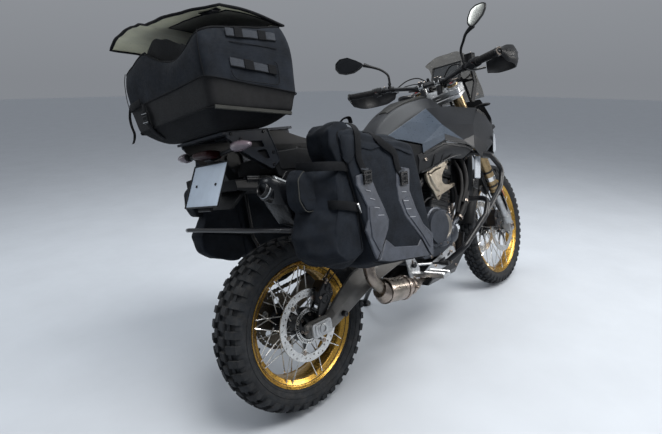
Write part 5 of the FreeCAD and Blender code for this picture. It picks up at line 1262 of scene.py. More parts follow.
# rear end cap seam, heat shield on the outside with its screws, pale strip along the top edge
g.prism(round_loop([Vector((x, -245, z)) for x, z in ((-120, 838), (-66, 812), (96, 722), (168, 672), (160, 640), (132, 632), (34, 672), (-60, 726), (-100, 744), (-128, 806))], 14, 3), (0, -5, 0), 2, 2)
for p in ((-104, 816), (-96, 762), (34, 700), (46, 738), (136, 652), (140, 676)):
    g.bolt((p[0], -250, p[1]), (0, -1, 0), 5.5, 3, 4, 3)
g.prism([Vector((-150, -222, 884)), Vector((-62, -226, 838)), Vector((98, -226, 748)), Vector((150, -226, 713)), Vector((147, -229, 703)), Vector((96, -230, 738)), Vector((-64, -230, 829)), Vector((-150, -226, 874))], (0, -14, 0), 1, 2)
g.prism(round_loop(poly_y([(-70, 856), (-10, 822), (22, 868), (-30, 892)], -146), 6, 3), (0, 8, 0), 3, 1.5)
g.bolt((-24, -147, 862), (0, -1, 0), 8, 6, 4, hexed=True)
g.lathe([(30, -6), (34, -6), (34, 10), (30, 10)], (192, -196, 636), Vector((0.55, 0, -0.83)), 32, 4)
obj('silencer_can', g, 'chassis', [SILENCER, STRIP, PLASTIC, BLACK_METAL, STEEL], ['silencer'], sharp=34, bevel=0.8)

# clamps and springs on the exhaust pipe
g = G()
for c, d, r in (((470, -198, 336), (1, 0, -0.25), 34), ((410, -205, 350), (1, 0, -0.2), 49), ((300, -206, 371), (1, 0, -0.2), 49), ((236, -200, 520), (0, 0, 1), 25)):
    g.lathe([(r - 2, -7), (r + 1.2, -7), (r + 1.2, 7), (r - 2, 7)], c, d, 40, 0)
g.tube([(430, -252, 362), (380, -256, 372), (330, -256, 384)], 2.2, 8, 0, 3)
g.bolt((470, -234, 336), (0, -1, 0), 6, 8, 0, hexed=True)
obj('exhaust_clamps', g, 'chassis', [STEEL, BLACK_METAL])

# ---------------------------------------------------------------- tail: lamps, plate light, screws
g = G()
for s in (-1, 1):
    n_ = 12
    loops = []
    for y, cx, cz, rx, rz in ((140, -214, 990, 12, 9), (148, -215, 989, 20, 14), (160, -216, 988, 27, 18), (176, -215, 988, 28, 18.5), (194, -214, 988, 24, 15.5), (210, -212, 988, 18, 11.5), (221, -211, 988, 11, 7), (225, -211, 988, 4, 3)):
        loops.append([Vector((cx + rx * math.cos(2 * math.pi * j / n_), s * y, cz + rz * math.sin(2 * math.pi * j / n_) + 2)) for j in range(n_)])
    g.rings(loops, [0 if i < 1 else 1 for i in range(len(loops) - 1) for _ in range(n_)] + [0, 1])
    g.tube([(-206, s * 30, 978), (-208, s * 90, 983), (-212, s * 144, 988)], [7.5, 7, 9], 12, 0, 4)
loops = []
for y in (-50, -44, 44, 50):
    k = 0.86 if abs(y) == 50 else 1.0
    loops.append([Vector((-226 + (x + 226) * k, y, 981 + (z - 981) * k)) for x, z in ((-262, 974), (-190, 960), (-190, 992), (-256, 1000), (-264, 990))])
g.rings(loops, 2)
g.box((-219, 0, 972), 58, 112, 6, 0, (1, 0, -0.2), (0, 1, 0), (0.2, 0, 1), 2)
for s in (-1, 1):
    g.rings([[Vector((lerp(1296, 1300, t) + r * math.cos(2 * math.pi * j / 12) * 18, s * lerp(164, 222, t), 1052 + r * math.sin(2 * math.pi * j / 12) * 10)) for j in range(12)] for t, r in ((0, 0.6), (0.12, 1.0), (0.75, 0.9), (0.94, 0.6), (1, 0.25))], 0)
    g.prism(round_loop([Vector((1316, s * y, z)) for y, z in ((172, 1046), (212, 1048), (212, 1057), (172, 1059))], 4, 2), (5, 0, 0), 3, 1)
    g.tube([(1288, s * 142, 1044), (1292, s * 152, 1048), (1296, s * 168, 1052)], [9, 7.5, 9], 12, 0, 3)
obj('signal_lamp_parts', g, 'chassis', [PLASTIC, LENS, LENS_RED, ORANGE], ['signal_lamps'], sharp=50, sub=1)

g = G()
pd = Vector((-0.4472, 0, -0.8944))
pn = Vector((-0.894, 0, 0.447))
pc = Vector((-221.5, 0, 951.0))
# frame round the plate, two screws, small lamp above it
for a, b in (((-107, -1), (107, -1)), ((107, -1), (107, 146)), ((107, 146), (-107, 146)), ((-107, 146), (-107, -1))):
    p, q = pc + Vector((0, a[0], 0)) + pd * a[1], pc + Vector((0, b[0], 0)) + pd * b[1]
    g.strap([p, q], pn, 4.5, 4.2, 0)
for y in (-62, 62):
    g.bolt(pc + Vector((0, y, 0)) + pd * 72 + pn * 1.2, pn, 5, 2, 1, 0)
g.box(pc + pd * -14 + pn * 10, 44, 16, 14, 0, (0, 1, 0), pn, None, 2)
for s in (-1, 1):
    for p in ((-56, 964), (36, 960), (160, 944), (262, 900), (60, 872)):
        g.bolt((p[0], s * 141, p[1]), (0, s, 0), 6.5, 3, 1, 0)
    g.prism(round_loop(poly_y([(-60, 960), (40, 962), (150, 940), (230, 900), (220, 880), (60, 890), (-50, 900)], 141, s), 10, 3), (0, s * 3, 0), 2, 1.4)
obj('tail_fittings', g, 'chassis', [PLASTIC, BLACK_METAL, PLASTIC], bevel=0.4, segs=1)

# rack screws, edge lips and rubber feet under the bag
g = G()
for s in (-1, 1):
    for p in ((-222, 1030), (-100, 1028), (-74, 960), (-80, 920), (-190, 1012)):
        g.bolt((p[0], s * 150, p[1]), (0, s, 0), 5.5, 3.4, 1, 0)
    g.tube([(-236, s * 151, 1037), (-84, s * 151, 1037), (-62, s * 151, 970), (-56, s * 151, 932), (-86, s * 151, 908)], 2.0, 6, 0)
    for x in (-230, -108, 0):
        g.cyl((x, s * 110, 1037.5), (x, s * 110, 1041), 11, 18, 2, 0.8)
    for x, y in ((-230, 60), (-108, 60), (0, 60), (0, 120)):
        g.bolt((x, s * y, 1038), (0, 0, 1), 5.0, 2.6, 1, 0)
for s in (-1, 1):
    # closed inner faces of the rack's side plates and the tail's upper cheeks
    g.prism(round_loop(poly_y([(-232, 1036), (-40, 1036), (60, 1000), (190, 960), (150, 930), (-40, 940), (-90, 900), (-186, 960), (-232, 1010)], 138, s), 8, 3), (0, s * 3, 0), 3, 1)
obj('rack_fittings', g, 'chassis', [RACK, BLACK_METAL, BLACK_RUBBER, PLASTIC])

# ---------------------------------------------------------------- pegs, skid plate, stand
g = G()
for s in (-1, 1):
    for i in range(14):
        y = 210 + i * 7.0
        for x0, x1 in ((561, 571), (601, 611)):
            g.prism([Vector((x0, s * y, 366)), Vector((x0, s * (y + 4.5), 366)), Vector((x0, s * (y + 2.2), 373))], (x1 - x0, 0, 0), 0, 0)
    for x in (575, 597):
        g.box((x, s * 255, 368.5), 4, 96, 5, 0, bev=1)
    g.cyl((583, s * 206, 358), (583, s * 216, 358), 12, 18, 0, 2)
    for p in ((532, 456), (546, 456), (560, 342), (590, 342)):
        g.bolt((p[0], s * 159, p[1]), (0, s, 0), 7, 5, 1, 2)
    # toe lever pad
    g.cyl((704, s * 204, 372), (706, s * 246, 372), 10.5, 18, 2, 2)
    for j in range(6):
        g.lathe([(10.4, -1.2), (11.8, 0), (10.4, 1.2)], (704.5, s * (210 + j * 6), 372), (0, 1, 0), 18, 2)
    # heel guard
    g.prism(round_loop(poly_y([(505, 480), (545, 500), (560, 470), (548, 405), (524, 392), (512, 430)], 160, s), 8, 3), (0, s * 3, 0), 0, 1)
    # screws and slots of the engine guard
    for p in ((720, 352), (862, 382), (660, 336), (884, 366)):
        g.bolt((p[0], s * 163, p[1]), (0, s, 0), 7, 4, 1, 2)
    g.prism(round_loop(poly_y([(742, 350), (800, 360), (804, 374), (746, 366)], 163.2, s), 5, 3), (0, s * 0.8, 0), 2, 0.2)
    g.prism(round_loop(poly_y([(822, 366), (846, 372), (850, 386), (826, 380)], 163.2, s), 5, 3), (0, s * 0.8, 0), 2, 0.2)
    for p in ((740, 300), (900, 300), (980, 350)):
        g.bolt((p[0], s * 153.5, p[1] + 6), (0, s, 0.3), 6.5, 4, 1, 2)
# brake pedal pivot, spring and rear master cylinder
g.cyl((560, -158, 400), (560, -172, 400), 13, 20, 2, 2)
g.cyl((545, -148, 440), (538, -148, 520), 11, 18, 2, 2)
g.cyl((538, -148, 520), (536, -148, 552), 15, 20, 2, 2)
g.tube([(562, -166, 392), (556, -160, 420), (545, -150, 442)], 3, 8, 1, 3)
obj('peg_fittings', g, 'chassis', [ALLOY, STEEL, BLACK_METAL], bevel=0.4, segs=1)

g = G()
STP = Vector((642, 150, 296))
foot_ = Vector((776, 378, 0))
gu = Vector((0, -math.sin(math.radians(13.17)), math.cos(math.radians(13.17))))
fz = (-3.3 + 378 * math.sin(math.radians(13.17))) / math.cos(math.radians(13.17))
foot_ = Vector((776, 378, fz))
g.lathe([(29, 0.3), (33, 2), (34, 6), (31.5, 10), (20, 13), (12, 16), (0.1, 16), (0.1, 0.3)], foot_, gu, 32, 1)
kn = foot_ + gu * 14
mid_ = STP.lerp(kn, 0.5)
g.cyl(STP.lerp(kn, 0.30) + Vector((0, 0, 13)), STP.lerp(kn, 0.30) + Vector((0, 0, -2)), 4.5, 12, 0, 1)
a = STP + Vector((-8, -16, 8))
b = STP.lerp(kn, 0.30) + Vector((0, 0, 14))
dd = (b - a)
for k in range(2):
    u_, w_ = side_dirs(dd)
    pts = []
    off = u_ * (6.5 * (1 if k else -1)) * 0
    turns, rr_ = 17, 5.2
    for i in range(turns * 10 + 1):
        t = i / (turns * 10)
        q = a.lerp(b, 0.12 + 0.76 * t)
        an = 2 * math.pi * turns * t
        pts.append(q + (u_ * math.cos(an) + w_ * math.sin(an)) * rr_)
    if k == 0:
        g.tube([a] + [a.lerp(b, 0.10)] + pts + [a.lerp(b, 0.90), b], 1.3, 6, 0)
obj('stand_fittings', g, 'side_stand', [STEEL, BLACK_METAL])

# crash bar clamps and frame fasteners
g = G()
for s in (-1, 1):
    for p, d in (((790, s * 184, 352), (0.6, s * 0.8, 0.4)), ((1062, s * 168, 803), (0.3, s, 0)), ((1045, s * 146, 597), (0.5, s, 0))):
        g.lathe([(12.6, -9), (16, -9), (16, 9), (12.6, 9)], p, d, 24, 0)
        g.bolt(Vector(p) + Vector((0, s * 16, 0)), (0, s, 0), 6, 5, 1, 2)
    for p in ((1008, s * 296, 532), (1246, s * 285, 716), (1168, s * 271, 800)):
        pass
    for p in ((560, 462), (530, 430), (620, 556), (636, 470)):
        g.bolt((p[0], s * 133, p[1]), (0, s, 0), 9 if p[0] == 560 else 6, 5, 1, hexed=True)
    g.lathe([(16, 0), (22, 0), (22, 4), (16, 5)], (560, s * 133, 462), (0, s, 0), 30, 1)
obj('frame_fasteners', g, 'chassis', [BLACK_METAL, STEEL, BLACK_RUBBER])

# wiring and hoses low between engine and frame on both sides
g = G()
for s in (-1, 1):
    g.tube([(640, s * 138, 600), (700, s * 150, 640), (760, s * 150, 660), (840, s * 146, 640), (900, s * 142, 620)], 4.0, 8, 0, 6)
    g.tube([(600, s * 140, 520), (650, s * 148, 600), (690, s * 146, 680), (700, s * 140, 760)], 5.0, 8, 0, 6)
    g.tube([(960, s * 140, 700), (985, s * 150, 660), (975, s * 152, 600), (940, s * 150, 560), (905, s * 158, 545)], 5.5, 8, 0, 6)
    g.tube([(560, s * 118, 560), (600, s * 128, 640), (640, s * 124, 720), (720, s * 120, 780)], 3.0, 8, 0, 6)
obj('loom', g, 'chassis', [BLACK_RUBBER])

# ---------------------------------------------------------------- front cowl and screen
g = G()
loops = []
for x, hb, zb, hm, zm, ht, zt in ((1396, 150, 905, 170, 985, 120, 1092), (1430, 136, 902, 156, 974, 108, 1084), (1470, 118, 900, 136, 960, 92, 1068), (1502, 98, 906, 112, 951, 74, 1040)):
    loops.append(round_loop([Vector((x, -hb, zb)), Vector((x, -hm, zm)), Vector((x, -ht, zt)), Vector((x, ht, zt)), Vector((x, hm, zm)), Vector((x, hb, zb))], 18, 4))
g.rings(loops, 0)
loops = []
for x, hb, zb, ht, zt in ((1440, 96, 886, 84, 902), (1500, 88, 896, 76, 914), (1560, 78, 908, 66, 927), (1630, 60, 920, 50, 940), (1700, 40, 931, 30, 950), (1744, 16, 935, 11, 950)):
    loops.append(round_loop([Vector((x, -hb, zb)), Vector((x, -ht, zt)), Vector((x, 0, zt + 3)), Vector((x, ht, zt)), Vector((x, hb, zb))], 4, 3))
g.rings(loops, 0)
for s in (-1, 1):
    g.prism(round_loop(poly_y([(1238, 1036), (1262, 1038), (1324, 1004), (1378, 942), (1400, 900), (1344, 896), (1262, 956), (1236, 1000)], 166, s), 10, 3), (0, s * 10, 0), 0, 2)
    # lamp surround and cooling slots
    g.tube([(1512, s * 8, 990), (1512, s * 56, 986), (1510, s * 66, 958), (1512, s * 60, 930), (1512, s * 8, 926)], 5, 10, 0, 4)
    for k in range(3):
        g.box((1486 - k * 14, s * (120 + k * 7), 948 - k * 2), 20, 3, 22, 1, (1, s * -0.62, 0), (0.62 * s, 1, 0), None, 1)
obj('front_cowl', g, 'chassis', [PLASTIC, PLASTIC_GLOSS], ['front_fairing'], sharp=35)


def screen_pt(u, v):
    z = lerp(1098, 1360, v)
    t = (u - 0.5) * 2
    hw = spline1([(1098, 148), (1160, 150), (1206, 146), (1284, 118), (1304, 117), (1332, 126), (1348, 118), (1360, 100)], z)
    xm = spline1([(1098, 1452), (1220, 1400), (1360, 1318)], z)
    xe = spline1([(1098, 1388), (1220, 1340), (1360, 1280)], z)
    top_ = max(0.0, (v - 0.80) / 0.20)
    return Vector((lerp(xm, xe, min(1, (t * hw / 130) ** 2)), hw * t, z - 26 * abs(t) ** 5 * top_))


def sheet_g(f, nu, nv, t, m=0, m2=None):
    """Closed shell t thick on the surface f(u, v)."""
    g = G()
    topv, lowv = [], []
    for j in range(nv + 1):
        for i in range(nu + 1):
            u, v = i / nu, j / nv
            p = f(u, v)
            a = f(min(1, u + 0.01), v) - f(max(0, u - 0.01), v)
            b = f(u, min(1, v + 0.01)) - f(u, max(0, v - 0.01))
            n = a.cross(b)
            n = n.normalized() if n.length > 1e-9 else Vector((0, 0, 1))
            topv.append(p + n * t / 2)
            lowv.append(p - n * t / 2)
    w = nu + 1
    n0 = g.add(topv + lowv, [])
    k = len(topv)
    m2 = m if m2 is None else m2
    for j in range(nv):
        for i in range(nu):
            a = j * w + i
            g.f.append((n0 + a, n0 + a + 1, n0 + a + w + 1, n0 + a + w))
            g.m.append(m)
            g.f.append((n0 + k + a, n0 + k + a + w, n0 + k + a + w + 1, n0 + k + a + 1))
            g.m.append(m2)
    edge = [i for i in range(w)] + [j * w + nu for j in range(1, nv + 1)] + [nv * w + i for i in range(nu - 1, -1, -1)] + [j * w for j in range(nv - 1, 0, -1)]
    for i in range(len(edge)):
        a, b = edge[i], edge[(i + 1) % len(edge)]
        g.f.append((n0 + a, n0 + k + a, n0 + k + b, n0 + b))
        g.m.append(m)
    return g


obj('screen_sheet', sheet_g(screen_pt, 26, 22, 3.6), 'chassis', [SCREEN], ['windscreen'], sharp=50)

# fan housing behind the radiator, exhaust headers and the coil cover
g = G()
g.prism(round_loop(poly_y([(1000, 590), (1052, 590), (1080, 850), (1030, 850)], -120), 10, 3), (0, 240, 0), 0, 4)
for s in (-1, 1):
    g.tube([(1016, s * 46, 792), (1052, s * 52, 770), (1068, s * 56, 720), (1072, s * 56, 600), (1056, s * 52, 470), (1000, s * 40, 372), (920, s * 20, 336)], 19, 18, 1, 6)
    g.prism(round_loop(poly_y([(930, 590), (1000, 580), (1004, 660), (950, 680)], 96, s), 8, 3), (0, s * 12, 0), 0, 2)
g.prism(round_loop(poly_y([(600, 640), (720, 660), (760, 780), (640, 800), (590, 740)], -96), 14, 3), (0, 192, 0), 0, 4)
obj('engine_fillers', g, 'chassis', [PLASTIC, STEEL], sharp=35)


# ---------------------------------------------------------------- steered front end
def curve_at(pts, t):
    n = len(pts) - 1
    i = min(int(t * n), n - 1)
    f = t * n - i
    p0, p1, p2, p3 = (Vector(pts[max(i - 1, 0)]), Vector(pts[i]), Vector(pts[i + 1]), Vector(pts[min(i + 2, n)]))
    return 0.5 * ((2 * p1) + (p2 - p0) * f + (2 * p0 - 5 * p1 + 4 * p2 - p3) * f * f + (3 * p1 - p0 - 3 * p2 + p3) * f ** 3)


# front fender: crowned shell close over the tyre
def fend(u, v):
    a = math.radians(lerp(166, 58, v))
    taper = 1.0 - 0.22 * max(0, (v - 0.75) / 0.25) ** 2 - 0.10 * max(0, (0.2 - v) / 0.2) ** 2
    th = (u - 0.5) * 2.5
    y = 59 * math.sin(th * 0.9) / math.sin(1.25 * 0.9) * taper
    rho = 369 - 26 * (1 - math.cos(th)) / (1 - math.cos(1.25)) * taper
    return Vector((FX.x + rho * math.cos(a), y, FX.z + rho * math.sin(a)))


g = sheet_g(fend, 22, 40, 3.4)
for s in (-1, 1):
    plate_ = [Vector((FX.x + r * math.cos(math.radians(a)), s * 61.5, FX.z + r * math.sin(math.radians(a)))) for a, r in ((104, 346), (118, 348), (132, 346), (130, 300), (126, 252), (108, 252), (106, 300))]
    g.prism(round_loop(plate_, 8, 3), (0, s * 4, 0), 0, 1.2)
    for a, r in ((110, 330), (126, 330), (112, 268), (122, 268)):
        g.bolt(Vector((FX.x + r * math.cos(math.radians(a)), s * 65.5, FX.z + r * math.sin(math.radians(a)))), (0, s, 0), 5, 3.2, 1, 0)
obj('front_fender_shell', g, 'fork', [PLASTIC, STEEL], ['front_fender'], sharp=45)

# hand guards
g = G()
for s in (-1, 1):
    path_ = [(988, 436), (1030, 449), (1085, 455), (1145, 438), (1188, 394), (1202, 332), (1200, 276)]

    def guard(u, v, s=s, path_=path_):
        p = curve_at([(q[0], q[1], 0) for q in path_], v)
        hi = spline1([(0, 1248), (0.2, 1259), (0.5, 1262), (0.8, 1252), (1, 1240)], v)
        lo_ = spline1([(0, 1216), (0.2, 1184), (0.5, 1170), (0.8, 1172), (1, 1186)], v)
        z = lerp(lo_, hi, u)
        out_ = 7.0 * math.sin(math.pi * u) - 12 * max(0, u - 0.75) * 1.5 - 10 * max(0, 0.22 - u) * 2
        c = Vector((1080, 330, 0))
        d = (Vector((p.x, p.y, 0)) - c).normalized()
        return Vector((p.x + d.x * out_, s * (p.y + d.y * out_), z))
    h = sheet_g(guard, 12, 30, 4.5)
    g.add(h.v, h.f, h.m)
    # raised rib and vent slot on the outside
    pts = []
    for i in range(15):
        v = lerp(0.12, 0.86, i / 14)
        p = guard(0.62, v)
        c = Vector((1080, s * 330, p.z))
        pts.append(p + (p - c).normalized() * 2.0)
    g.tube(pts, 3.4, 8, 1)
    pts = []
    for i in range(13):
        v = lerp(0.18, 0.76, i / 12)
        p = guard(0.34, v)
        c = Vector((1080, s * 330, p.z))
        pts.append(p + (p - c).normalized() * 1.8)
    g.tube(pts, 2.6, 8, 1)
    gd = Vector((985 - 1086, 426 - 218, 1234 - 1226)).normalized()
    e0 = Vector((1086, 218, 1226)) + gd * 226
    e1 = Vector((e0.x, s * e0.y, e0.z))
    gds = Vector((gd.x, s * gd.y, gd.z))
    g.lathe([(17.5, 0), (20.5, 2), (20.5, 11), (18, 14), (12, 14), (11, 12.5), (5, 12.5), (4, 10.5), (0.1, 10.5), (0.1, 0)], e1, gds, 32, [1, 1, 1, 2, 2, 1, 1, 1, 1, 1])
    g.tube([e1 + gds * 6, Vector((1004, s * 446, 1226))], 7, 12, 1)
    g.tube([(1203, s * 270, 1217), (1180, s * 240, 1216), (1150, s * 222, 1216), (1092, s * 212, 1224)], 7, 12, 1, 4)
    g.lathe([(11.2, -8), (17, -8), (17, 8), (11.2, 8)], (1090, s * 209, 1225.5), Vector((-0.43, s * 0.9, 0.03)), 24, 1)
    g.bolt(guard(0.5, 0.97) + Vector((3, 0, 0)), (1, 0, 0), 7, 3.5, 2, 1)
obj('hand_guard_shells', g, 'fork', [PLASTIC, PLASTIC_GLOSS, STEEL], ['hand_guards'], sharp=40)

# mirrors: domed teardrop housings with a glass set in
g = G()
rot = Matrix.Rotation(math.radians(20), 4, 'Z')
for s in (-1, 1):
    def place(p, s=s):
        q = rot @ (Vector(p) - Vector((985, 340, 1398))) + Vector((985, 340, 1398))
        return Vector((q.x, q.y * s, q.z))
    if s > 0:
        out_ = [(300, 1378), (326, 1362), (362, 1350), (410, 1352), (446, 1366), (464, 1394), (458, 1424), (430, 1442), (384, 1440), (340, 1414), (310, 1392)]
    else:
        out_ = [(312, 1376), (330, 1370), (350, 1382), (382, 1406), (398, 1430), (402, 1450), (388, 1456), (356, 1456), (330, 1444), (312, 1416), (306, 1394)]
        place = lambda p: Vector((p[0] + 10, -p[1], p[2]))
    ol = round_loop([Vector((0, y, z)) for y, z in out_], 16, 4)
    cy, cz = (386, 1400) if s > 0 else (352, 1414)
    # the left glass takes the near-black glass material as a painted dark reflection; the right glass takes the pale
    # one
    gm = 2 if s > 0 else 1
    loops = []
    for x, k in ((971, 0.90), (970, 0.965), (973, 1.0), (979, 1.0), (986, 0.97), (993, 0.88), (999, 0.72), (1003, 0.5), (1005, 0.25)):
        loops.append([place((x, cy + (p.y - cy) * k, cz + (p.z - cz) * k)) for p in ol])
    g.rings(loops, 0, caps=(False, True))
    inner = [[place((x, cy + (p.y - cy) * k, cz + (p.z - cz) * k)) for p in ol] for x, k in ((971, 0.90), (973.5, 0.885))]
    g.rings(inner, 0, caps=(False, False))
    glass = [[place((x, cy + (p.y - cy) * k, cz + (p.z - cz) * k)) for p in ol] for x, k in ((973.5, 0.886), (973.0, 0.80), (972.6, 0.5), (972.4, 0.15))]
    g.rings(list(reversed(glass)), gm, caps=(True, False))
    j_ = place((984, 308, 1382)) if s > 0 else place((984, 322, 1378))
    g.tube([(1082, s * 222, 1236), (1081, s * 216, 1268), (1074, s * 216, 1306), (1056, s * 244, 1340), (1026, s * 276, 1362), (j_.x + 8, j_.y, j_.z)], [6, 6, 6, 6.2, 7, 12], 14, 0, 6)
    g.cyl((1082, s * 222, 1226), (1082, s * 222, 1246), 10, 18, 0, 1.5)
    g.cyl((1082, s * 219, 1250), (1081.5, s * 218, 1262), 8.5, 6, 0, 0.5)
obj('mirror_housings', g, 'fork', [PLASTIC, MIRROR, MIRROR_PAINTED_DARK_REFLECTION], ['mirrors'], sharp=40)

# bar controls: grip ribs, switch gear, lever pivots, master cylinder lid, cables
g = G()
g0 = Vector((1086, 218, 1226))
gd = Vector((985 - 1086, 426 - 218, 1234 - 1226)).normalized()
for s in (-1, 1):
    M_ = lambda p: Vector((p.x, s * p.y, p.z))
    ds = Vector((gd.x, s * gd.y, gd.z))
    for k in range(22):
        c = g0 + gd * (106 + k * 5.1)
        g.lathe([(16.3, -1.5), (17.6, -0.6), (17.6, 0.6), (16.3, 1.5)], M_(c), ds, 28, 0)
    g.lathe([(16, 0), (22, 1), (22, 4), (16, 6)], M_(g0 + gd * 96), ds, 28, 0)
    # switch pod faces
    for d_, off in ((58, (-24, 0, 6)), (70, (-25, 0, -4)), (82, (-24, 0, 4))):
        c = M_(g0 + gd * d_ + Vector(off))
        g.box(c, 9, 9, 6, 1 if d_ != 70 else 2, ds, None or Vector((0, 0, 1)), Vector((-1, 0, 0.1)), 1.4)
    g.lathe([(23.2, -3), (24.6, -2), (24.6, 2), (23.2, 3)], M_(g0 + gd * 72), ds, 32, 1)
    g.cyl(M_(g0 + gd * 60 + Vector((40, -4, -8))), M_(g0 + gd * 60 + Vector((40, -4, 22))), 9, 18, 1, 1.5)
    g.bolt(M_(g0 + gd * 60 + Vector((40, -4, 22))), (0, 0, 1), 5, 3, 3, 1)
    g.cyl(M_(g0 + gd * 30), M_(g0 + gd * 46), 15, 24, 1, 1.5)
# reservoir on the right with lid screws
g.prism(round_loop([Vector((1100, -254, 1282)), Vector((1142, -254, 1282)), Vector((1142, -212, 1282)), Vector((1100, -212, 1282))], 8, 3), (0, 0, 6), 1, 1.5)
for p in ((1107, -247), (1135, -219)):
    g.bolt((p[0], p[1], 1288), (0, 0, 1), 3.4, 2, 3, 1)
g.box((1121, -233, 1262), 30, 30, 22, 4, bev=3)
# cables and hoses from the controls to the steering head
for pts, r in (([(1128, -200, 1232), (1150, -150, 1262), (1178, -90, 1262), (1190, -40, 1210), (1176, -24, 1150)], 3.6),
               ([(1118, -206, 1222), (1160, -160, 1240), (1192, -110, 1236), (1204, -60, 1190), (1186, -34, 1130)], 2.8),
               ([(1128, 200, 1232), (1156, 150, 1258), (1186, 96, 1256), (1200, 44, 1206), (1180, 22, 1150)], 3.2),
               ([(1112, 208, 1216), (1140, 150, 1228), (1176, 96, 1224), (1190, 56, 1180), (1172, 36, 1128)], 2.6),
               ([(1100, -120, 1190), (1130, -70, 1182), (1150, -30, 1170)], 4.0), ([(1100, 120, 1190), (1130, 70, 1182), (1150, 30, 1170)], 4.0)):
    g.tube(pts, r, 10, 0, 7)
obj('bar_controls', g, 'fork', [GRIP, PLASTIC, LENS_RED, STEEL, LENS_LAMP], sharp=35)

# top yoke: pale casting over it, pinch bolts, ignition lock, bar clamps
g = G()
tp = [sp(1236, q[0], q[1]) for q in ((-34, -30), (-34, 30), (16, 142), (84, 144), (96, 106), (60, 46), (60, -46), (96, -106), (84, -144), (16, -142))]
g.prism(round_loop(tp, 12, 3), S_DIR * 24, 0, 4)
for s in (-1, 1):
    g.lathe([(28.2, 0), (35, 0), (35, 54), (32, 60), (28.2, 60)], sp(1236, 55, s * 104), S_DIR, 36, 0)
    g.cyl(sp(1258, -4, s * 48), Vector((1124, s * 48, 1192)), 15, 20, 2, 2)
    g.lathe([(27, 0), (27, 10), (20, 13), (12, 13), (10, 9), (0.1, 9), (0.1, 0)], sp(1298, 55, s * 104), S_DIR, 36, [2, 2, 2, 4, 4, 4, 4])
    for t in (1056, 1072):
        g.bolt(sp(t, 88, s * 128), (0, s, 0), 6, 8, 3, 2)
    g.prism([Vector((1102, s * 34, 1196)), Vector((1146, s * 34, 1196)), Vector((1146, s * 34, 1222)), Vector((1102, s * 34, 1222))], (0, s * 28, 0), 2, 4)
    for p in ((1108, 40), (1140, 40), (1108, 56), (1140, 56)):
        g.bolt((p[0], s * p[1], 1222), (0, 0, 1), 4.4, 4, 3, 2)
g.lathe([(26, 0), (26, 8), (22, 11), (14, 11), (12, 9), (0.1, 9), (0.1, 0)], sp(1260, 20, 0), S_DIR, 36, [3, 3, 3, 2, 2, 2, 2])
g.lathe([(20, 0), (20, 16), (17, 18), (5, 18), (4, 12), (0.1, 12), (0.1, 0)], sp(1260, -16, 0), S_DIR, 28, 2)
g.tube([sp(1262, 80, -128), sp(1268, 40, -76), sp(1270, -10, -60), sp(1268, -28, -20)], 6, 10, 0, 5)
obj('yoke_parts', g, 'fork', [ALLOY, GOLD_FORK, BLACK_METAL, STEEL, FORK_RED], bevel=0.6, segs=1)

# lower legs: seals, axle clamps, guards with reflectors, caliper detail, hoses
g = G()
axle_t = (FX - Vector((1719, 0, 0))).dot(S_DIR)
for s in (-1, 1):
    y = s * 104
    g.lathe([(21.6, -14), (30.5, -14), (31, -10), (31, 6), (28.2, 12), (21.6, 12)], sp(612, 55, y), S_DIR, 36, 0)
    g.lathe([(28.2, 0), (29.4, 0), (29.4, 3), (28.2, 3)], sp(640, 55, y), S_DIR, 36, 1)
    g.lathe([(28.2, 0), (28.9, 0), (28.9, 26), (28.2, 26)], sp(700, 55, y), S_DIR, 36, 5)
    # stone guard in front of the slider
    loops = []
    for t, w in ((axle_t + 96, 20), (axle_t + 130, 27), (axle_t + 200, 29), (axle_t + 262, 27), (axle_t + 290, 18)):
        loops.append([sp(t, 55 + 30 * math.cos(a) * 1.0, y + w * 1.12 * math.sin(a)) for a in [math.radians(-88 + 22 * j) for j in range(9)]] +
                     [sp(t, 55 + 26.5 * math.cos(a) * 1.0, y + (w * 1.12 - 3) * math.sin(a)) for a in [math.radians(88 - 22 * j) for j in range(9)]])
    g.rings(loops, 0)
    g.prism([sp(axle_t + 205, 62, y + s * 33), sp(axle_t + 205, 76, y + s * 30), sp(axle_t + 262, 76, y + s * 29), sp(axle_t + 262, 62, y + s * 32)], (0, s * 5, 0), 2, 1.5)
    # axle clamp and its pinch bolts
    g.prism(round_loop([Vector((FX.x - 30, s * 84, FX.z - 34)), Vector((FX.x + 24, s * 84, FX.z - 34)), Vector((FX.x + 30, s * 84, FX.z + 16)), Vector((FX.x - 4, s * 84, FX.z + 40)), Vector((FX.x - 30, s * 84, FX.z + 20))], 12, 3), (0, s * 40, 0), 3, 3)
    for dx in (-16, 10):
        g.bolt((FX.x + dx, s * 116, FX.z - 34), (0, 0, -1), 5, 4, 4, 1)
    g.lathe([(16, -2), (16, 4), (13, 7), (9, 7), (8.6, 2), (0.1, 2), (0.1, -2)], (FX.x, s * 124, FX.z), (0, s, 0), 28, [4, 4, 4, 1, 1, 1, 4])
    # caliper bosses and bridge bolts
    fc = wheel_pt(FX, 128, 0, math.radians(152))
    for dx, dz in ((-22, -14), (6, 18)):
        g.lathe([(17, -2), (17, 4), (14, 7), (9, 7), (8, 5), (0.1, 5), (0.1, -2)], (fc.x + dx, s * 96, fc.z + dz), (0, s, 0), 26, 1)
    for dx, dz in ((-34, 10), (24, -26), (14, 44), (-8, -40)):
        g.bolt((fc.x + dx, s * 96, fc.z + dz), (0, s, 0), 5.5, 5, 4, 1)
    g.tube([Vector((fc.x - 6, s * 86, fc.z + 52)), sp(axle_t + 250, 22, s * 78), sp(axle_t + 380, 6, s * 84), sp(760, 10, s * 96), sp(900, 22, s * 78), sp(1030, 40, s * 40)], 4.0, 10, 1, 8)
    for t in (axle_t + 300, 760):
        g.lathe([(28.4, -5), (31, -5), (31, 5), (28.4, 5)] if t > 612 else [(21.7, -5), (25, -5), (25, 5), (21.7, 5)], sp(t, 55, y), S_DIR, 30, 1)
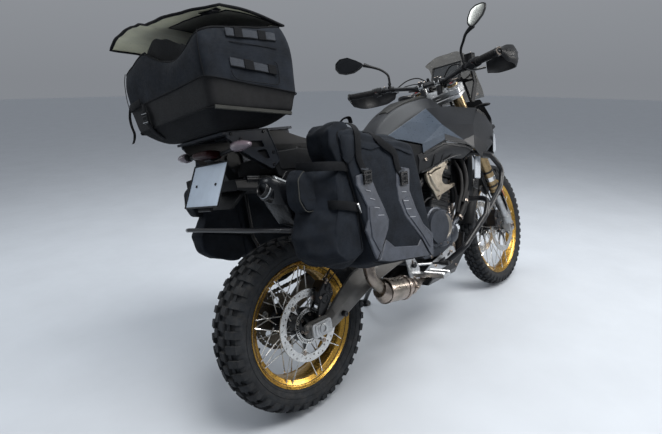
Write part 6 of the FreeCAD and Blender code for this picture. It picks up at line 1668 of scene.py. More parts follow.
obj('fork_leg_parts', g, 'fork', [PLASTIC, BLACK_METAL, ORANGE, CAST_ALLOY, STEEL, CHROME], bevel=0.6, segs=1)

# front cowl details: screen brackets, lamp surround, screws, instrument bezel
g = G()
for s in (-1, 1):
    g.tube([(1330, s * 92, 1210), (1352, s * 104, 1228), (1366, s * 112, 1240)], 5, 10, 0, 3)
    g.box((1360, s * 116, 1236), 12, 22, 34, 0, bev=3)
    g.box((1340, s * 100, 1300), 10, 14, 26, 0, bev=3)
    for p in ((1384, 118, 1120), (1352, 112, 1216), (1322, 92, 1300)):
        g.bolt((p[0] - 6, s * p[1], p[2]), (-1, 0, 0.2), 6, 3, 1, 0)
    for p in ((1352, 177, 950),):
        g.bolt((p[0], s * p[1], p[2]), (0, s, 0), 6, 3, 1, 0)
g.tube([(1330, -96, 1206), (1336, 0, 1208), (1330, 96, 1206)], 6, 12, 0, 3)
rt = Matrix.Rotation(math.radians(20), 4, 'Y')
c0 = Vector((1296, 0, 1249))


def dsp(x, y, z):
    return rt @ (Vector((x, y, z)) - c0) + c0


for a, b in (((-86, 1199), (86, 1199)), ((86, 1199), (86, 1299)), ((86, 1299), (-86, 1299)), ((-86, 1299), (-86, 1199))):
    g.tube([dsp(1283, a[0], a[1]), dsp(1283, b[0], b[1])], 4, 10, 0)
for k in range(3):
    g.box(dsp(1280.5, -72 + k * 12, 1206), 4, 8, 5, 1, (1, 0, 0), (0, 1, 0), None, 1)
g.box(dsp(1281.6, 0, 1254), 1.2, 140, 74, 2, rt.to_3x3() @ Vector((1, 0, 0)), (0, 1, 0), rt.to_3x3() @ Vector((0, 0, 1)), 0.3)
obj('cockpit_parts', g, 'chassis', [PLASTIC, STEEL, DISPLAY], bevel=0.5, segs=1)


# ---------------------------------------------------------------- soft side bags
def centre(lp):
    c = Vector()
    for p in lp:
        c += p
    return c / len(lp)


def scaled(lp, s, y=None):
    c = centre(lp)
    out = [c + (p - c) * s for p in lp]
    if y is not None:
        out = [Vector((p.x, y, p.z)) for p in out]
    return out


def blend_loops(a, b, t, y):
    return [Vector((lerp(p.x, q.x, t), y, lerp(p.z, q.z, t))) for p, q in zip(a, b)]


def soft_case(inner, outer, ys, r_in, r_out, bulge, seed, fold=3.2):
    """Stuffed case between two outlines: side walls that pull in, a crowned face, cloth folds."""
    g = G()
    a = dense([Vector((x, 0, z)) for x, z in inner], r_in, 4, 7)
    b = dense([Vector((x, 0, z)) for x, z in outer], r_out, 4, 7)
    y0, y1, y2 = ys
    loops = [scaled(a, s, y0) for s in (0.15, 0.45, 0.75, 0.93)]
    loops.append(scaled(a, 0.985, y0 - 3))
    for t in (0.12, 0.3, 0.5, 0.7, 0.88):
        y = lerp(y0, y1, t)
        loops.append(scaled(a, 1.0 + bulge * math.sin(math.pi * t) * 0.5, y))
    loops.append(scaled(a, 0.992, y1))
    for t in (0.2, 0.4, 0.6, 0.8, 0.93):
        y = lerp(y1, y2, t)
        lp = blend_loops(a, b, t, y)
        loops.append(scaled(lp, 1.0 + bulge * math.sin(math.pi * t) * 0.35, y))
    loops.append(scaled(blend_loops(a, b, 1, y2), 0.992, y2 + 1.0))
    for s, dy in ((0.968, 0.5), (0.90, 1.6), (0.78, 2.8), (0.60, 3.6), (0.40, 4.2), (0.18, 4.4)):
        loops.append(scaled(b, s, y2 - dy))
    for i, lp in enumerate(loops):
        for j, p in enumerate(lp):
            k = 0.0 if i < 4 else (1.0 if i < 17 else 0.35)
            lp[j] = p + jitter(p, 85, fold * 1.3 * k, seed) + jitter(p, 34, fold * 0.6 * k, seed + 3) + jitter((p.x * 2.2, p.y, p.z * 0.5), 20, fold * 0.28 * k, seed + 7)
    g.rings(loops, 0)
    return g


def buckle(g, c, ux, uz, n, w, h, m, m2):
    """Side-release buckle lying on a face with outward normal n."""
    c, ux, uz, n = Vector(c), Vector(ux).normalized(), Vector(uz).normalized(), Vector(n).normalized()
    g.box(c + n * 3, w, h * 0.5, 7, m, ux, uz, n, 1.6)
    g.box(c + uz * h * 0.42 + n * 2.5, w * 0.92, h * 0.16, 5, m, ux, uz, n, 1.0)
    g.box(c - uz * h * 0.42 + n * 2.5, w * 0.92, h * 0.16, 5, m, ux, uz, n, 1.0)
    for s in (-1, 1):
        g.box(c + ux * s * w * 0.44 + n * 2.8, w * 0.14, h * 0.95, 5.5, m, ux, uz, n, 1.0)
        g.box(c + ux * s * w * 0.3 + n * 6.6, 2.0, h * 0.3, 1.2, m2, ux, uz, n, 0.3)
    g.box(c + n * 6.8, w * 0.36, h * 0.26, 1.4, m2, ux, uz, n, 0.4)


P_IN = [(20, 560), (10, 800), (-14, 985), (62, 1006), (190, 960), (345, 930), (372, 590), (335, 508), (90, 530)]
P_OUT = [(40, 573), (4, 790), (-36, 985), (32, 984), (150, 946), (316, 912), (358, 600), (346, 514), (100, 550)]
K_IN = [(-20, 560), (-112, 592), (-160, 632), (-166, 690), (-128, 760), (-112, 868), (-90, 896), (0, 900), (34, 760), (34, 580)]
K_OUT = [(0, 596), (-60, 600), (-96, 636), (-88, 700), (-66, 764), (-58, 850), (-44, 876), (0, 878), (14, 760), (20, 616)]
T_IN = [(-24, 880), (-46, 930), (-46, 990), (-18, 1012), (30, 1012), (64, 980), (56, 900), (14, 872)]
T_OUT = [(-38, 884), (-62, 940), (-55, 996), (-26, 1018), (14, 1013), (36, 972), (38, 900), (2, 874)]
B_IN = [(-150, 764), (-164, 800), (-160, 862), (-132, 890), (-96, 888), (-70, 860), (-80, 800), (-92, 762)]
B_OUT = [(-148, 766), (-166, 806), (-160, 864), (-134, 886), (-112, 884), (-86, 858), (-96, 802), (-104, 768)]


def pannier(side):
    tag = 'right' if side < 0 else 'left'
    seed = 0 if side < 0 else 40
    F = (lambda q: q) if side < 0 else mirrored
    main = soft_case(P_IN, P_OUT, (-268, -345, -417), 30, 34, 0.010, 1 + seed, 2.6)
    pouch = soft_case(K_IN, K_OUT, (-274, -346, -398), 26, 30, 0.03, 11 + seed, 6.5)
    # roll top with its end folded down at the back, and the small bottle pocket
    block = soft_case(T_IN, T_OUT, (-282, -345, -402), 26, 28, 0.03, 21 + seed, 6.0)
    pocket_ = soft_case(B_IN, B_OUT, (-290, -330, -354), 22, 22, 0.02, 31 + seed, 4.0)
    roll = G()
    pts = [(18, -306, 988), (36, -308, 993), (64, -310, 990), (125, -312, 974), (200, -312, 954), (280, -312, 940), (338, -312, 926)]
    pts = catmull([Vector(p) for p in pts], 6)
    loops = []
    for i, p in enumerate(pts):
        e = (pts[min(i + 1, len(pts) - 1)] - pts[max(i - 1, 0)]).normalized()
        w = Vector((0, 1, 0))
        u = w.cross(e).normalized()
        t = i / (len(pts) - 1)
        rr = 1.0 if 0.04 < t < 0.97 else 0.55
        lp = []
        for j in range(28):
            a = 2 * math.pi * j / 28
            spiral = 1.0 + 0.10 * (j / 28.0)
            q = p + w * math.cos(a) * 34 * rr * spiral + u * math.sin(a) * 22 * rr * spiral
            lp.append(q + jitter(q, 42, 5.0, 21 + seed) + jitter(q, 16, 1.8, 23 + seed))
        loops.append(lp)
    roll.rings(loops, 0)
    # flap folded over the upper face, wider than the case
    flap = G()
    loops = []
    for i in range(15):
        t = i / 14
        x = lerp(-34, 312, t)
        zt = spline1([(-34, 1000), (30, 996), (100, 966), (200, 950), (312, 922)], x)
        zb = zt - spline1([(-34, 120), (60, 60), (150, 40), (312, 46)], x)
        pr = [(-318, zt + 8), (-352, zt + 9), (-388, zt + 1), (-410, zt - 14), (-421, zt - 34), (-423.5, zb + 4), (-424, zb), (-418, zb + 1), (-414, zt - 32), (-402, zt - 16), (-384, zt - 7), (-352, zt), (-318, zt)]
        k = 0.3 if i in (0, 14) else 1.0
        loops.append([Vector((x, y, z)) + jitter((x, y, z), 60, 4.0, 61 + seed) * (0.4 if n_ in (5, 6, 7) else 1.0) for n_, (y, z) in enumerate(pr)])
    flap.rings(loops, 0)
    body = merge(main, pouch, block, pocket_, roll, flap)
    b = obj('pannier_%s_body' % tag, F(body), 'chassis', [FABRIC], ['pannier_' + tag], sharp=60, sub=1)

    # moulded armour on the outer face
    y = -418.5
    g = G()
    left = [(6, 846), (2, 818), (20, 784), (35, 748), (32, 706), (12, 676), (44, 576), (61, 577), (97, 631), (119, 660), (129, 687), (111, 737), (92, 780), (76, 824), (66, 852)]
    band = [(46, 573), (64, 575), (100, 630), (140, 594), (262, 568), (285, 587), (324, 517), (110, 553)]
    right = [(205, 850), (191, 787), (191, 736), (213, 680), (288, 589), (328, 516), (346, 516), (357, 590), (310, 634), (279, 697), (257, 761), (273, 834)]
    for pts, th in ((left, 5.5), (band, 4.2), (right, 5.5)):
        g.prism(round_loop([Vector((x, y + 4, z)) for x, z in pts], 5, 2), (0, -4 - th, 0), 0, 2.4)
    # raised facets that catch the light along each strip
    for pts, th in (([(42, 748), (36, 706), (34, 650), (62, 592), (92, 634), (112, 662), (122, 686), (106, 730)], 2.6),
                    ([(206, 740), (222, 690), (292, 600), (330, 540), (346, 580), (300, 634), (268, 700), (250, 745)], 2.6)):
        g.prism(round_loop([Vector((x, y - 5.0, z)) for x, z in pts], 8, 3), (0, -th, 0), 0, 2.2)
    for (xa, za), (xb, zb) in (((38, 798), (58, 791)), ((50, 770), (72, 762)), ((64, 740), (88, 733)), ((76, 712), (104, 707)),
                               ((210, 764), (234, 760)), ((214, 733), (240, 729)), ((220, 704), (248, 700)), ((234, 674), (266, 669))):
        a, c = Vector((xa, y - 7.6, za)), Vector((xb, y - 7.6, zb))
        e = c - a
        g.box((a + c) / 2, e.length, 1.7, 1.0, 1, e, (0, 0, 1), (0, -1, 0), 0.3)
    # diagonal seams where the band meets the strips
    for (xa, za), (xb, zb) in (((44, 575), (98, 632)), ((286, 588), (330, 516))):
        a, c = Vector((xa, y - 5.4, za)), Vector((xb, y - 5.4, zb))
        g.tube([a, c], 1.3, 6, 2)
    obj('pannier_%s_armour' % tag, F(g), 'chassis', [ARMOUR, THREAD, STRAP], sharp=28, bevel=0.5, segs=1)

    # piping, seams and the front welt
    g = G()
    lo_ = [Vector((x, 0, z)) for x, z in P_OUT]
    ring_ = scaled(dense(lo_, 34, 4, 7), 1.010, -405)
    g.tube([p + jitter(p, 60, 1.5, 3 + seed) for p in ring_] + [ring_[0]], 2.1, 6, 0)
    ring2 = scaled(dense([Vector((x, 0, z)) for x, z in B_OUT], 22, 4, 7), 1.0, -351)
    g.tube([p + jitter(p, 60, 1.0, 13 + seed) for p in ring2] + [ring2[0]], 1.7, 6, 1)
    g.tube([(-2, -402, 872), (2, -404, 800), (6, -404, 700), (6, -402, 620)], 1.4, 6, 0, 4)
    g.tube([(-150, -356, 806), (-128, -358, 800), (-100, -357, 800)], 1.2, 6, 0, 3)
    obj('pannier_%s_piping' % tag, F(g), 'chassis', [STRAP, PIPING])

    # straps, buckles, hooks
    g = G()
    yo = -425.0
    g.strap([(66, -300, 1010), (62, -345, 1012), (52, -392, 1000), (42, -418, 976), (32, yo - 1, 940), (27, yo, 900), (36, yo, 872), (44, yo, 852)], [(0, 0, 1), (0, -0.5, 1), (0, -1, 0.8), (0, -1, 0.2), (0, -1, 0), (0, -1, 0), (0, -1, 0), (0, -1, 0)], 25, 2.2, 0, 5)
    g.strap([(150, -300, 974), (144, -345, 976), (134, -392, 968), (128, -418, 952), (150, yo - 2, 926), (196, yo - 1, 896), (206, yo, 850), (222, yo, 820)], [(0, 0, 1), (0, -0.5, 1), (0, -1, 0.8), (0, -1, 0.2), (0, -1, 0), (0, -1, 0), (0, -1, 0), (0, -1, 0)], 26, 2.2, 0, 5)
    buckle(g, (50, yo - 1, 836), (1, 0, 0), (0.1, 0, 1), (0, -1, 0), 36, 40, 1, 0)
    buckle(g, (228, yo - 1, 806), (1, 0, 0), (0.1, 0, 1), (0, -1, 0), 38, 44, 1, 0)
    g.strap([(46, yo, 866), (44, yo - 0.5, 858)], (0, -1, 0), 34, 2.0, 4)
    g.strap([(222, yo, 838), (224, yo - 0.5, 828)], (0, -1, 0), 34, 2.0, 4)
    # compression straps from the pouch to the hooks on the case's side wall
    for pts in ([(-128, -318, 900), (-128, -352, 897), (-122, -384, 894), (-96, -405, 890), (-50, -409, 884), (-16, -409, 877), (-4, -404, 874)],
                [(-80, -352, 778), (-82, -376, 776), (-72, -398, 773), (-50, -406, 768), (-18, -408, 758), (8, -406, 750)]):
        g.strap(pts, [(-1, 0, 0), (-1, -0.3, 0), (-0.9, -0.8, 0), (-0.4, -1, 0), (-0.1, -1, 0), (-0.1, -1, 0), (-0.2, -1, 0)][:len(pts)], 27, 2.2, 0, 5, 1.0)
    for xa, za in ((-4, 874), (12, 747)):
        g.box((xa, -411, za), 10, 33, 7, 2, (0.9, 0, 0.35), (-0.35, 0, 0.9), (0, -1, 0), 3.0)
        g.box((xa - 5, -410, za), 6, 38, 8, 1, (0.9, 0, 0.35), (-0.35, 0, 0.9), (0, -1, 0), 2.0)
    # carrying loop on the top, and the rack hooks at the back of the case
    g.strap([(56, -340, 1012), (66, -352, 1024), (86, -356, 1025), (100, -348, 1008)], [(0, 0.4, 1)] * 4, 13, 2.4, 0, 5)
    g.strap([(60, -286, 1010), (200, -284, 976), (330, -282, 946)], (0, 0, 1), 24, 2.2, 0, 6, 1.5)
    for x in (104, 286):
        g.box((x, -262, 936), 34, 30, 14, 1, (1, 0, 0), (0, 0, 1), (0, 1, 0), 2)
        g.lathe([(8.6, -10), (12.5, -10), (12.5, 10), (8.6, 10)], (x, -258, 934), (1, 0, 0), 24, 1)
    obj('pannier_%s_straps' % tag, F(g), 'chassis', [STRAP, PLASTIC, ALLOY, BLACK_METAL, FABRIC_LITE], sharp=35)


pannier(-1)
pannier(1)


# ---------------------------------------------------------------- tail bag
def rrect(x0, x1, hw, r, n_side=14, n_cor=5):
    """Loop of points round a rounded rectangle, from the rear right corner."""
    out = []
    cs = [((x0, -hw), (0, 1), (1, 0)), ((x1, -hw), (-1, 0), (0, 1)), ((x1, hw), (0, -1), (-1, 0)), ((x0, hw), (1, 0), (0, -1))]
    arcs = []
    for (cx, cy), a, b in cs:
        pa = Vector((cx + a[0] * r, cy + a[1] * r, 0))
        pb = Vector((cx + b[0] * r, cy + b[1] * r, 0))
        v = Vector((cx, cy, 0))
        arcs.append([pa * (1 - t) ** 2 + v * 2 * t * (1 - t) + pb * t * t for t in [j / n_cor for j in range(n_cor + 1)]])
    for i in range(4):
        out += arcs[i]
        p, q = arcs[i][-1], arcs[(i + 1) % 4][0]
        out += [p.lerp(q, j / (n_side + 1)) for j in range(1, n_side + 1)]
    return out


REAR_TOP = [(-262, 1302), (-235, 1292), (-195, 1279), (-150, 1264), (-114, 1256), (-70, 1258), (-22, 1269), (40, 1300), (60, 1322), (84, 1326), (104, 1322), (172, 1306), (225, 1292), (262, 1282)]


def bag_top(p):
    """Height of the bag's open rim at a point of the loop."""
    rear = spline1(REAR_TOP, p.y)
    side = spline1([(-340, 1300 if p.y < 0 else 1280), (-290, 1306 if p.y < 0 else 1290), (-160, 1312 if p.y < 0 else 1305), (-40, 1322)], p.x)
    k = max(0.0, min(1.0, (-290 - p.x) / 40))
    return lerp(side, rear, k * k * (3 - 2 * k))


g = G()
levels = []
for x0, x1, hw, r, kind in ((-210, -150, 60, 20, 0), (-262, -100, 150, 26, 0), (-276, -88, 172, 30, 0.05), (-300, -66, 205, 34, 0.35), (-322, -52, 236, 34, 0.8), (-331, -44, 250, 32, 1.0),
                            (-334, -40, 254, 30, 1.08), (-337, -36, 259, 30, 1.5), (-341, -30, 264, 30, 1.92), (-344, -26, 268, 30, 2.0),
                            (-342, -24, 266.5, 30, 2.06), (-344, -20, 268, 32, 2.3), (-346, -16, 270, 34, 2.5), (-346, -18, 270, 34, 2.7), (-343, -26, 267, 34, 2.85), (-339, -36, 262, 34, 2.97), (-336, -40, 259, 33, 3.0),
                            (-333, -43, 256, 32, 3.0), (-331, -45, 254, 31, 2.96), (-334, -36, 257, 30, 2.7), (-336, -26, 260, 28, 2.2), (-326, -50, 248, 28, 1.1), (-296, -80, 200, 28, 0.2), (-262, -104, 150, 26, 0.12), (-210, -150, 60, 20, 0.12)):
    lp = []
    for p in rrect(x0, x1, hw, r):
        t = (p.x + 345) / 310.0
        z0 = 1041.0
        z1 = lerp(1100, 1071, t)
        z2 = lerp(1177, 1124, t)
        z3 = bag_top(p)
        if kind <= 1:
            z = lerp(z0, z1, kind)
        elif kind <= 2:
            z = lerp(z1, z2, kind - 1)
        else:
            z = lerp(z2, z3, kind - 2)
        q = Vector((p.x, p.y, z))
        amp = 0.25 if kind < 1 else (0.5 if kind <= 2 else 1.0)
        face = 1.8 if abs(p.y) < 230 and p.x < -300 else 1.0
        q += jitter(q, 95, 3.6 * amp * face, 50) + jitter((q.x, q.y, q.z * 0.6), 32, 1.5 * amp * face, 57)
        lp.append(q)
    levels.append(lp)
nloop = len(levels[0])
# from level 17 on the loft turns down inside the bag; there, and on the inner floor cap, the near-black strap material
# is painted shade
mats_ = []
for i in range(len(levels) - 1):
    for j in range(nloop):
        mats_.append(1 if 5 <= i <= 8 else (2 if (i >= 17 or i < 5) else 0))
g.rings(levels, mats_ + [0, 2])
bag = obj('tail_bag_body', g, 'chassis', [FABRIC, BOOT, STRAP], ['tail_bag'], sharp=70, sub=1)

# seams, piping, webbing of the tail bag
g = G()
bot = [Vector((p.x, p.y, lerp(1100, 1071, (p.x + 345) / 310.0) - 1)) for p in rrect(-333, -42, 252.5, 32)]
g.tube(bot + [bot[0]], 1.6, 6, 0)
for s in (-1, 1):
    g.rings([[Vector((x, s * 253.5, lerp(1104, 1071, (x + 330) / 276))), Vector((x, s * 256.5, lerp(1103, 1070, (x + 330) / 276))), Vector((x, s * 254.5, lerp(1095, 1062, (x + 330) / 276))), Vector((x, s * 250, lerp(1093, 1060, (x + 330) / 276)))] for x in (-322, -260, -190, -120, -58)], 1)
top = [Vector((p.x, p.y, lerp(1177, 1124, (p.x + 345) / 310.0) + 1)) for p in rrect(-345.5, -24.5, 269.5, 31)]
g.tube([p + jitter(p, 95, 1.4, 50) for p in top] + [top[0]], 1.8, 6, 0)
rim_ = [Vector((p.x, p.y, bag_top(p) + 1.5)) for p in rrect(-334.5, -41.5, 257.5, 32.5)]
rim_ = [p + jitter(p, 95, 3.6 * (1.8 if abs(p.y) < 230 and p.x < -300 else 1.0), 50) for p in rim_]
g.tube(rim_ + [rim_[0]], 3.4, 8, 0)
# vertical seam at the rear right corner, seam across the side, patch outline
for s in (-1, 1):
    g.tube([(-341, s * 259, 1180), (-343.5, s * 259, 1220), (-341, s * 257, 1270), (-334, s * 253, 1302)], 1.3, 6, 0, 5)
    g.tube([(-262, s * 271.8, 1192), (-258, s * 272.2, 1176), (-240, s * 272.2, 1164), (-160, s * 272.5, 1154), (-112, s * 272.5, 1150), (-100, s * 272.5, 1160), (-98, s * 272.5, 1206), (-106, s * 272.2, 1216)], 1.1, 6, 0, 5)
    g.tube([(-252, s * 271.5, 1268), (-180, s * 272.5, 1262), (-90, s * 271.5, 1254)], 1.0, 6, 0, 4)
obj('tail_bag_seams', g, 'chassis', [STRAP, PIPING])

g = G()
for s in (-1, 1):
    rows = [([(-258, -231, 1), (-231, -204, 0), (-204, -151, 1), (-151, -123, 0), (-123, -88, 1)], lambda x: (1305 - (x + 258) * 0.03, 1283 - (x + 258) * 0.03)),
            ([(-260, -215, 1), (-215, -183, 0), (-183, -134, 1), (-134, -105, 0)], lambda x: (1226 - (x + 260) * 0.155, 1203 - (x + 260) * 0.148))]
    for segs_, zz in rows:
        for xa, xb, m in segs_:
            (ta, ba), (tb, bb) = zz(xa), zz(xb)
            if m:
                lift = 3.4
                ya = 270.5
                top_l, bot_l = [], []
                n = 7
                la, lb = [], []
                for j in range(n):
                    t = j / (n - 1)
                    x = lerp(xa, xb, t)
                    bulge_ = ya + lift * (0.35 + 0.65 * math.sin(math.pi * t))
                    zt, zb_ = lerp(ta, tb, t), lerp(ba, bb, t)
                    la.append([Vector((x, s * (bulge_ - 2.2), zb_)), Vector((x, s * bulge_, zb_ + 1)), Vector((x, s * bulge_, zt - 1)), Vector((x, s * (bulge_ - 2.2), zt))])
                g.rings(la, 1)
            else:
                g.box(((xa + xb) / 2, s * 272.6, (ta + ba + tb + bb) / 4), abs(xb - xa), (ta - ba) + 5, 4.0, 0, (1, 0, (tb - ta) / (xb - xa)), (0, 0, 1), (0, s, 0), 1.0)
        (ta, ba), (tb, bb) = zz(segs_[0][0]), zz(segs_[-1][1])
        g.tube([(segs_[0][0] - 1, s * 271.5, ba - 1), (segs_[-1][1] + 1, s * 271.8, bb - 1)], 1.4, 6, 0)
# strap and buckle low on the rear face, its loose end hanging at the left corner
g.strap([(-347, 128, 1176), (-347, 130, 1150), (-342, 130, 1118), (-330, 130, 1090), (-300, 130, 1062)], [(-1, 0, 0), (-1, 0, 0), (-1, 0, -0.3), (-1, 0, -0.8), (-0.6, 0, -1)], 25, 2.2, 0, 5, 1.0)
buckle(g, (-346, 130, 1132), (0, 1, 0), (0, 0, 1), (-1, 0, 0), 34, 34, 2, 0)
for p, q in (((-352, 112, 1146), (-352, 148, 1148)), ((-352, 112, 1119), (-352, 148, 1120))):
    g.tube([p, q], 1.3, 6, 3)
g.strap([(-334, 266, 1190), (-338, 277, 1160), (-337, 280, 1130), (-334, 277, 1104), (-336, 282, 1084), (-340, 290, 1070)], [(-0.6, 0.6, 0)] * 6, 19, 2.2, 0, 5)
g.strap([(-346, 150, 1188), (-350, 190, 1184), (-344, 240, 1184), (-334, 262, 1184)], [(-1, 0, 0), (-1, 0, 0), (-1, 0.3, 0), (-0.7, 0.7, 0)], 22, 2.0, 0, 6, 0.8)
g.strap([(-20, -120, 1250), (-8, -110, 1262), (-4, 0, 1268), (-8, 110, 1262), (-20, 120, 1250)], (1, 0, 0), 26, 3, 0, 6)
obj('tail_bag_webbing', g, 'chassis', [STRAP, FABRIC_LITE, PLASTIC, ALLOY], sharp=35)

# near-black strip standing just inside the rear edge, up into the gap under the lid: painted shade for the shaded
# inside of the bag
g = G()
loops = []
for i in range(25):
    t = i / 24
    yy = lerp(-196, 100, t)
    zt = spline1([(-196, 1280), (-170, 1285), (-128, 1299), (-34, 1338), (20, 1352), (41, 1353), (70, 1340), (100, 1322)], yy)
    x = -322 + 5 * math.sin(math.pi * t) - 3 * math.cos(3 * math.pi * t)
    loops.append([Vector((x + 2, yy, 1222)), Vector((x + 4, yy, 1222)), Vector((x + 5, yy, (1222 + zt) / 2)), Vector((x + 3, yy, zt)), Vector((x, yy, zt + 1)), Vector((x - 1, yy, zt - 3)), Vector((x + 1, yy, (1222 + zt) / 2))])
    loops[-1] = [p + jitter(p, 70, 3.5, 90) for p in loops[-1]]
g.rings(loops, 0)
painted_shade_strip = obj('tail_bag_painted_shade_strip', g, 'chassis', [STRAP], sharp=60, sub=1)

# ---------------------------------------------------------------- its lid, loose at the back
L_REAR = [(-262, 1369), (-225, 1366), (-180, 1367), (-151, 1370), (-100, 1374), (-23, 1381), (40, 1398), (92, 1408), (160, 1413), (220, 1411), (279, 1405), (296, 1402)]


def lid_pt(u, v):
    """u from right to left, v from the hinge to the loose edge."""
    y = lerp(-262, 262, u) * (1 - v) + lerp(-264, 292, u) * v
    zr = spline1(L_REAR, lerp(-264, 292, u))
    front = 1341 + 6 * math.sin(math.pi * u)
    # the rear right corner is cut round
    c = max(0.0, 1 - u / 0.34)
    reach = 314 - 96 * c ** 2.2 + 5 * math.sin(math.pi * u)
    x = -38 - reach * v
    k = v ** 1.1
    z = lerp(front, zr, k) + 7.0 * math.sin(math.pi * v) * (0.7 + 0.5 * math.sin(3 * math.pi * u))
    # right edge turned down near the hinge, left rear corner hanging a little
    e = max(0.0, 1 - u / 0.10)
    z -= 13 * e * e * (1 - v) ** 2
    z -= 9 * max(0.0, (u - 0.86) / 0.14) ** 2 * v
    p = Vector((x, y, z))
    return p + Vector((0, 0, jitter(p, 80, 4.0, 80).z * (0.3 + v)))


def skin(f, nu, nv, t, m_top, m_low, g):
    """Closed thin sheet: two faces t apart and its edges."""
    topv, lowv = [], []
    for j in range(nv + 1):
        for i in range(nu + 1):
            u, v = i / nu, j / nv
            p = f(u, v)
            a = f(min(1, u + 0.01), v) - f(max(0, u - 0.01), v)
            b = f(u, min(1, v + 0.01)) - f(u, max(0, v - 0.01))
            n = b.cross(a)
            n = n.normalized() if n.length > 1e-9 else Vector((0, 0, 1))
            if n.z < 0:
                n = -n
            topv.append(p + n * t / 2)
            lowv.append(p - n * t / 2)
    w = nu + 1
    n0 = g.add(topv + lowv, [])
    m = len(topv)
    fs, ms = [], []
    for j in range(nv):
        for i in range(nu):
            a = j * w + i
            fs.append((n0 + a, n0 + a + 1, n0 + a + w + 1, n0 + a + w))
            ms.append(m_top)
            fs.append((n0 + m + a, n0 + m + a + w, n0 + m + a + w + 1, n0 + m + a + 1))
            ms.append(m_low)
    edge = [i for i in range(w)] + [j * w + nu for j in range(1, nv + 1)] + [nv * w + i for i in range(nu - 1, -1, -1)] + [j * w for j in range(nv - 1, 0, -1)]
    for k in range(len(edge)):
        a, b = edge[k], edge[(k + 1) % len(edge)]
        fs.append((n0 + a, n0 + m + a, n0 + m + b, n0 + b))
        ms.append(m_top)
    g.f += fs
    g.m += ms
    return [topv[i].lerp(lowv[i], 0.5) for i in edge]


g = G()
rim_pts = skin(lid_pt, 40, 24, 3.0, 0, 1, g)
lid = obj('tail_bag_lid_sheet', g, 'tail_bag_lid', [FABRIC, LINING], ['tail_bag_lid'], sharp=60)
g = G()
lp = []
for i, p in enumerate(rim_pts):
    a, b = rim_pts[i - 1], rim_pts[(i + 1) % len(rim_pts)]
    e = (b - a).normalized()
    c_ = Vector((-200, 5, p.z))
    o_ = (p - c_)
    o_ = (o_ - e * o_.dot(e)).normalized()
    n_ = e.cross(o_).normalized()
    lp.append([p + o_ * 1.2 + n_ * 3.0, p + o_ * 2.4 + n_ * 1.2, p + o_ * 2.4 - n_ * 1.2, p + o_ * 1.2 - n_ * 3.0, p - o_ * 7.5 - n_ * 2.6, p - o_ * 7.5 + n_ * 2.6])
g.rings(lp, 0, caps=(False, False), around=True)
# zip tape just inside the binding and a mesh pocket under the front half
binding = obj('tail_bag_lid_binding', g, 'tail_bag_lid', [STRAP], sharp=50)
g = G()


def pocket(u, v):
    p = lid_pt(lerp(0.03, 0.42, u), lerp(0.08, 0.80, v))
    return p - Vector((0, 0, 3.2 + 2.0 * math.sin(math.pi * u) * math.sin(math.pi * v)))


edge = skin(pocket, 20, 12, 1.2, 0, 0, g)
g.tube(edge + [edge[0]], 1.8, 6, 1)
pk = obj('tail_bag_lid_pocket', g, 'tail_bag_lid', [MESH_FABRIC, STRAP], sharp=60)
g = G()
q0, q1 = lid_pt(0.02, 0.93), lid_pt(0.12, 0.86)
g.strap([q0 - Vector((0, -2, 4)), q0.lerp(q1, 0.5) - Vector((0, 0, 7)), q1 - Vector((0, 0, 4))], (0, 0, -1), 24, 2.4, 0, 4)
g.box(q0.lerp(q1, 0.35) - Vector((0, 0, 8)), 22, 26, 6, 1, (1, 0, 0), (0, 1, 0.1), (0, 0, -1), 1.6)
# closed loop handle and flat webbing on the lid's outer side
a, b = lid_pt(0.42, 0.55), lid_pt(0.60, 0.55)
g.strap([a + Vector((0, 0, 2)), a.lerp(b, 0.25) + Vector((0, 0, 12)), a.lerp(b, 0.75) + Vector((0, 0, 13)), b + Vector((0, 0, 2))], (0, 0, 1), 26, 3, 0, 5)
for v_ in (0.3, 0.8):
    pts = [lid_pt(lerp(0.06, 0.94, i / 14), v_) + Vector((0, 0, 1.6)) for i in range(15)]
    g.strap(pts, (0, 0, 1), 24, 1.6, 0)
tr = obj('tail_bag_lid_straps', g, 'tail_bag_lid', [STRAP, PLASTIC], sharp=35)


# ---------------------------------------------------------------- floor, light, camera
bpy.ops.mesh.primitive_grid_add(x_subdivisions=12, y_subdivisions=12, size=60.0, location=(0, 0, 0))
floor = bpy.context.object
floor.name = 'floor'
FLOOR = mat('m_floor', (0.47, 0.50, 0.54), 0.55, 0.0, 0.03, 3.0, grain=0.3, gscale=260, depth=0.0004, rvar=0.08)
floor.data.materials.append(FLOOR)

world = bpy.data.worlds.new('studio')
bpy.context.scene.world = world
world.use_nodes = True
wn = world.node_tree
wn.nodes.clear()
w_out = wn.nodes.new('ShaderNodeOutputWorld')
w_bg = wn.nodes.new('ShaderNodeBackground')
w_ramp = wn.nodes.new('ShaderNodeValToRGB')
w_sep = wn.nodes.new('ShaderNodeSeparateXYZ')
w_tc = wn.nodes.new('ShaderNodeTexCoord')
wn.links.new(w_tc.outputs['Generated'], w_sep.inputs[0])
wn.links.new(w_sep.outputs['Z'], w_ramp.inputs[0])
wn.links.new(w_ramp.outputs[0], w_bg.inputs[0])
wn.links.new(w_bg.outputs[0], w_out.inputs[0])
w_ramp.color_ramp.elements[0].position = 0.0
w_ramp.color_ramp.elements[0].color = (0.52, 0.55, 0.60, 1)
w_ramp.color_ramp.elements[1].position = 0.55
w_ramp.color_ramp.elements[1].color = (0.86, 0.90, 0.96, 1)
w_bg.inputs[1].default_value = 0.44


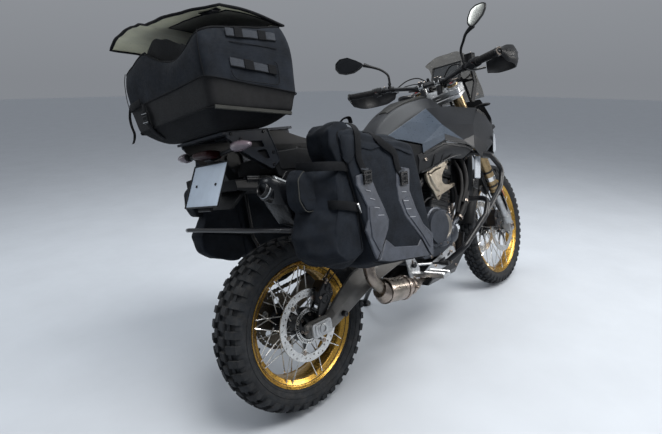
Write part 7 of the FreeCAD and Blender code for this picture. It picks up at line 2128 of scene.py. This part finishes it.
def area(name, loc, target, size, power, col=(1, 1, 1)):
    l = bpy.data.lights.new(name, 'AREA')
    l.shape = 'RECTANGLE'
    l.size, l.size_y = size
    l.energy = power
    l.color = col
    o = bpy.data.objects.new(name, l)
    bpy.context.scene.collection.objects.link(o)
    o.location = loc
    o.rotation_mode = 'QUATERNION'
    o.rotation_quaternion = (Vector(target) - Vector(loc)).to_track_quat('-Z', 'Y')
    return o


area('key_light', (-0.6, -1.6, 3.6), (0.0, 0.0, 0.6), (2.2, 1.6), 150, (1.0, 0.985, 0.96))
area('top_light', (0.9, 0.8, 3.9), (0.1, 0.0, 0.5), (3.0, 2.6), 70, (0.93, 0.97, 1.0))
area('side_light', (2.6, -2.6, 1.9), (0.2, -0.1, 0.5), (1.2, 1.0), 58, (1.0, 0.98, 0.95))
area('back_light', (-2.8, 2.2, 2.4), (-0.3, 0.0, 0.6), (1.8, 1.6), 34, (0.95, 0.98, 1.0))

yaw, pitch, roll = math.radians(44.87), math.radians(16.7), math.radians(0.13)
dv = Vector((math.cos(yaw) * math.cos(pitch), math.sin(yaw) * math.cos(pitch), -math.sin(pitch)))
rv = Vector((math.sin(yaw), -math.cos(yaw), 0))
uv = rv.cross(dv)
r2 = rv * math.cos(roll) + uv * math.sin(roll)
u2 = uv * math.cos(roll) - rv * math.sin(roll)
cam_data = bpy.data.cameras.new('camera')
cam_data.sensor_fit = 'HORIZONTAL'
cam_data.sensor_width = 36.0
cam_data.lens = 25.335
cam_data.clip_start, cam_data.clip_end = 0.02, 60.0
cam = bpy.data.objects.new('camera', cam_data)
bpy.context.scene.collection.objects.link(cam)
cam.matrix_world = Matrix.Translation(Vector((-1.0172, -1.1322, 1.2026)) + SH) @ Matrix((
    (r2.x, u2.x, -dv.x, 0), (r2.y, u2.y, -dv.y, 0), (r2.z, u2.z, -dv.z, 0), (0, 0, 0, 1)))
bpy.context.scene.camera = cam
bpy.context.scene.view_settings.view_transform = 'Standard'
bpy.context.scene.view_settings.look = 'None'
bpy.context.scene.view_settings.exposure = 0.0
